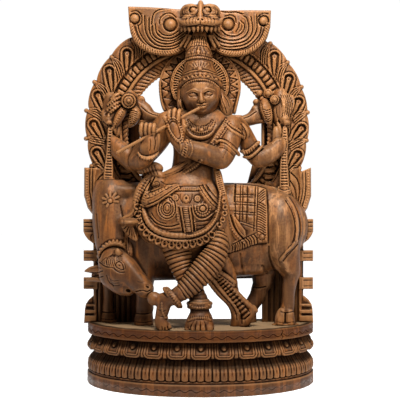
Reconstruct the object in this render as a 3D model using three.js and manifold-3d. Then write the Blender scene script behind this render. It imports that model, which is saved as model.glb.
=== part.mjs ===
// Carved wooden group: a four-armed flute player standing cross-legged in front of a
// grazing cow, inside a flame arch on pillars, on a double lotus plinth.
// One block of wood, so one closed solid. Millimetres, +Z up, the front faces -Y,
// origin at the middle of the underside.
//
// The front elevation is set out on a square drawing grid. One unit is GRID mm in the
// plane y = 0 and grows with depth, as seen from EYE mm in front of that plane:
// at(u, v, y) turns grid column u, grid row v and depth y into a point.

import * as THREE from 'three';
import { mergeVertices } from 'three/addons/utils/BufferGeometryUtils.js';
import Module from 'manifold-3d';

const wasm = await Module();
wasm.setup();

// ---------------------------------------------------------------- driving sizes
const GRID = 2.386;          // mm for one grid unit at y = 0
const EYE = 1815;            // mm from the viewpoint to the plane y = 0
const MID_U = 200.5;         // grid column of x = 0
const EYE_V = 215;           // grid row at eye level
const EYE_Z = 410.7;         // height of eye level

const TOTAL_HEIGHT = 914;    // 36 in, a stock size for these groups
const PLINTH_HALF = 282;     // half width
const PLINTH_BACK = 105;     // flat back face
const PLINTH_MID = 97;       // where the straight sides start to curve
const PLINTH_DEEP = 202;     // from there to the front
const PLINTH_CURVE = 2.12;   // exponent of the plan's rounded front
const PLINTH_TOP = 149;
const PETAL_PITCH = 54.7;
const FLUTES_PER_PETAL = 3;
const STEPS_PER_PETAL = 6;

const ARCH_BACK = 105;
const ARCH_FRONT = 52;
const ARCH = { u: 197.1, v: 125.5, r: 111.7 };
const ARCH_HOLE = { u: 197.8, v: 136, r: 70 };
const ARCH_BAND = { u: 197.5, v: 128 };
const LOBES = 6;
const FACETS = 7300;         // facets on the carving above the plinth

// ---------------------------------------------------------------- placing
const scaleAt = (y) => GRID * (EYE + y) / EYE;
const at = (u, v, y) => new THREE.Vector3((u - MID_U) * scaleAt(y), y, EYE_Z + (EYE_V - v) * scaleAt(y));
const rad = (d) => d * Math.PI / 180;

// ---------------------------------------------------------------- solids
function solid(geometry) {
  const g0 = geometry.clone();
  g0.deleteAttribute('normal');
  g0.deleteAttribute('uv');
  const g = mergeVertices(g0, 1e-3);
  const mesh = new wasm.Mesh({
    numProp: 3,
    vertProperties: new Float32Array(g.attributes.position.array),
    triVerts: new Uint32Array(g.index.array),
  });
  return new wasm.Manifold(mesh);
}

const pieces = [];
const keep = (m) => { pieces.push(m); return m; };

// ellipsoid at a grid place, radii in mm, tilted in the front plane
function ball(u, v, y, rx, ry = rx, rz = rx, tilt = 0, across = 8, down = 5) {
  const g = new THREE.SphereGeometry(1, across, down);
  g.rotateX(Math.PI / 2);
  g.scale(rx, ry, rz);
  g.rotateY(rad(-tilt));
  const p = at(u, v, y);
  g.translate(p.x, p.y, p.z);
  return keep(solid(g));
}

// round bar through stations [u, v, y, half width, half depth]; half sizes in mm
function limb(stations, sides = 8, turn = 0) {
  const rows = stations.length - 1;
  const g = new THREE.CylinderGeometry(1, 1, 1, sides, rows, false);
  const path = stations.map((s) => at(s[0], s[1], s[2]));
  const frames = path.map((p, i) => {
    const t = path[Math.min(i + 1, rows)].clone().sub(path[Math.max(i - 1, 0)]).normalize();
    const y = t.clone().negate();
    const deep = Math.abs(t.y) > 0.85 ? new THREE.Vector3(0, 0, 1) : new THREE.Vector3(0, 1, 0);
    const z = deep.sub(y.clone().multiplyScalar(deep.dot(y))).normalize();
    return { p, x: new THREE.Vector3().crossVectors(y, z), z };
  });
  const pos = g.attributes.position;
  for (let i = 0; i < pos.count; i++) {
    const row = Math.round((0.5 - pos.getY(i)) * rows);
    const f = frames[row];
    const a = stations[row][3];
    const b = stations[row][4] ?? a;
    let lx = pos.getX(i);
    let lz = pos.getZ(i);
    if (turn) {
      const c = Math.cos(turn); const s = Math.sin(turn);
      [lx, lz] = [lx * c - lz * s, lx * s + lz * c];
    }
    const q = f.p.clone().addScaledVector(f.x, lx * a).addScaledVector(f.z, lz * b);
    pos.setXYZ(i, q.x, q.y, q.z);
  }
  return keep(solid(g));
}

// the same bar with rings turned into it: every other row is thinner by `cut` mm
function ringed(stations, rings, cut, sides = 10) {
  const rows = rings * 2;
  const out = [];
  for (let i = 0; i <= rows; i++) {
    const f = i / rows * (stations.length - 1);
    const k = Math.min(Math.floor(f), stations.length - 2);
    const w = f - k;
    const s = [0, 1, 2, 3, 4].map((j) => {
      const p = stations[k][j] ?? stations[k][3];
      const q = stations[k + 1][j] ?? stations[k + 1][3];
      return p + (q - p) * w;
    });
    const c = i % 2 ? 0 : cut;
    out.push([s[0], s[1], s[2], s[3] - c, s[4] - c]);
  }
  return limb(out, sides);
}

// flat plate cut to a grid outline, from depth y0 (front) to y1 (back)
function plate(outline, y0, y1, holes = [], drawnAt = y0) {
  const flat = (list, y) => list.map(([u, v]) => { const p = at(u, v, y); return new THREE.Vector2(p.x, p.z); });
  const shape = new THREE.Shape(flat(outline, drawnAt));
  for (const h of holes) shape.holes.push(new THREE.Path(flat(h, y1)));
  const g = new THREE.ExtrudeGeometry(shape, { depth: y1 - y0, bevelEnabled: false, curveSegments: 1 });
  g.rotateX(Math.PI / 2);
  g.translate(0, y1, 0);
  return keep(solid(g));
}

// points round a circle on the grid; angle 0 is straight up, turning towards +u
const ring = (c, r, a0, a1, n) => Array.from({ length: n + 1 }, (_, i) => {
  const a = rad(a0 + (a1 - a0) * i / n);
  return [c.u + r * Math.sin(a), c.v - r * Math.cos(a)];
});

// small block lying radially on a band
function block(c, r0, r1, angle, halfWidth, y0, y1) {
  const a = rad(angle);
  const dir = [Math.sin(a), -Math.cos(a)];
  const side = [Math.cos(a), Math.sin(a)];
  const pt = (r, w) => [c.u + dir[0] * r + side[0] * w, c.v + dir[1] * r + side[1] * w];
  return plate([pt(r0, -halfWidth), pt(r0, halfWidth), pt(r1, halfWidth * 1.05), pt(r1, -halfWidth * 1.05)], y0, y1);
}

// ---------------------------------------------------------------- plinth
function plinth() {
  // front curve sampled by arc length from the middle
  const fine = [];
  for (let i = 0; i <= 4000; i++) {
    const t = Math.PI * i / 4000;
    const c = Math.cos(t); const s = Math.sin(t);
    fine.push([-PLINTH_HALF * Math.sign(c) * Math.abs(c) ** (2 / PLINTH_CURVE), PLINTH_MID - PLINTH_DEEP * s ** (2 / PLINTH_CURVE)]);
  }
  const lens = [0];
  for (let i = 1; i < fine.length; i++) lens.push(lens[i - 1] + Math.hypot(fine[i][0] - fine[i - 1][0], fine[i][1] - fine[i - 1][1]));
  const half = lens[lens.length - 1] / 2;
  const place = (s) => {              // s from the middle of the front, + towards +X
    const side = Math.abs(s) - half;
    if (side > 0) return { x: Math.sign(s) * PLINTH_HALF, y: PLINTH_MID + side, nx: Math.sign(s), ny: 0 };
    const want = s + half;
    let lo = 0; let hi = lens.length - 1;
    while (hi - lo > 1) { const m = (lo + hi) >> 1; if (lens[m] < want) lo = m; else hi = m; }
    const w = (want - lens[lo]) / (lens[hi] - lens[lo] || 1);
    const x = fine[lo][0] + (fine[hi][0] - fine[lo][0]) * w;
    const y = fine[lo][1] + (fine[hi][1] - fine[lo][1]) * w;
    const gx = Math.sign(x) * (Math.abs(x) / PLINTH_HALF) ** (PLINTH_CURVE - 1) / PLINTH_HALF;
    const gy = -(Math.max(0, (PLINTH_MID - y) / PLINTH_DEEP) ** (PLINTH_CURVE - 1)) / PLINTH_DEEP;
    const l = Math.hypot(gx, gy) || 1;
    return { x, y, nx: gx / l, ny: gy / l };
  };
  const reach = half + PLINTH_BACK - PLINTH_MID;
  const step = PETAL_PITCH / STEPS_PER_PETAL;
  const n = Math.floor(reach / step - 0.3);
  const marks = [-reach];
  for (let k = -n; k <= n; k++) marks.push(k * step);
  marks.push(reach);
  const base = marks.map((s) => ({ s, ...place(s) }));

  const flute = (s) => { const p = Math.abs(((s / (PETAL_PITCH / FLUTES_PER_PETAL)) % 1 + 1) % 1 - 0.5) * 2; return p < 0.3 ? 4 : 0; };
  const petal = (s) => { const p = Math.abs(((s / PETAL_PITCH + 0.5) % 1 + 1) % 1 - 0.5) * 2; return p > 0.86 ? 7 : 0; };
  const none = () => 0;
  const levels = [                     // height, inset, carving
    [0, 0, none], [27, 0, none], [29, 4, none], [33, 4, none],
    [34, 1, flute], [55, 1.5, flute], [79, 20, flute],
    [84, 4, petal], [97, 1, petal], [118, 13.5, petal],
    [120.5, 16, none], [121.9, 2.4, none], [PLINTH_TOP, 2.4, none],
  ];
  const shape = new THREE.Shape(base.map((b) => new THREE.Vector2(b.x, b.y)));
  const g = new THREE.ExtrudeGeometry(shape, { depth: 1, steps: levels.length - 1, bevelEnabled: false, curveSegments: 1 });
  const find = new Map(base.map((b) => [`${b.x.toFixed(2)},${b.y.toFixed(2)}`, b]));
  const pos = g.attributes.position;
  for (let i = 0; i < pos.count; i++) {
    const b = find.get(`${pos.getX(i).toFixed(2)},${pos.getY(i).toFixed(2)}`)
      ?? base.reduce((m, q) => (Math.hypot(q.x - pos.getX(i), q.y - pos.getY(i)) < Math.hypot(m.x - pos.getX(i), m.y - pos.getY(i)) ? q : m));
    const [z, inset, carve] = levels[Math.round(pos.getZ(i) * (levels.length - 1))];
    const d = -(inset + carve(b.s));
    pos.setXYZ(i, b.x + b.nx * d, b.ny === 0 && b.y >= PLINTH_BACK - 0.01 ? b.y : b.y + b.ny * d, z);
  }
  keep(solid(g));
}

// ---------------------------------------------------------------- arch and pillars
function arch() {
  const lobed = [];
  for (let i = 0; i <= 64; i++) {
    const a = -122 + 244 * i / 64;
    const k = (Math.abs(a) - 36) / 15.4;
    const bump = Math.abs(a) < 30 ? 0 : 1.6 * Math.abs(Math.sin(Math.PI * k)) - 1.2;
    lobed.push([ARCH.u + (ARCH.r + bump) * Math.sin(rad(a)), ARCH.v - (ARCH.r + bump) * Math.cos(rad(a))]);
  }
  const right = [[311, 168], [311, 196], [307.5, 208], [301.5, 216], [303, 219], [303, 296], [309, 299], [313, 306], [313, 323], [263.5, 323], [263.5, 276]];
  const left = [[137.5, 276], [137.5, 323], [86, 323], [86, 306], [90, 299], [93.6, 296], [93.6, 216], [87.5, 208], [84.3, 196], [84.3, 168]];
  const hole = ring(ARCH_HOLE, ARCH_HOLE.r, -132, 132, 24);
  plate([...lobed, [303, 172], ...right, ...left, [91.5, 172]], ARCH_FRONT, ARCH_BACK, [
    hole.reverse(),
  ], ARCH_FRONT);
  // raised ribs and the row of blocks
  const band = (r0, r1, y0, a0, a1, n) => plate([...ring(ARCH_BAND, r0, a0, a1, n), ...ring(ARCH_BAND, r1, a1, a0, n)], y0, ARCH_FRONT + 3);
  band(72, 79, ARCH_FRONT - 6, -128, 128, 22);
  band(90, 93.4, ARCH_FRONT - 6, -118, 118, 22);
  // flame lobes: a hooded ridge over a hollow
  for (let i = 0; i < LOBES - 1; i++) {
    for (const s of [-1, 1]) {
      const a = s * (44 + i * 15.3);
      const c = { u: ARCH_BAND.u + 103.5 * Math.sin(rad(a)), v: ARCH_BAND.v - 103.5 * Math.cos(rad(a)) };
      const tilt = a;
      const oval = (rx, ry, n) => Array.from({ length: n }, (_, j) => {
        const t = 2 * Math.PI * j / n;
        const x = rx * Math.cos(t); const y = ry * Math.sin(t);
        return [c.u + x * Math.cos(rad(tilt)) - y * Math.sin(rad(tilt)), c.v + x * Math.sin(rad(tilt)) + y * Math.cos(rad(tilt))];
      });
      plate(oval(7, 8.6, 8), ARCH_FRONT - 8, ARCH_FRONT + 2, [oval(3.2, 4.8, 6).reverse()]);
      const k = s * (36 + i * 15.4);
      ball(ARCH_BAND.u + 110 * Math.sin(rad(k)), ARCH_BAND.v - 110 * Math.cos(rad(k)), ARCH_FRONT - 1, 8, 9, 8, 0, 6, 4);
    }
  }
  // side leaves
  plate([[289, 172], [311, 168], [311, 196], [307.5, 208], [301.5, 215], [294, 214]], ARCH_FRONT - 14, ARCH_FRONT + 2);
  plate([[107, 172], [84.3, 168], [84.3, 196], [87.5, 208], [94, 215], [101, 214]], ARCH_FRONT - 14, ARCH_FRONT + 2);
  // side blocks and base mouldings
  for (const s of [-1, 1]) {
    const u = (n) => (s > 0 ? 303 + n : 94 - n);
    const q = (list) => (s > 0 ? list : [...list].reverse());
    plate(q([[u(-6), 219], [u(10), 219], [u(10), 232], [u(6), 239], [u(0), 243.5], [u(-6), 243.5]]), ARCH_FRONT - 8, ARCH_BACK - 3);
    plate(q([[u(-6), 250], [u(10), 250], [u(10), 261], [u(-6), 261]]), ARCH_FRONT - 8, ARCH_BACK - 3);
    plate(q([[u(-6), 277], [u(10), 277], [u(10), 289], [u(-6), 289]]), ARCH_FRONT - 8, ARCH_BACK - 3);
    plate(q([[u(-22), 296], [u(2), 296], [u(7), 301], [u(10), 308], [u(10), 323], [u(-22), 323]]), ARCH_FRONT - 14, ARCH_BACK - 3);
    plate(q([[u(-36), 245], [u(-3), 245], [u(-3), 322], [u(-36), 322]]), ARCH_FRONT - 8, ARCH_FRONT + 4);
  }
  // plain web behind the cow
  plate([[134, 182], [134, 279], [266, 277], [266, 184]], 62, ARCH_BACK - 6);
}

// ---------------------------------------------------------------- crest
function crest() {
  const front = 14;
  const leftBowl = [[129, 7.5], [131, 27], [135, 39], [141, 45.5], [149, 50], [161, 54], [173, 53], [183, 48], [190, 40], [200, 33], [200, 9]];
  const rightBowl = [[200, 9], [200, 33], [211, 40], [215, 46], [223, 52], [235, 55], [251, 50], [262, 41], [267, 27.6], [270, 11]];
  plate(leftBowl, front, 96);
  plate(rightBowl, front, 96);
  // solid head of the arch behind the bowls
  plate([[130, 40], [150, 24], [250, 24], [268, 40], [250, 66], [226, 64], [200, 60], [174, 64], [148, 68]], ARCH_FRONT - 12, ARCH_BACK, [], ARCH_FRONT);
  // rope rims and scroll balls
  const rim = (pts, r) => limb(pts.map(([u, v]) => [u, v, front, r, 6]), 5);
  rim([[131, 12], [132.5, 26], [137.5, 38.5], [148.5, 48], [161, 52], [172, 51], [182, 46], [189, 38]], 5.5);
  rim([[268, 14], [265, 27], [259.5, 39], [250, 47.5], [235, 52.5], [223, 49.5], [216, 43.5], [212, 38]], 5.5);
  for (const [u, v, r] of [[170.5, 24.5, 15], [228, 24, 15], [134.8, 18.4, 10], [265, 21, 10]]) ball(u, v, front - 2, r, 10, r);
  rim([[142, 20], [146, 34], [158, 42], [172, 41], [180, 32], [176, 20]], 4);
  rim([[256, 22], [252, 34], [240, 42], [228, 41], [220, 32], [223, 20]], 4);
  // monster face
  limb([[200, 9.5, 2, 36, 16], [200, 12, -4, 46, 28], [200, 20, -8, 49, 32], [200, 27, -6, 47, 26], [200, 31, 2, 40, 18]], 10);
  for (const s of [-1, 1]) {
    ball(200 + s * 10.4, 6.2, -12, 19, 20, 10);
    ball(200 + s * 7.2, 10.6, -27, 8, 8, 7, 0, 6, 4);
    ball(200 + s * 11.4, 22, -22, 18, 20, 11);
    ball(200 + s * 18, 15, -8, 9, 16, 16);
  }
  limb([[200.5, 2.2, -20, 3, 4], [200.5, 6, -26, 8, 10], [200.3, 13, -32, 6, 9], [200.2, 20.5, -42, 9, 7]], 8);
  for (let i = 0; i < 10; i++) {
    const u = 181.5 + i * 4.2;
    const y = -26 + Math.abs(i - 4.5) * 3.2;
    limb([[u, 26, y + 4, 4.2, 5], [u, 31.6, y + 2, 1.4, 2]], 4);
  }
  // fan under the jaw down to the crown
  plate([[190, 30], [211, 30], [209, 46], [192, 46]], 0, 40);
}

// ---------------------------------------------------------------- halo and brackets
function halo() {
  const oval = (u, v, rx, ry, n) => Array.from({ length: n }, (_, i) => [u + rx * Math.cos(2 * Math.PI * i / n), v + ry * Math.sin(2 * Math.PI * i / n)]);
  plate(oval(200, 86, 41, 38, 24), 28, 60);
  plate(oval(199.7, 84, 27.5, 27, 20), 8, 32);
  limb([[172, 96, 10, 4], [173.5, 78, 8, 4.5], [181, 64, 6, 4.5], [199.7, 57.5, 4, 4.5], [218, 64, 6, 4.5], [226, 78, 8, 4.5], [227.5, 96, 10, 4]], 6);
  // bridge from the halo up into the arch
  plate([[170, 60], [230, 60], [226, 44], [174, 44]], 24, 80);
  // struts from the makaras to the shoulders
  limb([[138, 100, 44, 12, 14], [148, 107, 38, 12, 14], [160, 111, 26, 10, 13], [172, 114, 14, 10, 14]], 6);
  limb([[262, 106, 44, 22, 16], [254, 113, 38, 17, 15], [246, 119, 24, 15, 14], [236, 121, 8, 14, 16]], 6);
}

// ---------------------------------------------------------------- makara heads and trunks
function makaras() {
  // left
  limb([[128.6, 100.7, 46, 19, 19], [128.6, 100.7, 20, 19, 19]], 12);
  ball(128.6, 100.7, 18, 8, 6, 8);
  for (let i = 0; i < 4; i++) limb([[108 + i * 3.4, 99 + i * 0.6, 36, 3.6, 8], [110 + i * 3.2, 108, 30, 4, 9], [112 + i * 3.2, 114, 36, 3.4, 8]], 5);
  limb([[126, 108, 36, 8, 12], [121, 116, 28, 10, 14], [114, 126, 30, 6, 10], [111.5, 131, 34, 5, 8]], 8);
  limb([[133, 107, 34, 12, 12], [134, 117, 26, 15, 14], [131, 126, 34, 9, 10]], 8);
  ball(141.6, 100.7, 38, 7, 9, 12);
  limb([[108, 97, 48, 12, 14], [113, 112, 44, 22, 16], [112, 126, 44, 12, 14]], 8);
  ringed([[112, 127, 36, 5.5, 7], [109.5, 140, 34, 6, 7], [110, 157, 30, 7, 7.5], [108.8, 170, 26, 10, 9], [108.8, 178, 26, 13, 10]], 8, 2, 6);
  limb([[108.8, 176, 28, 14, 10], [108.8, 186.5, 26, 19, 12]], 8);
  // right
  ball(268, 93.8, 36, 12, 12, 12);
  ball(274.6, 99.7, 30, 12, 12, 12);
  for (let i = 0; i < 4; i++) limb([[280 + i * 3, 98 - i, 40, 3.4, 7], [283 + i * 2.4, 108, 32, 3.8, 8], [284 + i * 1.6, 120, 36, 3.2, 7]], 5);
  limb([[266, 100, 34, 8, 12], [266.5, 110, 28, 15, 16], [264, 122, 34, 9, 12]], 8);
  limb([[283, 94, 50, 16, 14], [280, 110, 44, 26, 18], [285, 127, 40, 9, 12]], 8);
  ringed([[285, 125, 36, 6, 7], [284.5, 142, 34, 6.5, 7], [284.2, 158, 30, 7.5, 8], [285, 173, 26, 10, 9], [285, 187, 22, 12.5, 10]], 9, 2, 6);
  limb([[284.8, 185, 24, 12, 10], [284.8, 194, 20, 14, 11]], 4, Math.PI / 4);
  // rear wall joining both heads to the arch
  limb([[111, 100, 58, 30, 16], [112, 118, 58, 32, 16], [110, 132, 60, 14, 12]], 6);
  limb([[281, 98, 58, 28, 16], [281, 116, 58, 30, 16], [286, 132, 60, 14, 12]], 6);
}

// ---------------------------------------------------------------- cow
function cow() {
  // barrel, lying along X
  limb([
    [111, 206, 36, 52, 30], [120, 218, 34, 80, 44], [140, 228, 32, 106, 50], [170, 231, 30, 112, 52],
    [205, 230, 30, 110, 52], [235, 229, 32, 108, 52], [262, 228, 32, 104, 52], [284, 226, 34, 86, 46], [297, 224, 38, 46, 30],
  ], 12);
  // flat back line of the shoulders and neck column
  limb([[112, 186, 34, 34, 34], [111, 200, 26, 40, 40], [111, 222, 20, 40, 42], [113, 244, 14, 38, 40], [114, 258, 6, 36, 34]], 12);
  // head, turned down to the licked foot
  limb([[112, 250, -6, 22, 22], [114, 260, -12, 37, 32], [121, 272, -18, 40, 34], [131, 281, -26, 31, 28], [142, 287, -36, 23, 22], [148, 289.5, -42, 19, 19], [151.5, 290, -45, 10, 11]], 10);
  // ears, horns
  limb([[113, 262, -36, 8, 5], [106, 264, -40, 10, 6], [99.5, 261, -36, 3, 3]], 6);
  limb([[127, 255, -16, 10, 8], [127.5, 244, -10, 8, 7], [129, 236, -6, 3, 3]], 6);
  limb([[104, 272, 0, 10, 10], [94, 273, 10, 8, 8], [86, 271.5, 18, 2.5, 3]], 6);
  limb([[118, 256, -40, 7, 5], [117.6, 250, -36, 3, 3]], 5);
  limb([[97, 252, -18, 6], [105.5, 246, -32, 6.5], [113, 243, -36, 6.5], [121, 245, -28, 6], [127, 250, -14, 5]], 6);
  // front legs
  limb([[110, 270, 52, 24, 24], [108, 290, 56, 18, 18], [108.5, 307, 58, 15, 16], [109, 312, 58, 17, 18], [109.5, 321.5, 58, 19, 20]], 8);
  limb([[142, 236, 22, 34, 34], [142, 262, 16, 30, 28], [142, 284, 12, 25, 23], [142, 300, 12, 17, 18], [142.5, 308, 12, 19, 19], [143, 324.5, 10, 22, 20]], 8);
  // near hind leg
  limb([[280, 208, 14, 40, 34], [281, 240, 8, 42, 38], [287, 262, 10, 28, 28], [293, 278, 12, 18, 20], [289, 292, 12, 15, 17], [286.5, 305, 12, 14, 16], [285, 310, 12, 18, 18], [284.5, 324.5, 10, 22, 21]], 10);
  // far hind leg
  limb([[264, 262, 50, 34, 24], [264, 280, 56, 26, 20], [262, 292, 58, 17, 16], [256, 304, 58, 15, 14], [252, 314, 52, 16, 15], [250, 322, 48, 20, 18]], 8);
  // tail
  limb([[289, 198, 6, 5, 5], [297, 211, 6, 6, 6], [300, 227, 4, 6, 6], [298, 240, -6, 6, 6], [291, 250, -16, 6, 6], [284, 256, -22, 3, 3]], 6);
  // blanket with its corded edge
  const cloth = [[226, 184], [257, 184.5], [263, 188], [264, 244], [250, 249], [234, 250], [226, 244]];
  for (let i = 0; i < 4; i++) limb([[228 + i * 9, 186, 2 - i * 1.2, 9.6, 26], [228.5 + i * 9, 205, -14, 9.8, 12], [229 + i * 9, 228, -17.5, 9.6, 9], [229.5 + i * 8.6, 246, -12, 9, 12]], 6);
  limb([[261, 186, 4, 9, 22], [261.5, 206, -16, 9.5, 12], [261.5, 228, -20, 9.5, 9], [261, 244, -15, 9, 12]], 6);
  limb([[cloth[5][0], 250.5, -16, 6, 8], [248, 248.5, -17, 6, 8], [262, 243, -16, 6, 8]], 6);
}

// ---------------------------------------------------------------- flute player
function body() {
  // trunk with a bare waist
  limb([
    [200, 112, -6, 26, 24], [200, 117, -8, 30, 26], [201, 122, -8, 74, 30], [200, 132, -9, 76, 34], [198, 145, -9, 62, 33], [195, 158, -8, 50, 31],
    [193, 168, -8, 48, 30], [192, 178, -9, 53, 33], [190, 190, -11, 66, 38], [188, 200, -12, 74, 42],
  ], 12);
  // back of the figure runs into the arch head and the cow
  limb([[200, 96, 24, 30, 26], [200, 118, 18, 52, 22], [198, 146, 14, 46, 22], [194, 176, 14, 44, 24], [192, 196, 20, 52, 30]], 8);
  // head, neck and crown
  ball(200.4, 97.5, -14, 41, 40, 44, 3, 10, 7);
  limb([[201, 108, -10, 26, 24], [201, 120, -9, 27, 24]], 10);
  limb([[200.2, 82, -14, 45, 42], [200.2, 78, -14, 46, 43], [200, 76, -14, 38, 36], [199.5, 66, -13, 36, 34], [199, 59.5, -12, 31, 30], [198.6, 58, -12, 35, 33], [198.4, 52, -12, 33, 31], [198.4, 50, -12, 20, 20], [199, 44, -8, 16, 17], [200, 38, 2, 20, 20]], 10);
  limb([[222, 84, 0, 8, 10], [224, 98, -8, 12, 13], [223.5, 110, -10, 11, 12], [222, 115, -8, 4, 5]], 8);
  limb([[181, 86, -6, 7, 10], [180, 100, -8, 8, 12], [182, 110, -6, 5, 8]], 8);
  // necklace collar
  limb([[182, 121, -18, 7, 7], [188, 131, -34, 9, 7], [200, 136, -42, 9, 7], [212, 130, -36, 9, 7], [218, 121, -20, 7, 7]], 8);
  // sash from the left shoulder to the right hip
  limb([[224, 121, -22, 9, 10], [210, 142, -42, 10, 6], [196, 160, -38, 11, 8], [176, 176, -38, 12, 10], [158, 182, -20, 13, 14], [152, 182, -6, 8, 12]], 8);
  limb([[186, 186, -44, 16, 9], [170, 198, -48, 16, 9], [152, 203, -30, 13, 14]], 8);

  // front left arm, across the chest
  limb([[232, 123, -4, 21, 25], [232, 131, -14, 24, 26], [229, 144, -28, 25, 26], [225, 155, -39, 25, 24], [221, 159.5, -45, 22, 21], [206, 156, -56, 20, 20], [192, 151, -62, 18, 18], [182, 147, -64, 15, 15], [176, 142, -62, 16, 14], [173, 130, -54, 15, 13], [171, 121, -46, 15, 11]], 8);
  ball(231, 124.5, -7, 23, 26, 19);
  limb([[242, 140, -20, 8, 10], [235, 146, -48, 8, 8], [226, 142, -54, 8, 8], [214, 140, -44, 6, 8]], 6);
  for (let i = 0; i < 4; i++) limb([[166.5 + i * 4.2, 120, -46, 5, 6], [165.8 + i * 4.1, 114, -50, 5, 6], [167 + i * 3.8, 109, -46, 4, 5]], 6);
  limb([[183.5, 140, -74, 5, 8], [187, 146, -70, 6, 12], [186, 152, -66, 6, 10]], 6);
  // front right arm, raised to the flute
  limb([[166, 122, -6, 24, 24], [156, 138, -6, 22, 24], [143, 156, -10, 22, 24], [137, 163, -14, 22, 22], [141, 160, -32, 20, 20], [147, 153, -48, 17, 17], [148, 143, -54, 17, 12], [147, 135, -54, 14, 9]], 8);
  for (let i = 0; i < 4; i++) limb([[141 + i * 4.2, 138, -56, 4.5, 5.5], [140.8 + i * 4.3, 130, -60, 4.5, 5.5], [142 + i * 4, 123.5, -54, 3.8, 5]], 6);
  limb([[155, 146, -52, 6, 7], [158, 136, -54, 5, 6], [158, 130, -52, 4, 5]], 6);
  limb([[139, 155, -50, 5, 6], [142, 159.5, -60, 6, 6], [148, 161, -62, 6, 6], [155, 159.5, -58, 6, 6], [158.5, 155, -48, 5, 6]], 6);
  // flute
  limb([[117.5, 152.3, -64, 3.8], [150, 134.8, -62, 3.9], [175, 121.4, -58, 3.9], [198.4, 108.9, -54, 3.5]], 8);
  // rear left arm
  limb([[238, 124, 6, 19, 20], [245, 134, 10, 21, 21], [251, 147, 12, 22, 21], [258, 161, 14, 21, 20], [267, 156.5, 17, 20, 19], [275.5, 150, 22, 17.5, 17], [281, 144, 28, 15, 14]], 8);
  limb([[277.6, 144, 31, 11, 11], [276.6, 130, 35, 9, 9]], 6);
  limb([[243, 154, 2, 5, 8], [251, 152, -7, 6, 7], [260, 144, 0, 5, 8]], 6);
  limb([[241, 124, -4, 8, 9], [246, 131, -6, 9, 10], [246, 137, 0, 7, 9]], 6);
  // rear right arm
  limb([[161, 125, 6, 18, 18], [146, 147, 9, 21, 20], [133, 163, 11, 22, 20], [125, 155, 16, 21, 19], [117, 147.5, 23, 20, 16], [111, 142.5, 29, 15, 13], [105, 136, 33, 11, 10], [102.5, 126, 36, 8, 8]], 8);
}

function dress() {
  // hips and upper skirt
  limb([
    [188, 184, -12, 70, 38], [188, 188, -14, 78, 44], [187, 198, -16, 84, 48], [184, 210, -18, 88, 52],
    [183, 222, -20, 86, 52], [184, 233, -20, 74, 48], [186, 240, -18, 50, 40],
  ], 12);
  // belt with its hanging swags
  limb([[156, 190, -32, 8, 8], [172, 191, -58, 9, 7], [192, 190, -64, 9, 7], [208, 188, -54, 9, 8], [216, 186, -34, 8, 8]], 8);
  limb([[168, 196, -60, 6, 6], [176, 203, -68, 7, 5], [190, 206, -72, 7, 5], [203, 201, -66, 6, 6]], 6);
  limb([[204, 192, -62, 7, 6], [210, 203, -60, 8, 6], [216, 208, -44, 6, 8]], 6);
  ball(167, 209, -62, 22, 14, 22, 0, 12, 6);
  ball(202.6, 209, -66, 23, 12, 22, 0, 12, 6);
  limb([[186, 205, -72, 12, 6], [187, 220, -76, 12, 6], [188, 234, -70, 12, 8]], 6);
  // heavy garland and fringe sweeping round the skirt
  const sweep = (du, dv, dy, r, d) => limb([
    [143.7 - du, 198 - dv, -26 + dy, r * 0.8, d], [146 - du, 212, -42 + dy, r, d], [151.7 - du * 0.8, 225 + dv * 0.7, -54 + dy, r, d], [168.5 - du * 0.4, 236.5 + dv, -68 + dy, r, d],
    [188.6, 238.5 + dv, -76 + dy, r, d], [205 + du * 0.3, 232 + dv, -74 + dy, r, d], [216.5 + du * 0.3, 220 + dv * 0.5, -66 + dy, r, d], [221 + du * 0.3, 204, -56 + dy, r, d], [221, 186, -44 + dy, r * 0.8, d],
  ], 8);
  sweep(0, 0, 0, 8.5, 9);
  sweep(6, 6.5, 8, 10, 10);
  // right garland strand from the elbow
  limb([[214, 168, -34, 6, 6], [217, 180, -40, 7, 7], [221, 194, -50, 8, 8], [224, 210, -56, 8, 8]], 6);
  // left sash, its knot, curl and tassel
  limb([[142, 170, -10, 12, 14], [150, 163, -18, 14, 14], [159, 168, -20, 14, 14], [158, 175, -20, 12, 12], [148, 180, -22, 12, 12]], 8);
  limb([[151, 176, -22, 10, 10], [142, 188, -28, 9, 10], [136, 200, -30, 8, 10], [132, 211, -28, 8, 10], [134, 218, -26, 9, 9], [128, 221, -26, 12, 10]], 8);
  limb([[128, 220, -28, 13, 9], [130, 230, -30, 18, 10], [130, 239, -26, 17, 9]], 8);
  limb([[141, 196, -22, 16, 14], [142, 215, -26, 16, 16], [146, 232, -30, 16, 18], [152, 242, -28, 10, 14]], 6);
  // right waist swag over the blanket
  limb([[224, 208, -44, 10, 10], [227, 222, -42, 12, 10], [232, 236, -34, 12, 12], [240, 245, -26, 9, 10]], 6);
}

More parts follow.
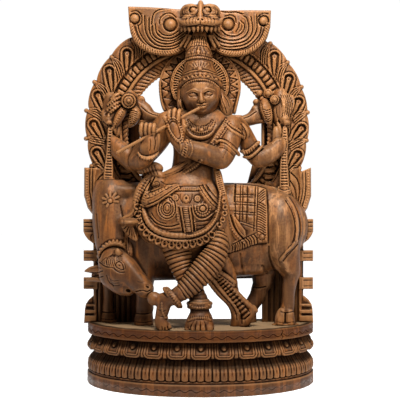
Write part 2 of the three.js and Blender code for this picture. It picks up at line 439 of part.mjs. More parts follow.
function legs() {
  // standing leg, pleated, then its anklet and foot
  ringed([[180, 232, -30, 40, 36], [177, 246, -36, 36, 32], [180, 262, -42, 26, 26], [183, 280, -46, 19, 21]], 7, 2.6, 9);
  limb([[183, 278, -46, 19, 21], [194, 286, -50, 20, 20], [199, 293, -52, 18, 18], [199.5, 303, -56, 17, 18], [199, 314, -58, 18, 19]], 10);
  limb([[199.5, 301, -55, 26, 25], [199.5, 304, -56, 31, 29], [199.5, 307, -56, 31, 29], [199.5, 310, -56, 26, 25]], 12);
  limb([[198.5, 310, -52, 20, 20], [198.5, 318, -60, 27, 24], [198.5, 327, -68, 32, 24], [198.5, 331.5, -70, 33, 24]], 8);
  // crossing leg
  ringed([[214, 232, -34, 38, 34], [216, 246, -46, 34, 32], [212, 262, -58, 35, 32], [200, 275, -66, 30, 28], [187, 287, -70, 23, 22], [178, 295, -72, 17, 17]], 11, 2.8, 9);
  limb([[180, 292, -72, 17, 17], [172, 299, -72, 15, 15], [165, 302, -70, 14, 14]], 8);
  limb([[168, 289, -74, 6, 10], [171, 297, -82, 8, 11], [179, 306, -76, 6, 10]], 6);
  limb([[176, 298, -72, 16, 22], [173, 298, -72, 24, 24], [171, 300, -72, 24, 24]], 8);
  ball(155.5, 299, -62, 15, 15, 15, 0, 8, 6);
  limb([[168, 299, -70, 14, 13], [160, 300, -66, 15, 14], [160, 308, -68, 13, 14], [160, 316, -72, 11, 13], [162, 324, -78, 13, 12], [166, 330.5, -80, 15, 10]], 8);
  // sash end reaching the plinth, and the flap above it
  limb([[214, 266, -40, 12, 7], [222, 285, -38, 17, 8], [232, 303, -34, 19, 9], [239, 318, -30, 18, 11], [240, 327.5, -26, 22, 13]], 6);
  limb([[216, 268, -26, 9, 8], [227, 277, -26, 11, 7], [236, 286, -24, 9, 6]], 6);
  limb([[226, 262, -26, 14, 12], [232, 300, -14, 5, 5]], 4);
  // mass of the skirt between the legs and the cow
  limb([[188, 226, 0, 62, 30], [190, 246, -12, 50, 30], [196, 258, -18, 34, 22]], 8);
}

// ---------------------------------------------------------------- one block
arch();
crest();
halo();
makaras();
cow();
body();
dress();
legs();
const join = (list) => {
  let m = list[0];
  for (const p of list.slice(1)) m = m.add(p);
  return m;
};
const carved = join(pieces.splice(0));
plinth();
const base = pieces[0];
const stock = solid(new THREE.BoxGeometry(2 * PLINTH_HALF, 2 * PLINTH_BACK, TOTAL_HEIGHT).translate(0, 0, TOTAL_HEIGHT / 2));

// Fewer, larger facets: closes up the shortest, flattest edges first, by the sum of
// squared distances to the facets around them, and keeps the surface closed.
function thin(points, faces, target) {
  const n = points.length / 3;
  const P = Float64Array.from(points);
  const T = Int32Array.from(faces);
  const live = new Uint8Array(T.length / 3).fill(1);
  const fan = Array.from({ length: n }, () => new Set());
  const Q = new Float64Array(n * 10);
  const normal = (a, b, c) => {
    const ux = P[b * 3] - P[a * 3]; const uy = P[b * 3 + 1] - P[a * 3 + 1]; const uz = P[b * 3 + 2] - P[a * 3 + 2];
    const vx = P[c * 3] - P[a * 3]; const vy = P[c * 3 + 1] - P[a * 3 + 1]; const vz = P[c * 3 + 2] - P[a * 3 + 2];
    return [uy * vz - uz * vy, uz * vx - ux * vz, ux * vy - uy * vx];
  };
  for (let t = 0; t < live.length; t++) {
    const [a, b, c] = [T[t * 3], T[t * 3 + 1], T[t * 3 + 2]];
    fan[a].add(t); fan[b].add(t); fan[c].add(t);
    const m = normal(a, b, c);
    const l = Math.hypot(...m);
    if (l < 1e-9) continue;
    const [x, y, z] = m.map((k) => k / l);
    const d = -(x * P[a * 3] + y * P[a * 3 + 1] + z * P[a * 3 + 2]);
    const q = [x * x, x * y, x * z, x * d, y * y, y * z, y * d, z * z, z * d, d * d];
    for (const v of [a, b, c]) for (let k = 0; k < 10; k++) Q[v * 10 + k] += q[k] * Math.min(l / 2, 60);
  }
  const cost = (a, b, x, y, z) => {
    const q = new Array(10);
    for (let k = 0; k < 10; k++) q[k] = Q[a * 10 + k] + Q[b * 10 + k];
    return q[0] * x * x + 2 * q[1] * x * y + 2 * q[2] * x * z + 2 * q[3] * x + q[4] * y * y + 2 * q[5] * y * z + 2 * q[6] * y + q[7] * z * z + 2 * q[8] * z + q[9];
  };
  const stamp = new Int32Array(n);
  const heap = [];
  const up = (e) => {
    let i = heap.push(e) - 1;
    while (i > 0) { const p = (i - 1) >> 1; if (heap[p].c <= e.c) break; heap[i] = heap[p]; i = p; }
    heap[i] = e;
  };
  const pop = () => {
    const top = heap[0]; const e = heap.pop();
    if (heap.length) {
      let i = 0;
      for (;;) {
        let k = 2 * i + 1;
        if (k >= heap.length) break;
        if (k + 1 < heap.length && heap[k + 1].c < heap[k].c) k++;
        if (heap[k].c >= e.c) break;
        heap[i] = heap[k]; i = k;
      }
      heap[i] = e;
    }
    return top;
  };
  const offer = (a, b) => {
    const len = Math.hypot(P[a * 3] - P[b * 3], P[a * 3 + 1] - P[b * 3 + 1], P[a * 3 + 2] - P[b * 3 + 2]);
    let best = null;
    for (const w of [0, 0.5, 1]) {
      const at3 = [0, 1, 2].map((k) => P[a * 3 + k] * (1 - w) + P[b * 3 + k] * w);
      const c = Math.max(0, cost(a, b, ...at3)) + 0.02 * len * len + (w === 0.5 ? 1e-3 : 0);
      if (!best || c < best.c) best = { c, at3 };
    }
    up({ a, b, c: best.c, at3: best.at3, s: stamp[a] + stamp[b] });
  };
  const near = (v) => {
    const r = new Set();
    for (const t of fan[v]) for (let k = 0; k < 3; k++) if (T[t * 3 + k] !== v) r.add(T[t * 3 + k]);
    return r;
  };
  for (let v = 0; v < n; v++) for (const w of near(v)) if (v < w) offer(v, w);
  let count = live.length;
  while (count > target && heap.length) {
    const e = pop();
    const { a, b } = e;
    if (!fan[a].size || !fan[b].size || stamp[a] + stamp[b] !== e.s) continue;
    const na = near(a); const nb = near(b);
    if (!na.has(b)) continue;
    let common = 0;
    for (const v of na) if (nb.has(v)) common++;
    if (common !== 2) continue;
    let good = true;
    for (const [v, other] of [[a, b], [b, a]]) {
      for (const t of fan[v]) {
        const ids = [T[t * 3], T[t * 3 + 1], T[t * 3 + 2]];
        if (ids.includes(other)) continue;
        const before = normal(...ids);
        const kept = [P[v * 3], P[v * 3 + 1], P[v * 3 + 2]];
        P[v * 3] = e.at3[0]; P[v * 3 + 1] = e.at3[1]; P[v * 3 + 2] = e.at3[2];
        const after = normal(...ids);
        P[v * 3] = kept[0]; P[v * 3 + 1] = kept[1]; P[v * 3 + 2] = kept[2];
        const la = Math.hypot(...before); const lb = Math.hypot(...after);
        const dot = before[0] * after[0] + before[1] * after[1] + before[2] * after[2];
        if (lb < 0.02 || (la > 0.02 && dot < 0.35 * la * lb)) { good = false; break; }
      }
      if (!good) break;
    }
    if (!good) continue;
    for (let k = 0; k < 3; k++) P[a * 3 + k] = e.at3[k];
    for (let k = 0; k < 10; k++) Q[a * 10 + k] += Q[b * 10 + k];
    for (const t of [...fan[b]]) {
      const ids = [T[t * 3], T[t * 3 + 1], T[t * 3 + 2]];
      if (ids.includes(a)) {
        live[t] = 0; count--;
        for (const v of ids) fan[v].delete(t);
      } else {
        for (let k = 0; k < 3; k++) if (T[t * 3 + k] === b) T[t * 3 + k] = a;
        fan[a].add(t);
      }
    }
    fan[b].clear();
    stamp[a]++;
    for (const v of near(a)) { stamp[v]++; }
    for (const v of near(a)) { offer(a, v); for (const w of near(v)) if (w !== a) offer(v, w); }
  }
  const map = new Map(); const pts = []; const tri = [];
  for (let t = 0; t < live.length; t++) {
    if (!live[t]) continue;
    for (let k = 0; k < 3; k++) {
      const v = T[t * 3 + k];
      if (!map.has(v)) { map.set(v, map.size); pts.push(P[v * 3], P[v * 3 + 1], P[v * 3 + 2]); }
      tri.push(map.get(v));
    }
  }
  return { pts, tri };
}

const rough = carved.intersect(stock).getMesh();
const slim = thin(rough.vertProperties, rough.triVerts, FACETS);
const upper = new wasm.Manifold(new wasm.Mesh({
  numProp: 3,
  vertProperties: new Float32Array(slim.pts),
  triVerts: new Uint32Array(slim.tri),
}));
const whole = upper.add(base).decompose().filter((m) => m.volume() > 0).sort((a, b) => b.volume() - a.volume())[0];
const out = whole.getMesh();
const geometry = new THREE.BufferGeometry();
geometry.setAttribute('position', new THREE.BufferAttribute(new Float32Array(out.vertProperties), 3));
geometry.setIndex(new THREE.BufferAttribute(new Uint32Array(out.triVerts), 1));
geometry.computeVertexNormals();

const wood = new THREE.MeshStandardMaterial({ color: 0x8a5631, roughness: 0.5, metalness: 0 });
wood.name = 'wood';
const figure = new THREE.Mesh(geometry, wood);
figure.name = 'krishna_figure';

const group = new THREE.Group();
group.add(figure);
export default group;
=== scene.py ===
import math
import time
import bpy
import numpy as np
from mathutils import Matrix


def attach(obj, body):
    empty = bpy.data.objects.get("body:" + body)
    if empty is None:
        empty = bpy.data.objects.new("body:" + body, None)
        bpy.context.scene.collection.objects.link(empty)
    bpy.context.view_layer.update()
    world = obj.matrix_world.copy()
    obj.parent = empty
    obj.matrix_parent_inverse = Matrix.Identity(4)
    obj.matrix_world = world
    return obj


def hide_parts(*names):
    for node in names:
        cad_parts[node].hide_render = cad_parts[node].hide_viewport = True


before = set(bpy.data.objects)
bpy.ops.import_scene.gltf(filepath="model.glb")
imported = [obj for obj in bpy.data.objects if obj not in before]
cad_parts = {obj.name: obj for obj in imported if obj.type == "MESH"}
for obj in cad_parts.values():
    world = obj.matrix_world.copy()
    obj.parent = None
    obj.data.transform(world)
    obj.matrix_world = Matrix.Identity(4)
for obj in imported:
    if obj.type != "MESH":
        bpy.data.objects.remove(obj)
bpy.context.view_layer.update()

import openvdb as vdb

T0 = time.time()
NODE = "krishna_figure"

# ------------------------------------------------------------------ set-out
# The front elevation is set out on a square drawing grid of 400 units. One unit is
# GRID mm in the plane y = 0 and grows with depth, as seen from EYE mm in front of it.
GRID, EYE, MU, EV, EZ = 2.386, 1815.0, 200.5, 215.0, 410.7


def sc(y):
    return GRID * (EYE + y) / EYE


def P(u, v, y):
    s = sc(y)
    return np.array([(u - MU) * s, y, EZ + (EV - v) * s])


def smooth(x, a, b):
    t = np.clip((x - a) / (b - a), 0.0, 1.0)
    return t * t * (3.0 - 2.0 * t)


def smin(a, b, k):
    if k <= 0:
        return np.minimum(a, b)
    h = np.maximum(k - np.abs(a - b), 0.0) / k
    return np.minimum(a, b) - h * h * k * 0.25


def spline(stations, n):
    """Catmull-Rom through rows of numbers, n steps a span."""
    s = np.asarray(stations, float)
    if len(s) < 3 or n < 2:
        return s
    p = np.vstack([2 * s[0] - s[1], s, 2 * s[-1] - s[-2]])
    out = []
    for i in range(1, len(p) - 2):
        for j in range(n):
            t = j / n
            a, b, c, d = p[i - 1], p[i], p[i + 1], p[i + 2]
            out.append(0.5 * ((2 * b) + (c - a) * t + (2 * a - 5 * b + 4 * c - d) * t * t
                              + (3 * b - a - 3 * c + d) * t ** 3))
    out.append(s[-1])
    return np.array(out)


# ------------------------------------------------------------------ drawing board
SUB = 4                                  # samples per grid unit


class Board:
    """A height map over the drawing grid, in mm towards the viewer."""

    def __init__(self, u0=70, v0=-6, u1=330, v1=335):
        self.u0, self.v0 = u0, v0
        self.n = (int((u1 - u0) * SUB) + 1, int((v1 - v0) * SUB) + 1)
        self.h = np.zeros(self.n, np.float32)
        self.u = (u0 + np.arange(self.n[0]) / SUB).astype(np.float32)
        self.v = (v0 + np.arange(self.n[1]) / SUB).astype(np.float32)

    def win(self, u0, v0, u1, v1):
        i0 = max(int((u0 - self.u0) * SUB), 0)
        i1 = min(int((u1 - self.u0) * SUB) + 2, self.n[0])
        j0 = max(int((v0 - self.v0) * SUB), 0)
        j1 = min(int((v1 - self.v0) * SUB) + 2, self.n[1])
        if i1 <= i0 or j1 <= j0:
            return None
        return (slice(i0, i1), slice(j0, j1)), self.u[i0:i1, None], self.v[None, j0:j1]

    def lay(self, sl, val, mode):
        a = self.h[sl]
        if mode == "max":
            np.maximum(a, val, out=a)
        elif mode == "add":
            a += val
        elif mode == "min":
            np.minimum(a, val, out=a)
        elif mode == "set":
            a[...] = val

    def near(self, pts, reach, closed=False):
        """Window, signed side distance and run along a polyline (grid units)."""
        pts = np.asarray(pts, float)
        if closed:
            pts = np.vstack([pts, pts[:1]])
        w = self.win(pts[:, 0].min() - reach, pts[:, 1].min() - reach,
                     pts[:, 0].max() + reach, pts[:, 1].max() + reach)
        if w is None:
            return None
        sl, u, v = w
        best = np.full((u.shape[0], v.shape[1]), 1e9, np.float32)
        run = np.zeros_like(best)
        side = np.zeros_like(best)
        t0 = 0.0
        for a, b in zip(pts[:-1], pts[1:]):
            d = b - a
            L = math.hypot(*d)
            if L < 1e-6:
                continue
            lo = np.minimum(a, b) - reach
            hi = np.maximum(a, b) + reach
            i0 = max(int((lo[0] - u[0, 0]) * SUB), 0)
            i1 = int((hi[0] - u[0, 0]) * SUB) + 2
            j0 = max(int((lo[1] - v[0, 0]) * SUB), 0)
            j1 = int((hi[1] - v[0, 0]) * SUB) + 2
            uu = u[i0:i1]
            vv = v[:, j0:j1]
            if uu.size == 0 or vv.size == 0:
                t0 += L
                continue
            t = np.clip(((uu - a[0]) * d[0] + (vv - a[1]) * d[1]) / (L * L), 0, 1)
            du = uu - a[0] - t * d[0]
            dv = vv - a[1] - t * d[1]
            q = np.sqrt(du * du + dv * dv)
            bb = best[i0:i1, j0:j1]
            m = q < bb
            bb[m] = q[m]
            run[i0:i1, j0:j1][m] = (t0 + t * L)[m]
            side[i0:i1, j0:j1][m] = np.sign(du * d[1] - dv * d[0])[m]
            t0 += L
        return sl, best, run, side, t0

    def stroke(self, pts, width, height, base=0.0, mode="max", smoothn=4, closed=False, power=0.5,
               taper=None):
        """Rounded ridge (or, with mode add and a negative height, a groove)."""
        p = spline(pts, smoothn)
        r = self.near(p, width * 0.5 + 0.5, closed)
        if r is None:
            return
        sl, d, run, side, L = r
        w = width * 0.5
        if taper is not None:
            w = w * np.interp(run / max(L, 1e-6), np.linspace(0, 1, len(taper)), taper)
        k = np.clip(1 - (d / np.maximum(w, 1e-3)) ** 2, 0, 1)
        val = height * k ** power
        if mode == "max":
            val = np.where(k > 0, val + base, -1e3)
        self.lay(sl, val.astype(np.float32), mode)

    def rope(self, pts, width, height, pitch, slant=1.0, base=0.0, smoothn=4, depth=0.55, closed=False):
        """Twisted cord: a round ridge cut by slanting grooves."""
        p = spline(pts, smoothn)
        r = self.near(p, width * 0.5 + 0.5, closed)
        if r is None:
            return
        sl, d, run, side, L = r
        w = width * 0.5
        k = np.clip(1 - (d / w) ** 2, 0, 1)
        ph = run / pitch + slant * side * d / width
        cut = np.abs(np.mod(ph, 1.0) - 0.5) * 2
        val = height * (k ** 0.5) * (1 - depth * smooth(cut, 0.62, 1.0)) + base
        self.lay(sl, np.where(k > 0, val, -1e3).astype(np.float32), "max")

    def beads(self, pts, radius, height, pitch=None, base=0.0, smoothn=4, closed=False):
        p = spline(pts, smoothn)
        if closed:
            p = np.vstack([p, p[:1]])
        seg = np.hypot(*(p[1:] - p[:-1]).T)
        cum = np.concatenate([[0], np.cumsum(seg)])
        pitch = pitch or radius * 2.05
        n = max(int(round(cum[-1] / pitch)), 1)
        for i in range(n if closed else n + 1):
            t = cum[-1] * i / n
            self.dot(np.interp(t, cum, p[:, 0]), np.interp(t, cum, p[:, 1]), radius, height, base)

    def dot(self, u, v, r, height, base=0.0, mode="max", ry=None, tilt=0.0, power=0.5):
        ry = ry or r
        R = max(r, ry)
        w = self.win(u - R, v - R, u + R, v + R)
        if w is None:
            return
        sl, U, V = w
        c, s = math.cos(math.radians(tilt)), math.sin(math.radians(tilt))
        a = ((U - u) * c + (V - v) * s) / r
        b = (-(U - u) * s + (V - v) * c) / ry
        k = np.clip(1 - a * a - b * b, 0, 1)
        val = height * k ** power
        if mode == "max":
            val = np.where(k > 0, val + base, -1e3)
        self.lay(sl, val.astype(np.float32), mode)

    def disc(self, u, v, r, height, base=0.0, mode="max", edge=0.5, ry=None, tilt=0.0):
        """Flat-topped disc or oval with a soft edge."""
        ry = ry or r
        R = max(r, ry) + 1
        w = self.win(u - R, v - R, u + R, v + R)
        if w is None:
            return
        sl, U, V = w
        c, s = math.cos(math.radians(tilt)), math.sin(math.radians(tilt))
        a = ((U - u) * c + (V - v) * s) / r
        b = (-(U - u) * s + (V - v) * c) / ry
        q = (1 - np.sqrt(a * a + b * b)) * min(r, ry)
        k = smooth(q, 0, edge)
        val = height * k
        if mode == "max":
            val = np.where(q > 0, val + base, -1e3)
        self.lay(sl, val.astype(np.float32), mode)

    def fill(self, poly, height, base=0.0, mode="max", edge=0.6, dome=0.0, fn=None, smoothn=1):
        """Raised polygon with a soft edge, a dome of `dome` mm, and fn(u, v, d) on top."""
        p = spline(np.vstack([poly, poly[:1]]), smoothn)[:-1] if smoothn > 1 else np.asarray(poly, float)
        w = self.win(p[:, 0].min() - 1, p[:, 1].min() - 1, p[:, 0].max() + 1, p[:, 1].max() + 1)
        if w is None:
            return
        sl, U, V = w
        d = poly_sd(p, U, V)
        k = smooth(-d, 0, edge)
        val = height * k
        if dome:
            dm = max(float((-d).max()), 1e-3)
            val = val + dome * np.clip(1 - (1 + d / dm) ** 2, 0, 1) ** 0.5 * (d < 0)
        if fn is not None:
            val = val + fn(U + 0 * V, V + 0 * U, d) * k
        if mode == "max":
            val = np.where(d < 0, val + base, -1e3)
        elif mode == "add":
            val = np.where(d < 0, val, 0)
        self.lay(sl, val.astype(np.float32), mode)

    def at(self, U, V):
        """Bilinear sample along separable coordinate rows."""
        fu = np.clip((U - self.u0) * SUB, 0, self.n[0] - 1.001)
        fv = np.clip((V - self.v0) * SUB, 0, self.n[1] - 1.001)
        i = fu.astype(np.int32)
        j = fv.astype(np.int32)
        a = (fu - i).astype(np.float32)[:, None]
        b = (fv - j).astype(np.float32)[None, :]
        h = self.h
        r0 = h[i][:, j] * (1 - b) + h[i][:, j + 1] * b
        r1 = h[i + 1][:, j] * (1 - b) + h[i + 1][:, j + 1] * b
        return r0 * (1 - a) + r1 * a

    def box(self):
        m = self.h != 0
        i = np.where(m.any(1))[0]
        j = np.where(m.any(0))[0]
        if not len(i):
            return None
        return self.u[i[0]], self.u[i[-1]], self.v[j[0]], self.v[j[-1]]


def poly_sd(p, U, V):
    """Signed distance to a closed polygon, negative inside, in grid units."""
    p = np.asarray(p, np.float32)
    shape = np.broadcast(U, V).shape
    best = np.full(shape, 1e9, np.float32)
    inside = np.zeros(shape, bool)
    q = np.roll(p, -1, 0)
    for a, b in zip(p, q):
        d = b - a
        L2 = float(d @ d)
        if L2 < 1e-9:
            continue
        t = np.clip(((U - a[0]) * d[0] + (V - a[1]) * d[1]) / L2, 0, 1)
        du = U - a[0] - t * d[0]
        dv = V - a[1] - t * d[1]
        np.minimum(best, du * du + dv * dv, out=best)
        c = (a[1] > V) != (b[1] > V)
        if d[1] != 0:
            inside ^= c & (U < d[0] * (V - a[1]) / d[1] + a[0])
    best = np.sqrt(best)
    return np.where(inside, -best, best)


# ------------------------------------------------------------------ clay
class Clay:
    """A block of voxels holding a signed distance in mm, negative in the wood."""

    def __init__(self, lo, hi, h):
        self.h = h
        self.lo = np.floor(np.asarray(lo, float) / h) * h
        self.n = tuple(int(k) for k in np.ceil((np.asarray(hi, float) - self.lo) / h) + 1)
        self.f = np.full(self.n, 25.0, np.float32)
        self.ax = [(self.lo[k] + h * np.arange(self.n[k])).astype(np.float32) for k in range(3)]

    def win(self, lo, hi):
        s = []
        for k in range(3):
            a = max(int(math.floor((lo[k] - self.lo[k]) / self.h)), 0)
            b = min(int(math.ceil((hi[k] - self.lo[k]) / self.h)) + 1, self.n[k])
            if b <= a:
                return None
            s.append(slice(a, b))
        x = self.ax[0][s[0]][:, None, None]
        y = self.ax[1][s[1]][None, :, None]
        z = self.ax[2][s[2]][None, None, :]
        return tuple(s), x, y, z

    def put(self, sl, d, k=0.0):
        a = self.f[sl]
        a[...] = smin(a, d.astype(np.float32), k)

    def cut(self, sl, d, k=0.0):
        a = self.f[sl]
        a[...] = -smin(-a, d.astype(np.float32), k)

    def ball(self, c, r, k=0.0, tilt=0.0, cut=False, yaw=0.0):
        """Ellipsoid at grid place c = (u, v, y), radii r mm, tilted in the front plane."""
        c = P(*c)
        r = np.asarray(r if np.ndim(r) else (r, r, r), float)
        R = max(r) + 4 + k
        w = self.win(c - R, c + R)
        if w is None:
            return
        sl, x, y, z = w
        x = x - c[0]; y = y - c[1]; z = z - c[2]
        if yaw:
            cc, ss = math.cos(math.radians(yaw)), math.sin(math.radians(yaw))
            x, y = x * cc + y * ss, -x * ss + y * cc
        if tilt:
            cc, ss = math.cos(math.radians(tilt)), math.sin(math.radians(tilt))
            x, z = x * cc - z * ss, x * ss + z * cc
        a = (x / r[0]) ** 2 + (y / r[1]) ** 2 + (z / r[2]) ** 2
        b = (x / r[0] ** 2) ** 2 + (y / r[1] ** 2) ** 2 + (z / r[2] ** 2) ** 2
        k0 = np.sqrt(a)
        d = k0 * (k0 - 1) / np.maximum(np.sqrt(b), 1e-6)
        (self.cut if cut else self.put)(sl, d, k)

    def limb(self, st, k=0.0, n=3, ring=None, own=2.0, cut=False, up=(0.0, 1.0, 0.0), fn=None):
        """Round bar through stations (u, v, y, half width, half depth) with own blends.

        ring = (pitch mm, depth mm, shape) turns rings into it; fn(run, angle) gives mm added.
        """
        st = [list(s) + ([s[3]] if len(s) == 4 else []) for s in st]
        s = spline(st, n)
        pts = np.array([P(*q[:3]) for q in s])
        rr = np.maximum(s[:, 3:5], 0.4)
        R = rr.max() + 5 + k
        w = self.win(pts.min(0) - R, pts.max(0) + R)
        if w is None:
            return
        sl, x, y, z = w
        acc = np.full(tuple(q.stop - q.start for q in sl), 25.0, np.float32)
        best = np.full_like(acc, 1e6) if ring is not None or fn is not None else None
        along = np.zeros_like(acc) if best is not None else None
        run0 = 0.0
        up = np.asarray(up, float)
        for i in range(len(pts) - 1):
            a, b = pts[i], pts[i + 1]
            ra, rb = rr[i], rr[i + 1]
            d = b - a
            L = np.linalg.norm(d)
            if L < 1e-6:
                continue
            t_ = d / L
            upv = up if abs(t_ @ up) < 0.93 else np.array([0.0, 0.0, 1.0])
            D = upv - t_ * (upv @ t_)
            D /= np.linalg.norm(D)
            A = np.cross(D, t_)
            m = max(ra.max(), rb.max()) + 4 + k
            lo = np.minimum(a, b) - m
            hi = np.maximum(a, b) + m
            s0 = []
            for kk in range(3):
                aa = max(int(math.floor((lo[kk] - self.lo[kk]) / self.h)) - sl[kk].start, 0)
                bb = min(int(math.ceil((hi[kk] - self.lo[kk]) / self.h)) + 1, sl[kk].stop) - sl[kk].start
                s0.append(slice(aa, max(bb, aa)))
            s0 = tuple(s0)
            if any(q.stop <= q.start for q in s0):
                run0 += L
                continue
            X = x[s0[0]] - a[0]
            Y = y[:, s0[1]] - a[1]
            Z = z[:, :, s0[2]] - a[2]
            t = (X * t_[0] + Y * t_[1] + Z * t_[2])
            tc = np.clip(t / L, 0, 1)
            over = t - tc * L
            qa = X * A[0] + Y * A[1] + Z * A[2]
            qd = X * D[0] + Y * D[1] + Z * D[2]
            wx = ra[0] + (rb[0] - ra[0]) * tc
            wy = ra[1] + (rb[1] - ra[1]) * tc
            wm = np.minimum(wx, wy)
            ia, id_, io = qa / wx, qd / wy, over / wm
            k0 = np.sqrt(ia * ia + id_ * id_ + io * io)
            k1 = np.sqrt((ia / wx) ** 2 + (id_ / wy) ** 2 + (io / wm) ** 2)
            q = k0 * (k0 - 1) / np.maximum(k1, 1e-6)
            if best is not None:
                bq, al = best[s0], along[s0]
                cost = np.abs(over) + 0.02 * np.abs(q)
                near = cost < bq
                bq[...] = np.where(near, cost, bq)
                if fn is not None:
                    val = fn(run0 + tc * L, np.arctan2(qa / wx, -qd / wy))
                else:
                    val = (run0 + t) / ring[0] + (ring[3] * np.clip(qa / wx, -1.5, 1.5) if len(ring) > 3 else 0)
                al[...] = np.where(near, val, al)
            v = acc[s0]
            v[...] = smin(v, q.astype(np.float32), own)
            run0 += L
        if fn is not None:
            acc -= along
        elif ring is not None:
            ph = np.mod(along + 0.12 * np.sin(along * 2.3), 1.0)
            if ring[2] == "pleat":
                acc += (ring[1] * (np.abs(ph - 0.5) * 2) ** 2.4).astype(np.float32)
            else:
                acc += (ring[1] * (0.5 + 0.5 * np.cos(2 * math.pi * ph))).astype(np.float32)
        (self.cut if cut else self.put)(sl, acc, k)

    def slab(self, poly, y0, y1, k=0.0, draw=None, relief=None, holes=(), cut=False, round_=1.5, smoothn=1):
        """Plate cut to a grid outline, y0 (front) to y1 (back); relief is a Board."""
        p = np.asarray(poly, float)
        if smoothn > 1:
            p = spline(np.vstack([p, p[:1]]), smoothn)[:-1]
        b = Board(p[:, 0].min() - 4, p[:, 1].min() - 4, p[:, 0].max() + 4, p[:, 1].max() + 4)
        b.h = poly_sd(p, b.u[:, None], b.v[None, :]).astype(np.float32)
        for hole in holes:
            hp = np.asarray(hole, float)
            b.h = np.maximum(b.h, -poly_sd(hp, b.u[:, None], b.v[None, :])).astype(np.float32)
        self.sheet(b, y0, y1, k, relief, cut, round_, draw)

    def sheet(self, b, y0, y1, k=0.0, relief=None, cut=False, round_=1.5, draw=None):
        """The same from a Board holding the outline's signed distance in grid units."""
        s = sc(y1)
        top = 30
        lo = [(b.u[0] - MU) * s - 5, y0 - top, EZ + (EV - b.v[-1]) * s - 5]
        hi = [(b.u[-1] - MU) * s + 5, y1 + 5, EZ + (EV - b.v[0]) * s + 5]
        w = self.win(lo, hi)
        if w is None:
            return
        sl, x, y, z = w
        x = x[:, 0, 0]
        z = z[0, 0, :]
        for j in range(sl[1].start, sl[1].stop):
            yy = self.ax[1][j]
            yd = yy if draw is None else draw
            q = sc(yd)
            U = MU + x / q
            V = EV - (z - EZ) / q
            d2 = b.at(U, V) * q
            front = y0 - yy
            if relief is not None:
                q2 = sc(min(yy, y0))
                front = front - relief.at(MU + x / q2, EV - (z - EZ) / q2)
            d3 = np.maximum(front, yy - y1)
            d = np.maximum(d2, d3)
            if round_:
                d = -smin(-d2, -d3 + 0 * d2, round_)
            v = self.f[sl[0], j, sl[2]]
            if cut:
                v[...] = -smin(-v, d.astype(np.float32), k)
            else:
                v[...] = smin(v, d.astype(np.float32), k)

    def carve(self, b, y_lo=-1e9, y_hi=1e9, face=0.35):
        """Press a Board's relief into whatever faces the viewer."""
        bx = b.box()
        if bx is None:
            return
        u0, u1, v0, v1 = bx
        f = self.f
        h = self.h
        for j in range(1, self.n[1] - 1):
            yy = self.ax[1][j]
            if yy < y_lo or yy > y_hi:
                continue
            q = sc(yy)
            i0 = max(int(((u0 - MU) * q - self.lo[0]) / h) - 1, 0)
            i1 = min(int(((u1 - MU) * q - self.lo[0]) / h) + 3, self.n[0])
            k0 = max(int((EZ + (EV - v1) * q - self.lo[2]) / h) - 1, 0)
            k1 = min(int((EZ + (EV - v0) * q - self.lo[2]) / h) + 3, self.n[2])
            if i1 <= i0 or k1 <= k0:
                continue
            g = f[i0:i1, j + 1, k0:k1] - f[i0:i1, j, k0:k1]
            r = b.at(MU + self.ax[0][i0:i1] / q, EV - (self.ax[2][k0:k1] - EZ) / q)
            wgt = np.clip(-g / h / face, 0, 1)
            f[i0:i1, j, k0:k1] -= r * wgt

    def mesh(self, name, mirror=False):
        g = vdb.FloatGrid(25.0)
        g.copyFromArray(np.ascontiguousarray(self.f))
        pts, quads = g.convertToQuads(0.0)
        pts = pts.astype(np.float64) * self.h + self.lo
        return pts, quads


def boxblur(a, r):
    """Box blur with radius r voxels along each axis."""
    out = a
    for ax in range(3):
        n = out.shape[ax]
        pad = [(0, 0)] * 3
        pad[ax] = (r + 1, r)
        c = np.cumsum(np.pad(out, pad, mode="edge"), axis=ax, dtype=np.float32)
        i = [slice(None)] * 3
        j = [slice(None)] * 3
        i[ax] = slice(2 * r + 1, 2 * r + 1 + n)
        j[ax] = slice(0, n)
        out = (c[tuple(i)] - c[tuple(j)]) / (2 * r + 1)
    return out


def sample(a, lo, h, pts):
    f = (pts - lo) / h
    f = np.clip(f, 0, np.array(a.shape) - 1.001)
    i = f.astype(np.int64)
    t = (f - i)
    out = 0
    for dx in (0, 1):
        for dy in (0, 1):
            for dz in (0, 1):
                w = ((t[:, 0] if dx else 1 - t[:, 0]) * (t[:, 1] if dy else 1 - t[:, 1])
                     * (t[:, 2] if dz else 1 - t[:, 2]))
                out = out + a[i[:, 0] + dx, i[:, 1] + dy, i[:, 2] + dz] * w
    return out


# ------------------------------------------------------------------ plinth
HALF, BACK, MID, DEEP, CURVE = 282.0, 105.0, 97.0, 202.0, 2.12
PITCH = 54.7


def plan_front():
    t = np.linspace(0, math.pi, 6001)
    c, s = np.cos(t), np.sin(t)
    x = -HALF * np.sign(c) * np.abs(c) ** (2 / CURVE)
    y = MID - DEEP * s ** (2 / CURVE)
    seg = np.hypot(np.diff(x), np.diff(y))
    cum = np.concatenate([[0], np.cumsum(seg)])
    return x, y, cum


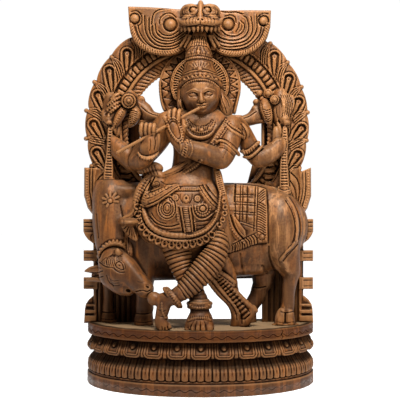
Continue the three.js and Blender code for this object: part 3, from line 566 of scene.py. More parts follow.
def plinth_mesh():
    fx, fy, cum = plan_front()
    half = cum[-1] / 2
    reach = half + BACK - MID
    ns = 440
    s = np.linspace(-reach, reach, ns)
    x = np.interp(s + half, cum, fx)
    y = np.interp(s + half, cum, fy)
    side = np.abs(s) > half
    x = np.where(side, np.sign(s) * HALF, x)
    y = np.where(side, MID + np.abs(s) - half, y)
    gx = np.sign(x) * (np.abs(x) / HALF) ** (CURVE - 1) / HALF
    gy = -(np.clip((MID - y) / DEEP, 0, None) ** (CURVE - 1)) / DEEP
    gl = np.hypot(gx, gy)
    nx, ny = gx / gl, gy / gl
    sec = [(0.0, 1.2), (1.5, 0.0), (26, 0.4), (27.2, 1.6), (28.6, 3.6), (33.0, 3.8), (34.2, 1.2), (44, 0.6), (55, 1.6),
           (62, 6), (68, 12), (76, 18), (80, 21), (83.6, 22), (84.4, 4.0), (90, 1.0), (97, 1.6), (104, 6.5), (110, 10.5), (116, 13.5),
           (120.4, 15.5), (121.4, 16), (121.9, 2.4), (123.5, 1.4), (141.5, 1.2), (142.6, 2.0), (147, 2.2), (149.0, 4.2)]
    zs = np.concatenate([np.linspace(0, 33, 24), np.linspace(33.6, 83, 40), np.linspace(83.5, 121.6, 36), np.linspace(121.8, 149, 24)])
    base = np.interp(zs, [p[0] for p in sec], [p[1] for p in sec])
    Sg, Zg = np.meshgrid(s, zs, indexing="ij")
    rel = np.zeros_like(Sg)
    # lower bowl: flutes with a fine middle line, scalloped at the foot
    fl = PITCH / 3.0
    ph = np.mod(Sg / fl + 0.5 + 0.05 * np.sin(Sg * 0.031), 1.0)
    edge = np.abs(ph - 0.5) * 2
    zone = smooth(Zg, 34.0, 35.2) * (1 - smooth(Zg, 78, 82))
    rel -= zone * (3.0 * smooth(edge, 0.66, 1.0) + 0.8 * edge ** 2 + 1.7 * np.exp(-((ph - 0.5) / 0.10) ** 2) * smooth(Zg, 42, 52)
                   + 0.8 * np.exp(-((edge - 0.45) / 0.09) ** 2) * smooth(Zg, 50, 62))
    foot = 34.4 + 4.2 * edge ** 3
    rel -= (Zg > 33.5) * (1 - smooth(Zg, foot - 0.2, foot + 1.2)) * 4.0
    # upper bowl: petals with nested ridges and a boss, double reeds between
    pp = Sg / PITCH
    k = np.round(pp)
    X = (pp - k) * PITCH
    rnd = np.sin(k * 12.9898) * 43758.5453
    rnd = rnd - np.floor(rnd)
    X = X + (rnd - 0.5) * 1.2
    hw, rc = 22.6, 12.0
    qx = np.maximum(np.abs(X) - (hw - rc), 0)
    qz = np.maximum((83.6 + rc) - Zg, 0)
    d = np.hypot(qx, qz) - rc
    d = np.where((qx == 0) & (qz == 0), np.maximum(np.abs(X) - hw, (83.6) - Zg), d)
    zone = smooth(Zg, 83.4, 83.9) * (1 - smooth(Zg, 120.8, 121.6))
    petal = -6.0 * smooth(d, -1.0, 1.2)
    petal += 1.6 * (1 - smooth(-d, 0, 5.0)) * (d < 0)
    petal -= 2.0 * np.exp(-((d + 5.6) / 0.95) ** 2)
    petal += 1.0 * np.exp(-((d + 7.8) / 1.3) ** 2)
    petal -= 1.8 * np.exp(-((d + 10.2) / 0.95) ** 2)
    petal -= 2.2 * smooth(-d, 9.5, 13)
    bz = 108.5
    rb = np.hypot(X / 6.2, (Zg - bz) / 6.0)
    petal += 3.8 * np.sqrt(np.clip(1 - rb ** 3, 0, 1))
    arc = np.hypot(X, Zg - bz)
    petal -= 3.0 * np.exp(-((arc - 7.6) / 1.3) ** 2) * smooth(-(Zg - bz), -1.0, 4.0)
    reed = np.abs(np.abs(X) - 27.35)
    rd = -1.0 - 3.0 * smooth(reed, 2.6, 4.4) + 2.2 * np.sqrt(np.clip(1 - ((reed - 1.7) / 1.9) ** 2, 0, 1))
    rd -= 6 * (1 - smooth(Zg, 84.5, 87.0))
    petal = np.where(d > 0.6, np.maximum(petal - 1.5, rd - 1.2), petal)
    rel += zone * petal
    # wave lines on the plates
    wob = 0.35 * np.sin(Sg * 0.11 + 1.0) + 0.3 * np.sin(Sg * 0.047)
    wave = 133.0 + 3.0 * np.sin(2 * math.pi * Sg / 27.6) + wob
    rel -= 1.5 * np.exp(-((Zg - wave) / 0.95) ** 2)
    rel += 0.6 * np.exp(-((Zg - wave - 2.0) / 1.0) ** 2)
    wave = 13.0 + 2.6 * np.sin(2 * math.pi * Sg / 25.5 + 0.8) - wob
    fade = 0.45 + 0.55 * (0.5 + 0.5 * np.sin(Sg * 0.013 + 2.0))
    rel -= 1.2 * fade * np.exp(-((Zg - wave) / 0.95) ** 2)
    # hand-cut unevenness
    rel += 0.5 * np.sin(Sg * 0.061 + 0.4) * np.sin(Zg * 0.11) + 0.35 * np.sin(Sg * 0.17 + Zg * 0.05)
    # dark drying crack on the right of the upper plate
    rel -= 2.2 * np.exp(-((Sg - 198 - 2.5 * np.sin(Zg * 0.5)) / 1.5) ** 2) * smooth(Zg, 122, 126) * (1 - smooth(Zg, 140, 146))
    inset = base[None, :] - rel
    edge_s = smooth(reach - np.abs(s), 0, 4.0)[:, None]
    inset = base[None, :] * (1 - edge_s) + inset * edge_s
    VX = x[:, None] - nx[:, None] * inset
    VY = y[:, None] - ny[:, None] * inset
    VY = np.minimum(VY, BACK)
    VY[0, :] = BACK
    VY[-1, :] = BACK
    nz = len(zs)
    verts = np.stack([VX, VY, np.broadcast_to(zs[None, :], VX.shape)], -1)
    nb = 44
    tb = np.linspace(0, 1, nb + 2)[1:-1]
    backv = verts[-1][None] * (1 - tb[:, None, None]) + verts[0][None] * tb[:, None, None]
    uneven = 0.6 * np.sin(backv[..., 0] * 0.05 + backv[..., 2] * 0.09) + 0.5 * np.sin(backv[..., 0] * 0.021 - backv[..., 2] * 0.04)
    backv[..., 1] = BACK - 0.8 - 0.6 * (uneven + 1.1)
    allv = np.concatenate([verts, backv], 0)
    n = len(allv)
    idx = np.arange(n * nz).reshape(n, nz)
    a = idx
    b = np.roll(idx, -1, 0)
    quads = np.stack([a[:, :-1], b[:, :-1], b[:, 1:], a[:, 1:]], -1).reshape(-1, 4)
    pts = [allv.reshape(-1, 3)]
    faces = [quads]
    count = n * nz
    # top and underside: rings shrinking to a line
    for end, z0, rings in ((nz - 1, 149.0, 13), (0, 0.0, 2)):
        rim = allv[:, end]
        prev = idx[:, end]
        for r in range(1, rings + 1):
            f = 1 - r / (rings + 0.001)
            q = rim.copy()
            q[:, 0] = rim[:, 0] * f
            q[:, 1] = MID - 10 + (rim[:, 1] - MID + 10) * f
            if z0 > 100:
                q[:, 2] = (z0 + 0.9 * np.sin(q[:, 0] * 0.045 + 1.3) * np.sin(q[:, 1] * 0.06)
                           + 0.5 * np.sin(q[:, 0] * 0.13 + q[:, 1] * 0.09) - 0.6)
            cur = np.arange(count, count + n)
            pts.append(q)
            count += n
            if z0 > 100:
                faces.append(np.stack([prev, np.roll(prev, -1), np.roll(cur, -1), cur], -1))
            else:
                faces.append(np.stack([cur, np.roll(cur, -1), np.roll(prev, -1), prev], -1))
            prev = cur
        mid = np.array([[0, MID - 10, z0 - (0.6 if z0 > 100 else 0)]])
        pts.append(mid)
        if z0 > 100:
            tri = np.stack([prev, np.roll(prev, -1), np.full(n, count), np.full(n, count)], -1)
        else:
            tri = np.stack([np.full(n, count), np.roll(prev, -1), prev, prev], -1)
        faces.append(tri)
        count += 1
    # ridge and recess measure from the relief itself
    out = rel - base[None, :]

    def soft(a, r):
        k = np.ones(2 * r + 1) / (2 * r + 1)
        a = np.apply_along_axis(lambda q: np.convolve(np.pad(q, r, mode="edge"), k, "valid"), 0, a)
        return np.apply_along_axis(lambda q: np.convolve(np.pad(q, r, mode="edge"), k, "valid"), 1, a)

    e1, e2 = out - soft(out, 2), out - soft(out, 6)
    edge = np.clip(e1 / 1.3, -1, 1) * 0.6 + np.clip(e2 / 3.0, -1, 1) * 0.4
    carved = np.clip(soft(np.abs(e2), 5) * 0.9, 0, 1)
    fill = np.full(count - n * nz, 0.0)
    flat = np.zeros((nb, nz))
    edge = np.concatenate([np.concatenate([edge, flat]).ravel(), fill])
    carved = np.concatenate([np.concatenate([carved, flat]).ravel(), fill])
    return np.concatenate(pts), np.concatenate(faces), edge, carved


# ------------------------------------------------------------------ arch and pillars
def circle(u, v, r, a0, a1, n):
    """Points on a circle; 0 is straight up, turning towards +u."""
    a = np.radians(np.linspace(a0, a1, n))
    return np.stack([u + r * np.sin(a), v - r * np.cos(a)], 1)


def flame_lobe(b, h, t, r0=2.9):
    """A flame lobe: fat rolled rim, crescent hollow, and a leaf inside running to its tail t."""
    h = np.array(h, float)
    t = np.array(t, float)
    ax = (t - h) / np.linalg.norm(t - h)
    pr = np.array([-ax[1], ax[0]])
    ln = np.linalg.norm(t - h)

    def ushape(r, tail, squeeze, reach=1.1):
        pts = []
        for a in np.linspace(-reach, reach, 9):
            ang = a * math.pi / 2
            pts.append(h - ax * r * math.cos(ang) + pr * r * math.sin(ang))
        left, right = pts[0], pts[-1]
        end_l = h + ax * ln * tail + pr * (-r * squeeze)
        end_r = h + ax * ln * tail + pr * (r * squeeze)
        mid_l = (left + end_l) / 2 - pr * r * 0.12
        mid_r = (right + end_r) / 2 + pr * r * 0.12
        return np.array([end_l, mid_l] + pts + [mid_r, end_r])

    b.stroke(ushape(r0 * 2.45, 1.05, 0.70), 2.0, -1.5, mode="add")
    b.stroke(ushape(r0 * 1.86, 1.10, 0.52), 3.6, 2.6, mode="add")
    b.stroke(ushape(r0 * 1.22, 1.0, 0.32, 1.25), 3.0, -6.0, mode="add", taper=[0.3, 0.6, 0.95, 1.05, 1.05, 0.95, 0.6, 0.3])
    # leaf island, its head under the hollow
    q = spline([h + ax * 0.8, h + ax * ln * 0.45 + pr * 0.5, h + ax * ln * 0.95], 5)
    b.stroke(q, 3.6, 1.8, mode="add", smoothn=1, taper=[1.1, 0.9, 0.5])
    b.stroke(q[3:], 0.9, -1.6, mode="add", smoothn=1)
    c0 = h - ax * 0.4
    b.dot(c0[0], c0[1], r0 * 0.72, -4.5, mode="add")


def knob(b, p0, p1, p2, w=3.1, hgt=5.0):
    """Flame strands between two lobes: four ridges swept out to a rolled tip on the rim."""
    pts = spline([p0, p1, p2], 6)
    t = np.gradient(pts, axis=0)
    nrm = np.stack([-t[:, 1], t[:, 0]], 1) / np.hypot(t[:, 0], t[:, 1])[:, None]
    f = np.linspace(0, 1, len(pts))
    gap = (0.55 + 1.75 * np.sin(np.clip(f * 1.35, 0, 1) * math.pi * 0.62))[:, None]
    b.stroke(pts, w * 2.6, -1.2, mode="add", smoothn=1, taper=[0.6, 1.0, 1.0])
    for k in (-1.5, -0.5, 0.5, 1.5):
        b.stroke(pts + nrm * gap * k, 2.0, 2.9, mode="add", smoothn=1, taper=[0.9, 1.0, 0.8])
    for k in (-2.0, -1.0, 0.0, 1.0, 2.0):
        b.stroke(pts[1:] + (nrm * gap * k)[1:], 0.9, -2.2, mode="add", smoothn=1)
    b.dot(p0[0], p0[1], w * 0.62, hgt + 2.0, base=1.0)


LOBES_L = [((127.0, 53.5), (126.6, 73)), ((109.3, 71.2), (112.0, 92)), ((98.0, 95.5), (105.5, 113)),
           ((93.6, 124.5), (102.0, 139)), ((96.8, 153.0), (105.5, 168))]
LOBES_R = [((274.6, 56.5), (274.2, 76)), ((289.0, 78.8), (284.6, 96)), ((298.6, 102.0), (292.2, 116)),
           ((301.6, 128.6), (292.6, 140)), ((297.6, 155.0), (289.0, 168))]
KNOBS_L = [((111.6, 57.0), (118.5, 66.0), (122.0, 78.0)), ((94.4, 82.0), (103.0, 90.0), (108.0, 99.0)),
           ((86.2, 110.6), (95.5, 112.0), (104.0, 118.0)), ((86.0, 138.6), (94.0, 139.4), (104.0, 141.6)),
           ((91.5, 166.0), (97.0, 166.5), (104.0, 171.0)), ((132.5, 40.0), (139.0, 47.0), (139.0, 58.0))]
KNOBS_R = [((270.3, 43.5), (265.5, 52.0), (264.5, 64.0)), ((287.6, 62.4), (280.5, 70.0), (278.0, 81.0)),
           ((301.6, 87.0), (294.0, 92.5), (289.0, 101.0)), ((307.6, 112.4), (300.0, 115.0), (293.5, 120.5)),
           ((306.6, 140.4), (299.0, 141.6), (289.5, 147.0)), ((299.5, 168.0), (294.0, 168.0), (288.5, 172.5))]
ARCH_Y = 52.0


def arch_board():
    b = Board()
    cu, cv = 197.5, 128.0
    U, V = b.u[:, None], b.v[None, :]
    r = np.hypot(U - cu, V - cv)
    ang = np.degrees(np.arctan2(U - cu, -(V - cv)))
    up = (np.abs(ang) < 140)
    # lobed outer field stands a little proud and rolls off at the rim
    rim = np.hypot(U - 197.1, V - 125.5)
    h = np.where((r > 93) & up, 2.5 + 2.5 * smooth(112.5 - rim, 0, 6) + 2.0 * np.sin(np.clip((r - 93) / 19, 0, 1) * math.pi), 0)
    # ribs and the band of blocks between them
    h = np.where((r > 90.6) & (r < 93.2) & up, 4.2 * np.sqrt(np.clip(1 - ((r - 91.9) / 1.35) ** 2, 0, 1)) + 1, h)
    h = np.where((r > 75.6) & (r < 79.4) & up, 5.2 * np.sqrt(np.clip(1 - ((r - 77.5) / 1.95) ** 2, 0, 1)) + 1, h)
    band = (r >= 79.4) & (r <= 90.6) & up
    ph = np.mod(np.abs(ang) / 3.75 + 0.1, 1.0)
    e = np.abs(ph - 0.5) * 2
    left = U < cu
    e2 = np.abs(np.mod(np.abs(ang) / 3.75 + 0.1 + (r - 85) * 0.018, 1.0) - 0.5) * 2
    blk = 5.6 * np.sqrt(np.clip(1 - (e2 / 0.86) ** 4 - (np.abs(r - 84.2) / 4.4) ** 3, 0, 1)) - 2.2 + 1.2 * np.exp(-((r - 81.6) / 1.2) ** 2)
    bead = 5.4 * np.sqrt(np.clip(1 - (e2 / 0.84) ** 2.4 - (np.abs(r - 85) / 4.6) ** 2.4, 0, 1)) - 2.0
    h = np.where(band, np.where(left, blk, bead), h)
    # serrated leaf fringe towards the opening
    fr = (r < 75.6) & (r > 66) & up
    ph = np.mod(np.abs(ang) / 3.3 + (75.6 - r) * 0.13, 1.0)
    leaf = (1.4 + 3.6 * smooth(75.6 - r, 0.5, 6.0)) * np.sqrt(np.clip(1 - ((ph - 0.42) / 0.58) ** 2, 0, 1)) - 3.6 * smooth(75.6 - r, 0.5, 8.0) + 1.2
    h = np.where(fr, leaf, h)
    b.h = h.astype(np.float32)
    for hh, tt in LOBES_L + LOBES_R:
        flame_lobe(b, hh, tt)
    for a, m, c in KNOBS_L + KNOBS_R:
        knob(b, a, m, c)
    # side leaves with a beaded border and nested curls
    for s in (-1, 1):
        q = (lambda L: [(u if s > 0 else 395.2 - u, v) for u, v in L])
        b.fill(q([(289, 168), (311, 167), (311.2, 196), (307.5, 208), (301.5, 216), (296, 216), (289, 200)]), 9.0, edge=0.8)
        b.stroke(q([(305.2, 168), (305.4, 192), (302, 206), (297.5, 214)]), 1.4, -3.0, mode="add")
        b.beads(q([(308.2, 170), (308.4, 194), (305, 207), (300, 214)]), 1.25, 2.6, pitch=2.7, base=9.0)
        b.stroke(q([(302.6, 169), (303.0, 190), (299.8, 204), (296.5, 212)]), 1.2, -2.4, mode="add")
        b.stroke(q([(291, 173), (297.5, 180), (299.5, 192), (297, 205)]), 1.5, -3.4, mode="add")
        b.stroke(q([(290, 181), (294.5, 188), (296, 198), (294.5, 208)]), 1.3, -2.6, mode="add")
        b.stroke(q([(289.6, 190), (292.5, 196), (293, 205)]), 1.2, -2.2, mode="add")
        b.stroke(q([(299.6, 169), (301.0, 184), (299.0, 196)]), 1.1, 1.6, mode="add")
        # stacked blocks on the pillar beside the cow's back
        for i in range(4):
            v0 = 162 + i * 6.4
            b.fill(q([(264.5, v0), (275, v0 - 0.6), (275, v0 + 4.2), (264.0, v0 + 4.8)]), 5.5, edge=0.7)
            b.stroke(q([(265.5, v0 + 1.2), (274, v0 + 0.8)]), 0.9, -1.5, mode="add")
        b.stroke(q([(261.8, 150), (257, 170), (252.5, 184)]), 1.6, 2.5, mode="add")
        # pillar shafts below: upright reeds
        for i, u in enumerate((266.5, 272.0, 277.5, 290.0, 295.5, 300.2)):
            b.stroke(q([(u, 246), (u, 322)]), 3.4, 3.0, mode="max", base=1.0)
            b.stroke(q([(u + 2.2, 246), (u + 2.2, 322)]), 0.9, -2.0, mode="add")
        # base moulding of the pillar
        b.fill(q([(299, 303.5), (313.5, 303.5), (313.5, 306.5), (299, 306.5)]), 5.5, edge=0.6)
        b.fill(q([(299, 309.5), (313.5, 309.5), (313.5, 313.5), (299, 313.5)]), 6.0, edge=0.6)
        b.fill(q([(299, 315.5), (313.5, 315.5), (313.5, 322), (299, 322)]), 7.0, edge=0.6)
    return b


def build_arch(h):
    c = Clay((-287, 26, 140), (287, 106.5, 900), h)
    b = Board()
    U, V = b.u[:, None], b.v[None, :]
    # outline: scalloped circle
    ang = np.degrees(np.arctan2(U - 197.1, -(V - 125.5)))
    r = np.hypot(U - 197.1, V - 125.5)
    lob = np.zeros_like(r)
    for (hh, _), s in [(x, -1) for x in LOBES_L] + [(x, 1) for x in LOBES_R]:
        a0 = math.degrees(math.atan2(hh[0] - 197.1, -(hh[1] - 125.5)))
        lob = np.maximum(lob, np.clip(1 - ((ang - a0) / 7.9) ** 2, 0, 1) ** 0.5)
    d = r - (109.0 + 3.0 * lob)
    for a, _, _ in KNOBS_L + KNOBS_R:
        d = np.minimum(d, np.hypot(U - a[0], V - a[1]) - 2.3)
    upper = d
    body = poly_sd([(93.6, 150), (300, 150), (303.2, 216), (303.2, 323), (93.6, 323), (93.2, 216)], U, V)
    lower = poly_sd([(84.2, 167.5), (300, 172), (311, 167.5), (311.2, 196), (307.5, 208), (301.5, 217), (94.5, 217), (87.6, 208), (84.0, 196)], U, V)
    d = np.where(V < 160, upper, np.minimum(np.minimum(upper, body), lower))
    d = np.minimum(d, np.minimum(body, lower))
    for s in (-1, 1):
        m = (lambda L: [(u if s > 0 else 397.4 - u, v) for u, v in L])
        for poly in ([(296, 219), (313.2, 219), (313.2, 231.5), (311.5, 235.5), (308.6, 239.5), (304.0, 243.0), (296, 243.5)],
                     [(296, 250.2), (313, 250.2), (313, 261), (296, 261)],
                     [(296, 277.2), (313, 277.2), (313, 289), (296, 289)],
                     [(296, 296), (304.5, 296), (308.5, 299.5), (311.6, 304), (312.6, 309), (313.4, 323), (296, 323)]):
            d = np.minimum(d, poly_sd(m(poly), U, V))
    b.h = d.astype(np.float32)
    # openings: inside the arch, and under the cow
    hole = np.hypot(U - 197.8, V - 136) - 70.2
    serr = 0.9 * np.abs(np.mod(np.degrees(np.arctan2(U - 197.8, -(V - 136))) / 3.3, 1.0) - 0.5) * 2
    hole = hole + serr
    hole = np.maximum(hole, V - 186.5)
    hole = np.minimum(hole, np.maximum(np.hypot(U - 250, V - 160) - 12, V - 186.5))
    under = poly_sd([(139.0, 280), (261.8, 276), (261.8, 330), (139.0, 330)], U, V)
    hb = Board()
    hb.h = np.maximum(b.h, -np.minimum(hole, under)).astype(np.float32)
    rel = arch_board()
    # the same rim and lobes carved in the front of the slab
    c.sheet(hb, ARCH_Y, 104.0, relief=rel, round_=3.0)
    # side blocks stand proud of the pillars, with a lip line
    for s in (-1, 1):
        m = (lambda L: [(u if s > 0 else 396.6 - u, v) for u, v in L])
        c.slab(m([(299, 219), (313.2, 219), (313.2, 231.5), (311.5, 235.5), (308.6, 239.5), (304.0, 243.0), (299, 243.5)]), 44, 100, round_=2)
        c.slab(m([(299, 250.2), (313, 250.2), (313, 261), (299, 261)]), 44, 100, round_=2)
        c.slab(m([(299, 277.2), (313, 277.2), (313, 289), (299, 289)]), 44, 100, round_=2)
    # deep set back walls inside the arch, left in shadow
    c.slab([(121, 121), (139.6, 121), (140.2, 146), (134, 150), (121, 150)], 84, 104, k=3)
    c.slab([(262.2, 116), (277, 116), (277, 152), (262.6, 148)], 84, 104, k=3)
    c.slab([(253.4, 160), (262, 152), (276, 150), (276, 188), (247.4, 188), (247.6, 182)], 70, 104, k=3)
    c.slab([(140, 176), (147.6, 172), (150, 188), (140, 188)], 74, 104, k=3)
    # plain web behind the cow
    c.slab([(134, 183), (266, 183.5), (266, 278), (134, 280.5)], 66, 98, k=6)
    # groove lines on the blocks
    g = Board()
    for s in (-1, 1):
        m = (lambda L: [(u if s > 0 else 396.6 - u, v) for u, v in L])
        for v in (222.5, 226.5, 230.2):
            g.stroke(m([(303.5, v), (313.5, v)]), 1.2, -2.4, mode="add")
        g.stroke(m([(303.5, 231.8), (312, 231.8)]), 1.2, -2.4, mode="add")
        g.stroke(m([(304.2, 234), (306, 237.2), (305, 241)]), 1.0, -1.6, mode="add")
        for v in (253.2, 258.0, 280.2, 286.0):
            g.stroke(m([(303.5, v), (313.5, v)]), 1.0, -1.7, mode="add")
    c.carve(g, y_hi=50)
    return c


# ------------------------------------------------------------------ crest
def crest_board():
    b = Board(u0=120, v0=-4, u1=280, v1=70)
    U, V = b.u[:, None], b.v[None, :]
    # the wings swell towards their balls
    for cu, cv in ((165, 26), (232, 26)):
        b.h += (7.0 * np.exp(-(((U - cu) / 17) ** 2 + ((V - cv) / 17) ** 2))).astype(np.float32)
    rimL = [(130.8, 25.0), (132.5, 31), (136.5, 39.5), (142.8, 46.0), (151.5, 50.6), (161.5, 52.6), (171, 52.2), (179, 49.4), (184.5, 45.0), (189.5, 37.5)]
    rimR = [(268.0, 24.5), (266.2, 33), (262.0, 41.0), (254.5, 48.0), (244.5, 52.6), (233, 53.6), (222.5, 51.5), (215.5, 46.5), (209.5, 39.0)]
    b.rope(rimL, 5.6, 5.5, 2.55, slant=1.15, base=1.0, depth=0.75)
    b.rope(rimR, 5.6, 5.5, 2.55, slant=-1.15, base=1.0, depth=0.75)
    gl = [
        [(155.2, 24.5), (156.8, 33.4), (163.5, 38.2), (174, 37.8), (183.3, 31.4)],
        [(152.0, 26.0), (153.2, 35.0), (161.0, 40.4), (173, 40.6), (184.5, 33.2)],
        [(149.0, 18.0), (149.8, 33.0), (158.2, 42.4), (171, 43.6), (185.8, 35.2)],
        [(144.6, 16.0), (146.0, 33.0), (155.0, 44.6), (169, 46.8), (180, 43.2), (187.8, 36.6)],
        [(137.6, 24.5), (140.8, 34.7), (148.8, 44.6), (160.8, 49.4), (176.0, 47.6), (189.4, 36.6)],
        [(151.6, 24.0), (153.6, 14.0), (160.0, 9.6), (170.0, 8.6)],
        [(159.6, 23.6), (160.4, 18.0), (165.4, 13.8), (171.5, 13.8), (176.2, 17.6)],
        [(158.8, 31.0), (163.4, 35.0), (171.5, 35.4), (178.2, 31.0)],
    ]
    for i, g in enumerate(gl):
        b.stroke(g, 1.2, -2.7, mode="add")
        q = spline(g, 4)
        n = np.gradient(q, axis=0)
        n = np.stack([-n[:, 1], n[:, 0]], 1) / np.maximum(np.hypot(n[:, 0], n[:, 1])[:, None], 1e-6)
        b.stroke(q + n * 1.15, 1.5, 1.5, mode="add", smoothn=1)
    gr = [
        [(221.0, 30.4), (227.0, 35.2), (236.3, 36.0), (243.0, 31.4), (244.4, 25.0), (240.6, 20.8)],
        [(214.5, 32.6), (221.0, 38.0), (233.0, 40.4), (244.0, 37.0), (248.6, 29.0), (247.0, 19.0), (243.5, 16)],
        [(212.0, 34.4), (219.6, 41.0), (232.2, 43.8), (245.8, 40.4), (252.4, 31.0), (251.0, 17.0)],
        [(210.8, 36.2), (218.0, 44.0), (230.0, 47.0), (246.8, 43.4), (256.4, 31.0), (256.6, 15.0)],
        [(210.6, 38.6), (217.6, 46.6), (230.0, 49.8), (246.8, 47.0), (258.4, 36.4), (261.4, 27.0)],
        [(236.0, 22.4), (235.0, 17.4), (230.4, 15.0), (225.0, 16.4)],
        [(239.4, 23.0), (238.6, 27.4), (236.0, 31.8)],
        [(217, 10.6), (228, 12.4), (236, 12.0), (243, 14)],
    ]
    for g in gr:
        b.stroke(g, 1.2, -2.7, mode="add")
        q = spline(g, 4)
        n = np.gradient(q, axis=0)
        n = np.stack([n[:, 1], -n[:, 0]], 1) / np.maximum(np.hypot(n[:, 0], n[:, 1])[:, None], 1e-6)
        b.stroke(q + n * 1.15, 1.5, 1.5, mode="add", smoothn=1)
    # balls and corner volutes
    for u, v, r, hgt in ((170.3, 24.6, 5.6, 10), (228.2, 24.2, 5.2, 9.5), (134.6, 18.6, 4.2, 6), (263.6, 20.8, 4.0, 6)):
        b.stroke(circle(u, v, r + 1.1, 0, 350, 20), 1.6, -3.5, mode="add", closed=True, smoothn=1)
        b.dot(u, v, r, hgt, base=float(b.at(np.array([u]), np.array([v]))[0, 0]) * 0.6)
    b.stroke([(138.6, 12.2), (141.6, 16.4), (141.4, 22.4), (138.4, 25.8)], 1.3, -3.0, mode="add")
    b.stroke([(131.4, 11.6), (136.2, 10.8), (141.6, 13.8)], 1.2, -2.0, mode="add")
    b.stroke([(259.8, 15.0), (256.8, 19.0), (257.4, 24.0)], 1.3, -3.0, mode="add")
    b.stroke([(268.0, 13.8), (263.4, 13.4), (258.8, 16.2)], 1.2, -2.0, mode="add")
    return b


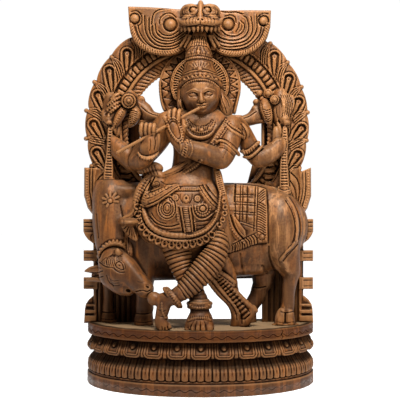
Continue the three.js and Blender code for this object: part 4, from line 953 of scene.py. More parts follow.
def build_crest(h):
    c = Clay((-178, -66, 770), (174, 104, 918), h)
    rel = crest_board()
    wings = [(128.0, 6.5), (150, 7.2), (166, 8.2), (176, 9.2), (200, 9.6), (224, 10.4), (250, 10.2), (271.0, 10.4), (270.4, 27), (267.6, 37), (262.0, 44.6),
             (254, 51.6), (244, 56), (233, 57), (221.5, 55), (213, 49.5), (207, 41), (200, 35), (191.5, 40), (186, 49), (180, 53.5), (171, 56),
             (161, 56.2), (150.5, 54), (141, 49.2), (134.0, 42), (130.4, 33), (129.0, 24)]
    c.slab(wings, 14, 98, relief=rel, round_=4)
    # hidden mass that ties the crest to the arch
    c.slab([(132, 38), (150, 20), (250, 20), (266, 38), (262, 56), (138, 56)], 58, 103, k=6)
    # strands hanging under the jaw towards the crown
    f = Board(u0=180, v0=24, u1=220, v1=56)
    f.fill([(188, 28), (212, 28), (214, 47), (207, 53), (200, 54), (193, 53), (186, 47)], 1.0)
    for i in range(9):
        a = (i - 4) / 4.0
        f.stroke([(200.2 + 6.0 * a, 29), (200.2 + 8.2 * a, 38), (200.0 + 12.0 * a, 48)], 1.9, 4.2, mode="max", base=0.6)
    c.slab([(189, 28), (211.5, 28), (214.5, 50), (185.5, 50)], 2, 60, relief=f, round_=2, k=3)
    for s in (-1, 1):
        c.limb([(200 + s * 8.4, 31, -6, 4, 5), (200 + s * 10.6, 39, -8, 4, 5), (200 + s * 14.6, 47, -2, 4, 5)], k=2)
        c.limb([(200 + s * 11.0, 31, 0, 4, 5), (200 + s * 13.6, 38, -2, 4, 5), (200 + s * 19.0, 46, 4, 4, 5)], k=2)
    # monster face: low broad skull, swollen brows, flat snout over a row of teeth
    c.ball((200.0, 15.6, -8), (47, 32, 25), k=4)
    c.limb([(186.6, 20.6, -4, 16, 24), (200, 20.4, -10, 16, 31), (213.4, 20.6, -4, 16, 24)], k=4, own=6)
    c.ball((200.2, 20.6, -38), (30, 13, 10), k=4)
    c.limb([(184.6, 23.0, -30, 7, 9), (192, 22.6, -42, 8.4, 9), (200.2, 22.4, -46, 8.6, 9), (208.4, 22.6, -42, 8.4, 9), (215.8, 23.0, -30, 7, 9)], k=3, own=4)
    for s in (-1, 1):
        c.ball((200.2 + s * 10.2, 10.6, -14), (22, 21, 15.5), k=5)
        c.limb([(200.2 + s * 3.2, 8.2, -28, 4, 5), (200.2 + s * 7.6, 5.9, -32, 4.6, 5), (200.2 + s * 13.4, 6.5, -30, 4.6, 5), (200.2 + s * 17.6, 9.8, -22, 4.4, 5), (200.2 + s * 18.6, 14.4, -16, 4, 5)], k=2, own=2)
        c.ball((200.2 + s * 6.8, 10.4, -31), (11.5, 7, 10), k=2, cut=True)
        c.ball((200.2 + s * 6.8, 10.6, -30), (8.4, 9, 7.6), k=1)
        c.limb([(200.2 + s * 13.4, 9.6, -30, 3.6, 4), (200.2 + s * 15.4, 12.4, -27, 3.6, 4), (200.2 + s * 12.4, 14.6, -31, 3.4, 4), (200.2 + s * 9.4, 15.0, -35, 3.2, 4)], k=2, own=2)
        c.ball((200.2 + s * 12.0, 18.4, -29), (15, 14, 8), k=4)
        c.limb([(200.2 + s * 0.8, 22.6, -45, 6.5, 8), (200.2 + s * 6, 22.4, -44, 7.6, 8.5), (200.2 + s * 12.6, 23.0, -37, 7.6, 8.5), (200.2 + s * 18.0, 22.8, -24, 6.4, 8), (200.2 + s * 20.4, 20.6, -10, 4.4, 6)], k=2.5, own=4)
    c.limb([(200.6, 1.6, -14, 3.0, 3.5), (200.6, 4.4, -26, 6.8, 8), (200.5, 8.6, -34, 6.4, 7.5), (200.3, 13, -38, 5.4, 7), (200.2, 17.6, -42, 7, 8)], k=2.5)
    c.ball((200.2, 18.8, -44), (8.6, 7, 5.6), k=3)
    # open mouth: hollow behind the teeth
    c.ball((200, 31.0, -14), (44, 27, 10), k=2, cut=True)
    for i, (u, big) in enumerate([(182.2, .7), (185.6, .95), (189.6, 1.1), (194.0, 1.1), (198.0, .7), (202.0, .7), (206.4, 1.1), (210.8, 1.1), (214.8, .95), (218.2, .7)]):
        y = -46 + 0.075 * (u - 200.3) ** 2 + 3
        c.limb([(u, 25.4, y, 5.2 * big, 5.4), (u, 28.2, y - 2, 4.6 * big, 4.6), (u + 0.06 * (u - 200.2), 32.0, y - 1, 1.0, 1.2)], k=1, n=2)
    g = Board(u0=170, v0=-4, u1=230, v1=36)
    for s in (-1, 1):
        m = (lambda L: [(200.2 + s * (u - 200.2), v) for u, v in L])
        g.stroke(circle(200.2 + s * 6.8, 10.6, 4.6, 0, 360, 18), 0.9, -1.5, mode="add", smoothn=1)
        for q in range(3):
            g.stroke(m([(204.6 + 1.2 * q, 3.6 + 0.5 * q), (210.0 + 0.6 * q, 2.6 + 1.5 * q), (216.6 - 0.5 * q, 6.4 + 1.3 * q)]), 0.9, -1.4, mode="add")
        g.stroke(m([(212.6, 8.4), (215.6, 10.4), (215.4, 13.4), (212.0, 14.4)]), 0.9, -1.6, mode="add")
        g.stroke(m([(203.4, 16.0), (209, 17.0), (215, 16.4), (220, 17.8)]), 1.1, -1.5, mode="add")
        g.stroke(m([(200.8, 24.8), (206, 25.4), (213, 26.2), (220, 24.6)]), 1.0, -1.8, mode="add")
        for q in range(4):
            g.stroke(m([(203.6 + 3.2 * q, 17.6), (205.2 + 3.2 * q, 20.4), (204.6 + 3.2 * q, 23.6)]), 0.9, -1.2, mode="add")
        g.dot(200.2 + s * 2.0, 19.6, 1.1, -4.0, mode="add")
    g.stroke([(200.2, 20.6), (200.2, 24.0)], 1.0, -2.4, mode="add")
    c.carve(g)
    return c


# ------------------------------------------------------------------ halo
def build_halo(h):
    c = Clay((-106, -2, 620), (104, 70, 850), h)
    # rim of the disc beside the cheeks
    c.limb([(160.2, 82, 44, 3.4, 13), (160.5, 92, 44, 3.4, 13), (161.5, 100, 44, 3.4, 13), (163.0, 106, 44, 3.4, 13), (164.8, 110.5, 44, 3.4, 13)], k=1)
    c.limb([(239.2, 92.5, 44, 3.4, 13), (237.4, 100, 44, 3.4, 13), (235.6, 107.5, 44, 3.4, 13), (234.4, 113, 44, 3.4, 13)], k=1)
    b = Board(u0=150, v0=40, u1=250, v1=130)
    U, V = b.u[:, None], b.v[None, :]
    cu, cv = 200.0, 86.0
    rr = np.hypot((U - cu) / 41.0, (V - cv) / 39.0)
    ang = np.degrees(np.arctan2(U - cu, -(V - cv)))
    band = (rr > 0.66) & (rr < 1.0)
    t = (rr - 0.68) / 0.30
    tri = np.abs(np.mod(np.abs(ang) / 14.0 + 0.25, 1.0) - 0.5) * 2
    gap_ = (t - 0.12 - 0.70 * tri) * 0.30 * 40
    zig = np.exp(-(gap_ / 0.85) ** 2)
    b.h = np.where(band, 1.5 - 3.6 * zig - 1.6 * smooth(-gap_, 0.0, 1.2) * smooth(t, 0.0, 0.05), 0).astype(np.float32)
    b.h += (np.where(band, -1.8 * np.exp(-(((rr - 0.965) * 40) / 0.6) ** 2), 0)).astype(np.float32)
    for k in range(-9, 10):
        for q, r_, in ((0.0, 0.90), (7.0, 0.78)):
            a = math.radians(k * 14.0 + q + 3.5)
            b.dot(cu + 41 * r_ * math.sin(a), cv - 39 * r_ * math.cos(a), 1.1, -2.6, mode="add")
    out = [(cu + 41 * math.sin(a), cv - 39 * math.cos(a)) for a in np.radians(np.linspace(0, 360, 73)[:-1])]
    c.slab(out, 40, 62, relief=b, round_=3)
    c.slab([(160.6, 92), (162.0, 102), (165.6, 112.6), (176, 121), (190, 120), (186, 96)], 40, 62, round_=3, k=2)
    c.slab([(239.8, 92), (237.6, 102), (232.6, 113.6), (231.0, 118.6), (222, 121), (212, 118), (214, 96)], 40, 62, round_=3, k=2)
    # rib halo close behind the crown
    r = Board(u0=165, v0=50, u1=235, v1=120)
    U, V = r.u[:, None], r.v[None, :]
    cu, cv = 199.8, 84.5
    ru, rv = 29.4, 29.2
    rr = np.hypot((U - cu) / ru, (V - cv) / rv)
    ang = np.degrees(np.arctan2((U - cu) / ru, -(V - cv) / rv))
    ph = np.mod(ang / 5.8, 1.0)
    rib = 4.6 * np.sqrt(np.clip(1 - ((ph - 0.5) / 0.34) ** 2, 0, 1)) - 2.2
    hh = np.where((rr > 0.66) & (rr < 0.90), rib, 0)
    hh = np.where((rr >= 0.90) & (rr < 0.945), 3.4, hh)
    hh = np.where((rr >= 0.945) & (rr < 0.962), 0.6, hh)
    hh = np.where((rr >= 0.962) & (rr < 1.0), 4.2, hh)
    r.h = hh.astype(np.float32)
    out = [(cu + ru * math.sin(a), cv - rv * math.cos(a)) for a in np.radians(np.linspace(-122, 122, 50))]
    c.slab(out, 14, 46, relief=r, round_=2)
    # bridge up into the crest
    c.slab([(176, 40), (224, 40), (226, 64), (174, 64)], 44, 66, k=4)
    return c


# ------------------------------------------------------------------ makaras
def trunk(c, pts, rails, rungs):
    c.limb(pts, k=2, own=3)


def ladder(b, pts, widths, n, hgt=3.0, rail=1.3):
    """Two smooth rails with rungs between, following pts; widths in grid units."""
    p = spline([list(q) + [w] for q, w in zip(pts, widths)], 6)
    xy, w = p[:, :2], p[:, 2]
    t = np.gradient(xy, axis=0)
    nrm = np.stack([-t[:, 1], t[:, 0]], 1) / np.hypot(t[:, 0], t[:, 1])[:, None]
    for s in (-1, 1):
        b.stroke(xy + nrm * (w[:, None] / 2 - rail * 0.45) * s, rail, hgt, smoothn=1)
    seg = np.hypot(*(xy[1:] - xy[:-1]).T)
    cum = np.concatenate([[0], np.cumsum(seg)])
    for i in range(n):
        a = cum[-1] * (i + 0.5) / n
        q = np.array([np.interp(a, cum, xy[:, 0]), np.interp(a, cum, xy[:, 1])])
        m = np.array([np.interp(a, cum, nrm[:, 0]), np.interp(a, cum, nrm[:, 1])])
        ww = np.interp(a, cum, w) / 2 - rail * 0.6
        th = cum[-1] / n
        b.stroke([q - m * ww, q + m * ww], th * 0.72, hgt * 0.85, smoothn=1, power=0.6)


def build_makaras(h):
    c = Clay((-268, -2, 448), (260, 74, 720), h)
    # ---- left head
    c.limb([(110, 98, 52, 14, 16), (113, 108, 48, 24, 20), (112, 120, 46, 22, 18), (111, 130, 46, 12, 12)], k=5, own=5)
    c.limb([(128.6, 101, 56, 20, 20), (128.6, 101, 34, 18.5, 18.5)], k=1, own=0, n=1)
    c.limb([(128.6, 101, 34, 18.5, 18.5), (128.6, 101, 25, 18.2, 18.2)], k=1, own=0, n=1)
    for p0, p1, w in (((120.0, 97.6), (108.4, 104.4), 4.2), ((121.0, 101.6), (107.6, 109.6), 4.6), ((121.0, 105.0), (108.6, 114.2), 4.4), ((119.4, 93.8), (111.6, 98.6), 3.6)):
        m = ((p0[0] + p1[0]) / 2, (p0[1] + p1[1]) / 2 - 1.0)
        c.limb([(p0[0], p0[1], 34, w * 0.8, 6), (m[0], m[1], 27, w, 7), (p1[0], p1[1], 33, w * 0.9, 6)], k=1.5)
    # long leaf and ribbed lobe below the disc
    c.limb([(124.6, 108.4, 38, 7, 9), (121.6, 113, 30, 10.5, 12), (117.6, 120, 28, 9.5, 11), (114.4, 127, 32, 6, 8), (115.6, 132.6, 36, 5, 7)], k=1.5)
    c.limb([(134.4, 107.6, 36, 9, 9), (135.4, 114, 28, 13.5, 12), (132.8, 121, 30, 10.5, 11), (130.4, 125.6, 36, 5, 8)], k=1.5)
    c.limb([(118, 128, 40, 6, 8), (117.6, 134, 40, 5.5, 8), (114.6, 138, 42, 4, 6)], k=2)
    # snout
    c.ball((108.2, 119.6, 34), (11, 12, 11), k=4)
    c.ball((109.2, 122.8, 27), (8.5, 8, 6.5), k=3)
    c.limb([(104.6, 113, 40, 8, 10), (105.4, 119, 36, 8, 10), (106.6, 124, 34, 6, 8)], k=3)
    # knob and block right of the disc
    c.ball((141.4, 100.8, 42), (9.5, 11, 12.5), k=3)
    c.limb([(129, 94, 50, 12, 9), (134.4, 99.4, 48, 12, 9), (141.0, 106.6, 44, 11, 10), (146.6, 112.6, 40, 10, 10)], k=4)
    c.limb([(139, 121.4, 46, 6, 10), (152, 121.4, 44, 6, 10)], k=3)
    # trunk
    c.limb([(110.2, 127, 34, 5.4, 6), (109.8, 140, 31, 6.6, 7), (109.6, 157, 28, 8.4, 8), (108.8, 169, 25, 11, 8.5), (108.6, 177, 24, 12.5, 9),
            (108.8, 183, 24, 17, 10), (108.8, 187.0, 26, 19, 10)], k=2, own=3)
    c.limb([(109.8, 132, 46, 7, 14), (109.4, 158, 42, 9, 16), (108.8, 184, 40, 15, 16)], k=3)
    # ---- right head
    c.limb([(280, 94, 54, 16, 16), (281, 104, 50, 24, 20), (282, 116, 47, 24, 19), (284, 126, 45, 13, 13)], k=5, own=5)
    for u, v, y, r in ((268, 93.6, 34, 11.5), (274.6, 99.8, 29, 11.5), (259.4, 93.4, 42, 8), (262.4, 99.0, 40, 6.5)):
        c.ball((u, v, y), (r, r * 0.9, r), k=1.5)
    for i in range(6):
        t = i / 5
        c.limb([(280.4 + 2.4 * i, 93.6 + 0.6 * i, 44, 3.6, 5), (282.6 + 2.1 * i, 100 + 0.8 * i, 33 + 1.2 * i, 4.2, 7), (283.6 + 1.3 * i, 109 + 0.6 * i, 31 + 1.0 * i, 4.2, 7), (282.6 + 0.8 * i, 117, 36, 3.0, 5)], k=1.2)
    c.limb([(264.4, 101.4, 38, 8.5, 9), (265.0, 108, 29, 13.5, 13), (267.2, 115.4, 29, 12.5, 12), (269.0, 122, 36, 7.5, 8)], k=1.5)
    c.ball((284.6, 119, 32), (12, 12, 13), k=4)
    c.ball((286.8, 122.6, 27), (8.5, 8, 7), k=3)
    c.limb([(278.4, 124, 36, 4.5, 6), (279.8, 129.6, 31, 4, 5), (280.8, 133.6, 30, 2.0, 3)], k=1.5)
    c.limb([(284.8, 127, 34, 5.2, 6), (284.6, 141, 31, 7.6, 7), (283.9, 158, 28, 8.4, 8), (284.0, 172, 26, 10.5, 9), (284.3, 185, 24, 13.0, 9)], k=2, own=3)
    c.limb([(284.4, 132, 46, 7, 14), (284.0, 158, 42, 9, 16), (284.2, 188, 40, 13, 16)], k=3)
    c.slab([(277.8, 186.6), (290.6, 186.6), (291.2, 193.6), (284.4, 195.6), (277.0, 191.8)], 12, 46, k=3, round_=2.5)
    # ---- struts to the shoulders
    c.limb([(138.6, 102.6, 46, 13, 14), (144.4, 110.6, 42, 19, 15), (151.4, 115.8, 38, 12.5, 14), (160, 117.2, 32, 9.5, 13), (168, 116.6, 26, 9, 12)], k=3)
    c.limb([(139, 112, 46, 14, 12), (147, 117.4, 42, 10, 12), (154, 119.6, 38, 7, 10)], k=3)
    c.limb([(268, 106, 48, 24, 15), (260, 112.4, 44, 23, 16), (252, 118.4, 38, 16, 15), (243, 121.4, 30, 13, 14)], k=3)
    c.ball((254.6, 108.6, 40), (7, 10, 8), k=3)
    c.limb([(249.4, 122.8, 36, 6, 10), (256, 121.6, 39, 6, 10), (263, 120.6, 42, 6, 10)], k=2)
    c.limb([(262.8, 121, 60, 4, 11), (262.8, 146, 60, 4, 11)], k=1)
    c.limb([(233.0, 117.0, 34, 5, 10), (240.6, 117.2, 34, 5, 10)], k=2)
    c.ball((256.0, 102.2, 42), (8, 10, 8), k=3)
    # ---- fine carving
    b = Board()
    u, v = 128.6, 101.0
    b.stroke(circle(u, v, 6.9, 0, 360, 26), 1.2, 1.8, smoothn=1)
    b.stroke(circle(u, v, 5.4, 0, 360, 24), 1.1, -1.6, mode="add", smoothn=1)
    b.stroke(circle(u, v, 2.6, 0, 360, 18), 0.9, -1.6, mode="add", smoothn=1)
    b.dot(u, v, 1.5, 2.4)
    for k in range(18):
        a = math.radians(k * 20)
        b.stroke([(u + 3.2 * math.sin(a), v - 3.2 * math.cos(a)), (u + 5.0 * math.sin(a), v - 5.0 * math.cos(a))], 0.7, -1.4, mode="add", smoothn=1)
    for p0, p1 in (((119.6, 98.2), (108.2, 105.0)), ((120.4, 102.0), (107.6, 110.2)), ((120.4, 105.4), (108.6, 114.6)), ((119.0, 94.2), (111.4, 99.0))):
        for i in range(6):
            t = i / 5
            b.dot(p0[0] + (p1[0] - p0[0]) * t, p0[1] + (p1[1] - p0[1]) * t, 1.05, 2.2)
    b.stroke([(124, 109), (121, 115), (117, 122), (114.8, 129)], 0.9, -2.0, mode="add")
    for i in range(7):
        t = i / 6
        b.dot(122.9 - 7.6 * t, 111.0 + 13.5 * t, 0.9, 1.8)
        b.dot(119.6 - 5.6 * t, 111.6 + 11.0 * t, 0.8, 1.4)
    for i in range(7):
        vv = 111.4 + i * 2.05
        b.stroke([(128.6 + 0.2 * i, vv + 0.5), (132.6, vv - 0.6), (137.6 - 0.5 * i, vv + 1.0)], 1.0, -2.4, mode="add")
    b.dot(108.8, 124.8, 2.2, -6.0, mode="add", ry=1.1, tilt=15)
    b.stroke([(103.6, 121.6), (106.4, 125.0), (110.4, 126.4)], 1.0, -2.4, mode="add")
    b.stroke([(104.8, 115.0), (108.0, 112.6), (112.0, 114.0)], 0.9, -1.8, mode="add")
    b.dot(108.6, 115.6, 1.4, 2.2)
    ladder(b, [(110.2, 128), (109.8, 142), (109.2, 158), (108.6, 170), (108.0, 178)], [4.6, 5.4, 6.8, 8.6, 9.2], 18, 3.2)
    for i in range(7):
        uu = 102.2 + i * 2.2
        b.stroke([(104.8 + i * 1.3, 178.2), (uu, 186.8)], 1.6, 2.6, smoothn=1)
        b.dot(uu, 187.0, 1.1, 3.4)
    b.dot(141.4, 100.8, 2.6, -1.5, mode="add")
    # right
    for uu, vv in ((268, 93.6), (274.6, 99.8)):
        b.stroke(circle(uu, vv, 3.1, 200, 520, 16), 0.9, -2.0, mode="add", smoothn=1)
        b.dot(uu, vv, 1.5, 1.6, mode="add")
    for i in range(5):
        uu = 282.2 + i * 2.1
        b.stroke([(uu - 1.4, 95), (uu + 1.4, 102), (uu + 1.2, 110), (uu - 0.4, 117)], 0.8, -2.0, mode="add")
    for i in range(6):
        vv = 109.6 + i * 2.2
        b.stroke([(263.4 + 0.5 * i, vv), (267.0 + 0.3 * i, vv + 1.0), (270.6, vv - 0.4)], 1.0, -2.3, mode="add")
    b.stroke([(261.6, 103), (262.6, 110), (266.0, 118)], 0.9, -1.6, mode="add")
    b.dot(279.2, 121.6, 1.0, -5.0, mode="add", ry=2.2, tilt=-15)
    b.dot(287.6, 125.0, 2.0, -6.0, mode="add", ry=1.0, tilt=-8)
    b.stroke([(276.0, 108), (277.0, 115), (279.0, 120)], 0.9, -1.6, mode="add")
    ladder(b, [(284.9, 128), (284.6, 142), (283.9, 158), (284.0, 172), (284.3, 187)], [4.2, 6.4, 6.8, 8.2, 9.6], 21, 3.2)
    b.stroke([(279.0, 188.6), (284.4, 190.4), (289.8, 189.0)], 0.9, -1.8, mode="add")
    b.stroke([(278.4, 191.2), (284.4, 193.2), (290.0, 191.6)], 0.9, -1.4, mode="add")
    # lines on the struts
    b.stroke([(141, 106.6), (148, 112.4), (157, 115.4), (168, 115.2)], 1.0, -2.0, mode="add")
    b.stroke([(240, 119.6), (249, 116.4), (256, 111.6)], 1.0, -2.0, mode="add")
    c.carve(b)
    return c


# ------------------------------------------------------------------ cow
def build_cow(h):
    c = Clay((-288, -78, 146), (262, 106, 496), h)
    # barrel, lying along x, and the flat-topped shoulders
    c.limb([(111, 212, 38, 54, 34), (124, 222, 34, 84, 46), (142, 229, 32, 106, 50), (170, 231, 30, 112, 52),
            (205, 230, 30, 110, 52), (235, 229, 32, 108, 52), (262, 228, 32, 104, 50), (284, 226, 36, 84, 42), (296, 226, 42, 48, 28)], own=10, n=3)
    c.limb([(111, 190, 40, 40, 40), (111, 200, 30, 42, 42), (111, 222, 22, 41, 43), (112.6, 242, 15, 39, 40), (114, 254, 8, 34, 34)], k=10, own=8)
    c.limb([(118, 190, 34, 18, 34), (128, 191, 34, 18, 34), (139, 190, 36, 18, 30)], k=10, own=6)
    c.limb([(222, 191, 36, 17, 34), (240, 192, 34, 17, 36), (262, 194, 36, 17, 34), (276, 202, 36, 17, 30)], k=8, own=6)
    c.limb([(146, 271.6, 34, 17, 32), (172, 272.0, 34, 17, 32), (204, 271.0, 34, 16, 32), (236, 269.6, 34, 16, 32), (258, 268.0, 36, 15, 30)], k=10, own=6)
    # shoulder blade and breast folds
    c.ball((131, 222, -8), (26, 62, 12), k=14)
    c.limb([(137, 240, 14, 30, 32), (143, 262, 12, 28, 28), (143, 280, 12, 25, 24)], k=10, own=6)
    # head, turned down to the foot
    c.limb([(112, 250, -4, 22, 22), (113.5, 259, -10, 34, 32), (117.5, 268, -17, 38, 36), (122, 275, -22, 35, 33)], k=8, own=8)
    c.limb([(121, 266, -20, 28, 28), (128, 273, -27, 27, 27), (135.5, 280, -34, 22.5, 23), (142, 286, -40, 19, 20), (146.4, 290, -43, 16, 17)], k=8, own=8)
    c.ball((146.6, 287.6, -46), (13.5, 13, 13), k=6)
    c.ball((143.4, 293.4, -42), (11.5, 11, 9.5), k=6)
    c.limb([(112, 281, -18, 17, 18), (121, 287.4, -22, 15, 16), (129.5, 290.6, -26, 10.5, 12)], k=9, own=8)
    c.ball((109, 274, -22), (23, 22, 28), k=10)
    # brow ridge down the nose
    c.limb([(124, 259, -38, 9, 8), (131, 268.5, -46, 9, 9), (137.8, 277.6, -51, 8, 8), (143, 283, -52, 8, 8)], k=10, own=5)
    # raised brow leaf with the eye at its lower end
    c.limb([(119.6, 254.4, -36, 16, 7), (113.6, 258.6, -35, 17, 7), (107.4, 261.4, -33, 13, 6), (102.4, 261.8, -30, 8, 5), (99.6, 261.2, -27, 2.5, 3)], k=3)
    c.limb([(113.6, 261.6, -38, 11, 6), (118.6, 265.8, -43, 12, 6.5), (122.4, 269.6, -44, 6, 5)], k=3)
    c.ball((119.0, 265.6, -47), (6.6, 5, 5.6), k=1.5)
    # horn bud, near ear leaf, upright horn-ear, far ear
    c.limb([(118.6, 256, -38, 8, 7), (117.8, 252.4, -42, 6.5, 6), (117.4, 249.6, -42, 3, 3)], k=3)
    c.limb([(128.6, 257, -16, 9, 9), (128.4, 249, -17, 10.5, 8), (126.8, 242, -14, 7.5, 7), (125.6, 236.4, -10, 2.4, 3)], k=3)
    c.limb([(104, 270.4, -2, 13, 9), (97.5, 269.8, 6, 11, 8), (91, 269.8, 12, 7.5, 6.5), (87.2, 270.6, 14, 3.6, 4.5), (84.8, 271.2, 16, 1.2, 2)], k=3)
    c.limb([(104, 276.6, 2, 12, 8), (98.6, 275.6, 10, 9, 6), (93.4, 275.4, 14, 5.5, 5)], k=3)
    c.limb([(104, 279.2, -1, 8.5, 9), (96.8, 278.9, 6, 6.2, 7.5), (91.0, 279.2, 11, 4.6, 5.5), (86.2, 280.6, 15, 1.6, 2)], k=2)
    # beaded collar cord
    c.limb([(98.6, 256.4, -14, 4.6), (101.6, 251.2, -24, 4.8), (105.6, 246.8, -31, 5), (110.6, 244.0, -34, 5), (115.7, 243.6, -33, 5), (121, 244.9, -29, 5), (125, 248, -20, 4.6)], k=2, own=2)
    # front legs
    c.limb([(110.6, 268, 50, 26, 26), (109.6, 286, 56, 15.5, 17), (109.0, 297, 58, 12.5, 14), (109.0, 305, 58, 13.5, 15), (109.0, 310, 58, 15, 16)], k=6, own=5)
    c.limb([(109.0, 310.5, 58, 14.5, 16), (109.2, 316, 57, 18, 18), (109.4, 320.8, 56, 20.5, 19)], k=2, own=3)
    c.limb([(142.8, 276, 12, 25, 24), (144.2, 290, 12, 19.5, 20), (144.6, 300, 12, 17.5, 17), (144.8, 306, 12, 19, 18), (144.8, 310, 11, 18.5, 17)], k=6, own=5)
    c.limb([(144.6, 311, 10, 18.5, 17), (144.0, 318, 8, 21, 19), (143.6, 324.6, 6, 23, 20)], k=2, own=3)
    # near hind leg
    c.limb([(280.5, 206, 12, 38, 30), (281, 222, 4, 42, 36), (281, 238, 2, 42, 38), (283.4, 252, 6, 36, 34), (288, 264, 10, 25, 27), (291.4, 273.5, 12, 17.5, 20)], k=12, own=10)
    c.limb([(291.6, 268, 8, 15, 17), (290.6, 278, 10, 16, 18), (288.8, 288, 12, 14.2, 16.5), (288.2, 298, 12, 13.4, 15.5), (287.8, 306, 12, 14.5, 16.5)], k=6, own=5)
    c.ball((295.6, 273.8, 12), (8, 12, 10), k=6)
    c.ball((290.4, 268.6, -8), (9, 8, 12), k=8)
    c.limb([(287.6, 306.6, 10, 15.6, 17), (286.6, 310.6, 9, 16.5, 18)], k=2, own=3)
    for s in (-1, 1):
        c.limb([(285.6 + s * 3.4, 312, 4, 10.5, 16), (284.9 + s * 4.0, 317.6, 1, 12.5, 17), (284.9 + s * 4.6, 323.4, -1, 13.0, 17)], k=2, own=3)
    c.limb([(275.6, 323.8, 8, 4, 16), (285, 324.2, -6, 5, 12), (294.2, 323.6, 8, 4, 16)], k=2, own=3)
    # far hind leg: hock above, shank stepping back to the left
    c.limb([(264, 262, 50, 34, 24), (263, 276, 54, 26, 22), (263, 284, 56, 22, 20)], k=8, own=5)
    c.limb([(261.4, 284, 54, 20, 15), (259.6, 290, 54, 19.5, 15), (257.0, 297, 54, 18, 15), (253, 303, 52, 17, 14), (250.4, 309, 50, 14, 14)], k=2, own=4)
    c.limb([(252.5, 308, 48, 11, 13), (251.6, 313, 46, 11, 13), (251, 322, 46, 13, 15)], k=2, own=3)
    # tail
    c.limb([(288.6, 199, 2, 4, 4.5), (293.4, 205, -4, 5.0, 5.5), (297.4, 213, -4, 5.4, 6), (299.6, 224, -2, 5.6, 6), (299.2, 234, -6, 5.6, 6), (296.6, 242, -14, 5.2, 6)], k=1.5, own=3)
    c.limb([(296.4, 243, -15, 5.6, 6), (291.6, 248.6, -22, 8.2, 6.5), (287.4, 253.6, -23, 6.8, 5.5), (284, 257.2, -20, 2, 2.5)], k=1.5, own=3)
    # blanket
    cloth = [(224, 184), (240, 184.2), (257.6, 186), (266.4, 189), (267.6, 215), (267.8, 242.6), (258, 243.6), (248.5, 246.6), (240.5, 249.9), (231.7, 252.6), (224, 253.4)]
    b = Board(u0=215, v0=176, u1=275, v1=260)
    b.fill(cloth, 3.2, edge=0.7)
    b.fill([(258.4, 186.8), (265.2, 188.6), (266.2, 215), (266.4, 241.4), (258.4, 242.2), (257.4, 215)], 1.6, base=3.2, edge=0.5)
    for x0, x1, x2 in ((257.9, 257.4, 256.4), (255.6, 254.8, 253.6)):
        b.stroke([(x0, 186.6), (x1, 205), (x2, 231)], 0.9, -2.2, mode="add")
    for us in ((240.6, 240.2, 239.6), (243.0, 242.5, 242.0), (247.6, 247.2, 246.4), (234.6, 235.4, 235.4)):
        b.stroke([(us[0], 185), (us[1], 204), (us[2], 222)], 0.9, -2.0, mode="add")
    for v0, v1 in ((194.4, 195.2), (197.0, 196.8), (202.0, 203.2), (204.2, 205.4), (211.2, 213.0), (213.6, 215.2), (219.6, 226.4), (221.9, 229.0)):
        b.stroke([(234, v0), (246, (v0 + v1) / 2), (255.6, v1)], 0.85, -1.9, mode="add")
    b.fill([(230, 197), (238, 199), (238, 214), (234, 214), (229, 208)], 0.0, edge=0.5)
    for u0, v0, u1, v1 in ((242.6, 187, 246.6, 193.2), (249.0, 186.8, 255.0, 193.6), (237.0, 197.2, 239.8, 201.4), (243.8, 197.4, 247.2, 202.2), (248.6, 198, 254.6, 203),
                           (229, 205, 238.4, 210.6), (243.4, 205.4, 246.8, 211), (248.2, 206, 254.4, 212.6), (236.8, 215, 239, 219.6), (243.2, 214.6, 246.0, 220.2), (248, 216, 254, 222.4)):
        b.fill([(u0, v0), (u1, v0), (u1, v1), (u0, v1)], 1.3, mode="add", edge=0.8)
    b.stroke([(235.6, 184.6), (235.2, 192), (234.4, 201)], 1.7, -4.2, mode="add")
    # hatched border: the strokes fan one way above and the other below
    for i in range(18):
        v = 190.4 + i * 2.45
        if i < 5:
            pts = [(258.8, v + 3.6), (261.6, v + 1.0), (264.9, v - 1.4)]
        else:
            pts = [(258.2, v - 0.6), (261.0, v + 0.4), (265.6, v + 3.4)]
        if v < 233:
            b.stroke(pts, 1.15, -2.6, mode="add")
    b.stroke(circle(262.0, 237.2, 3.1, 0, 340, 14), 1.0, -2.2, mode="add", closed=True, smoothn=1)
    b.dot(262.0, 237.2, 1.5, 1.5, mode="add")
    for i in range(9):
        a = math.radians(i * 40)
        b.dot(262.0 + 4.3 * math.sin(a), 237.2 + 4.3 * math.cos(a), 0.7, -1.6, mode="add")
    # lower hem: fanning strokes
    hem_t = spline([(231, 244.6), (238, 241.6), (246, 237.4), (256.6, 232.6)], 8)
    hem_b = spline([(228, 252.6), (236, 251.2), (246, 247.0), (257.4, 243.0)], 8)
    b.stroke(hem_t, 1.0, -2.4, mode="add", smoothn=1)
    n = len(hem_t)
    for i in range(1, 13):
        t = i / 13
        a = hem_t[int(t * (n - 1))]
        q = hem_b[int(min(t + 0.10, 1) * (n - 1))]
        b.stroke([a + (0, 0.8), (a + q) / 2 + (0.9, -0.4), q], 1.2, -3.0 if i % 3 == 0 else -2.3, mode="add")
    # two leaf swags and a pearl string over the cloth
    b.fill([(232.6, 213.6), (235.4, 217), (240, 223), (245.6, 230.4), (246.4, 237), (243.6, 238), (239, 234.6), (235.2, 227.6), (232.8, 219.6)], 2.4, base=3.2, edge=0.9, dome=1.4)
    b.stroke([(233.8, 216), (236.2, 224), (240.2, 231), (244.6, 236)], 0.9, -1.4, mode="add")
    b.stroke([(230.6, 215.4), (232.4, 222.6), (236.4, 230.6), (243.2, 238.8)], 1.6, -4.5, mode="add")
    b.beads([(227.6, 219.8), (229.4, 226.4), (233.2, 231.6), (238.4, 237.4), (244, 243)], 1.15, 3.4, pitch=3.0, base=2.4)
    b.fill([(226.4, 219), (229, 229), (233, 235), (237.6, 240.4), (231.4, 243.6), (228, 238)], -1.4, mode="add", edge=0.8)
    c.carve(b)
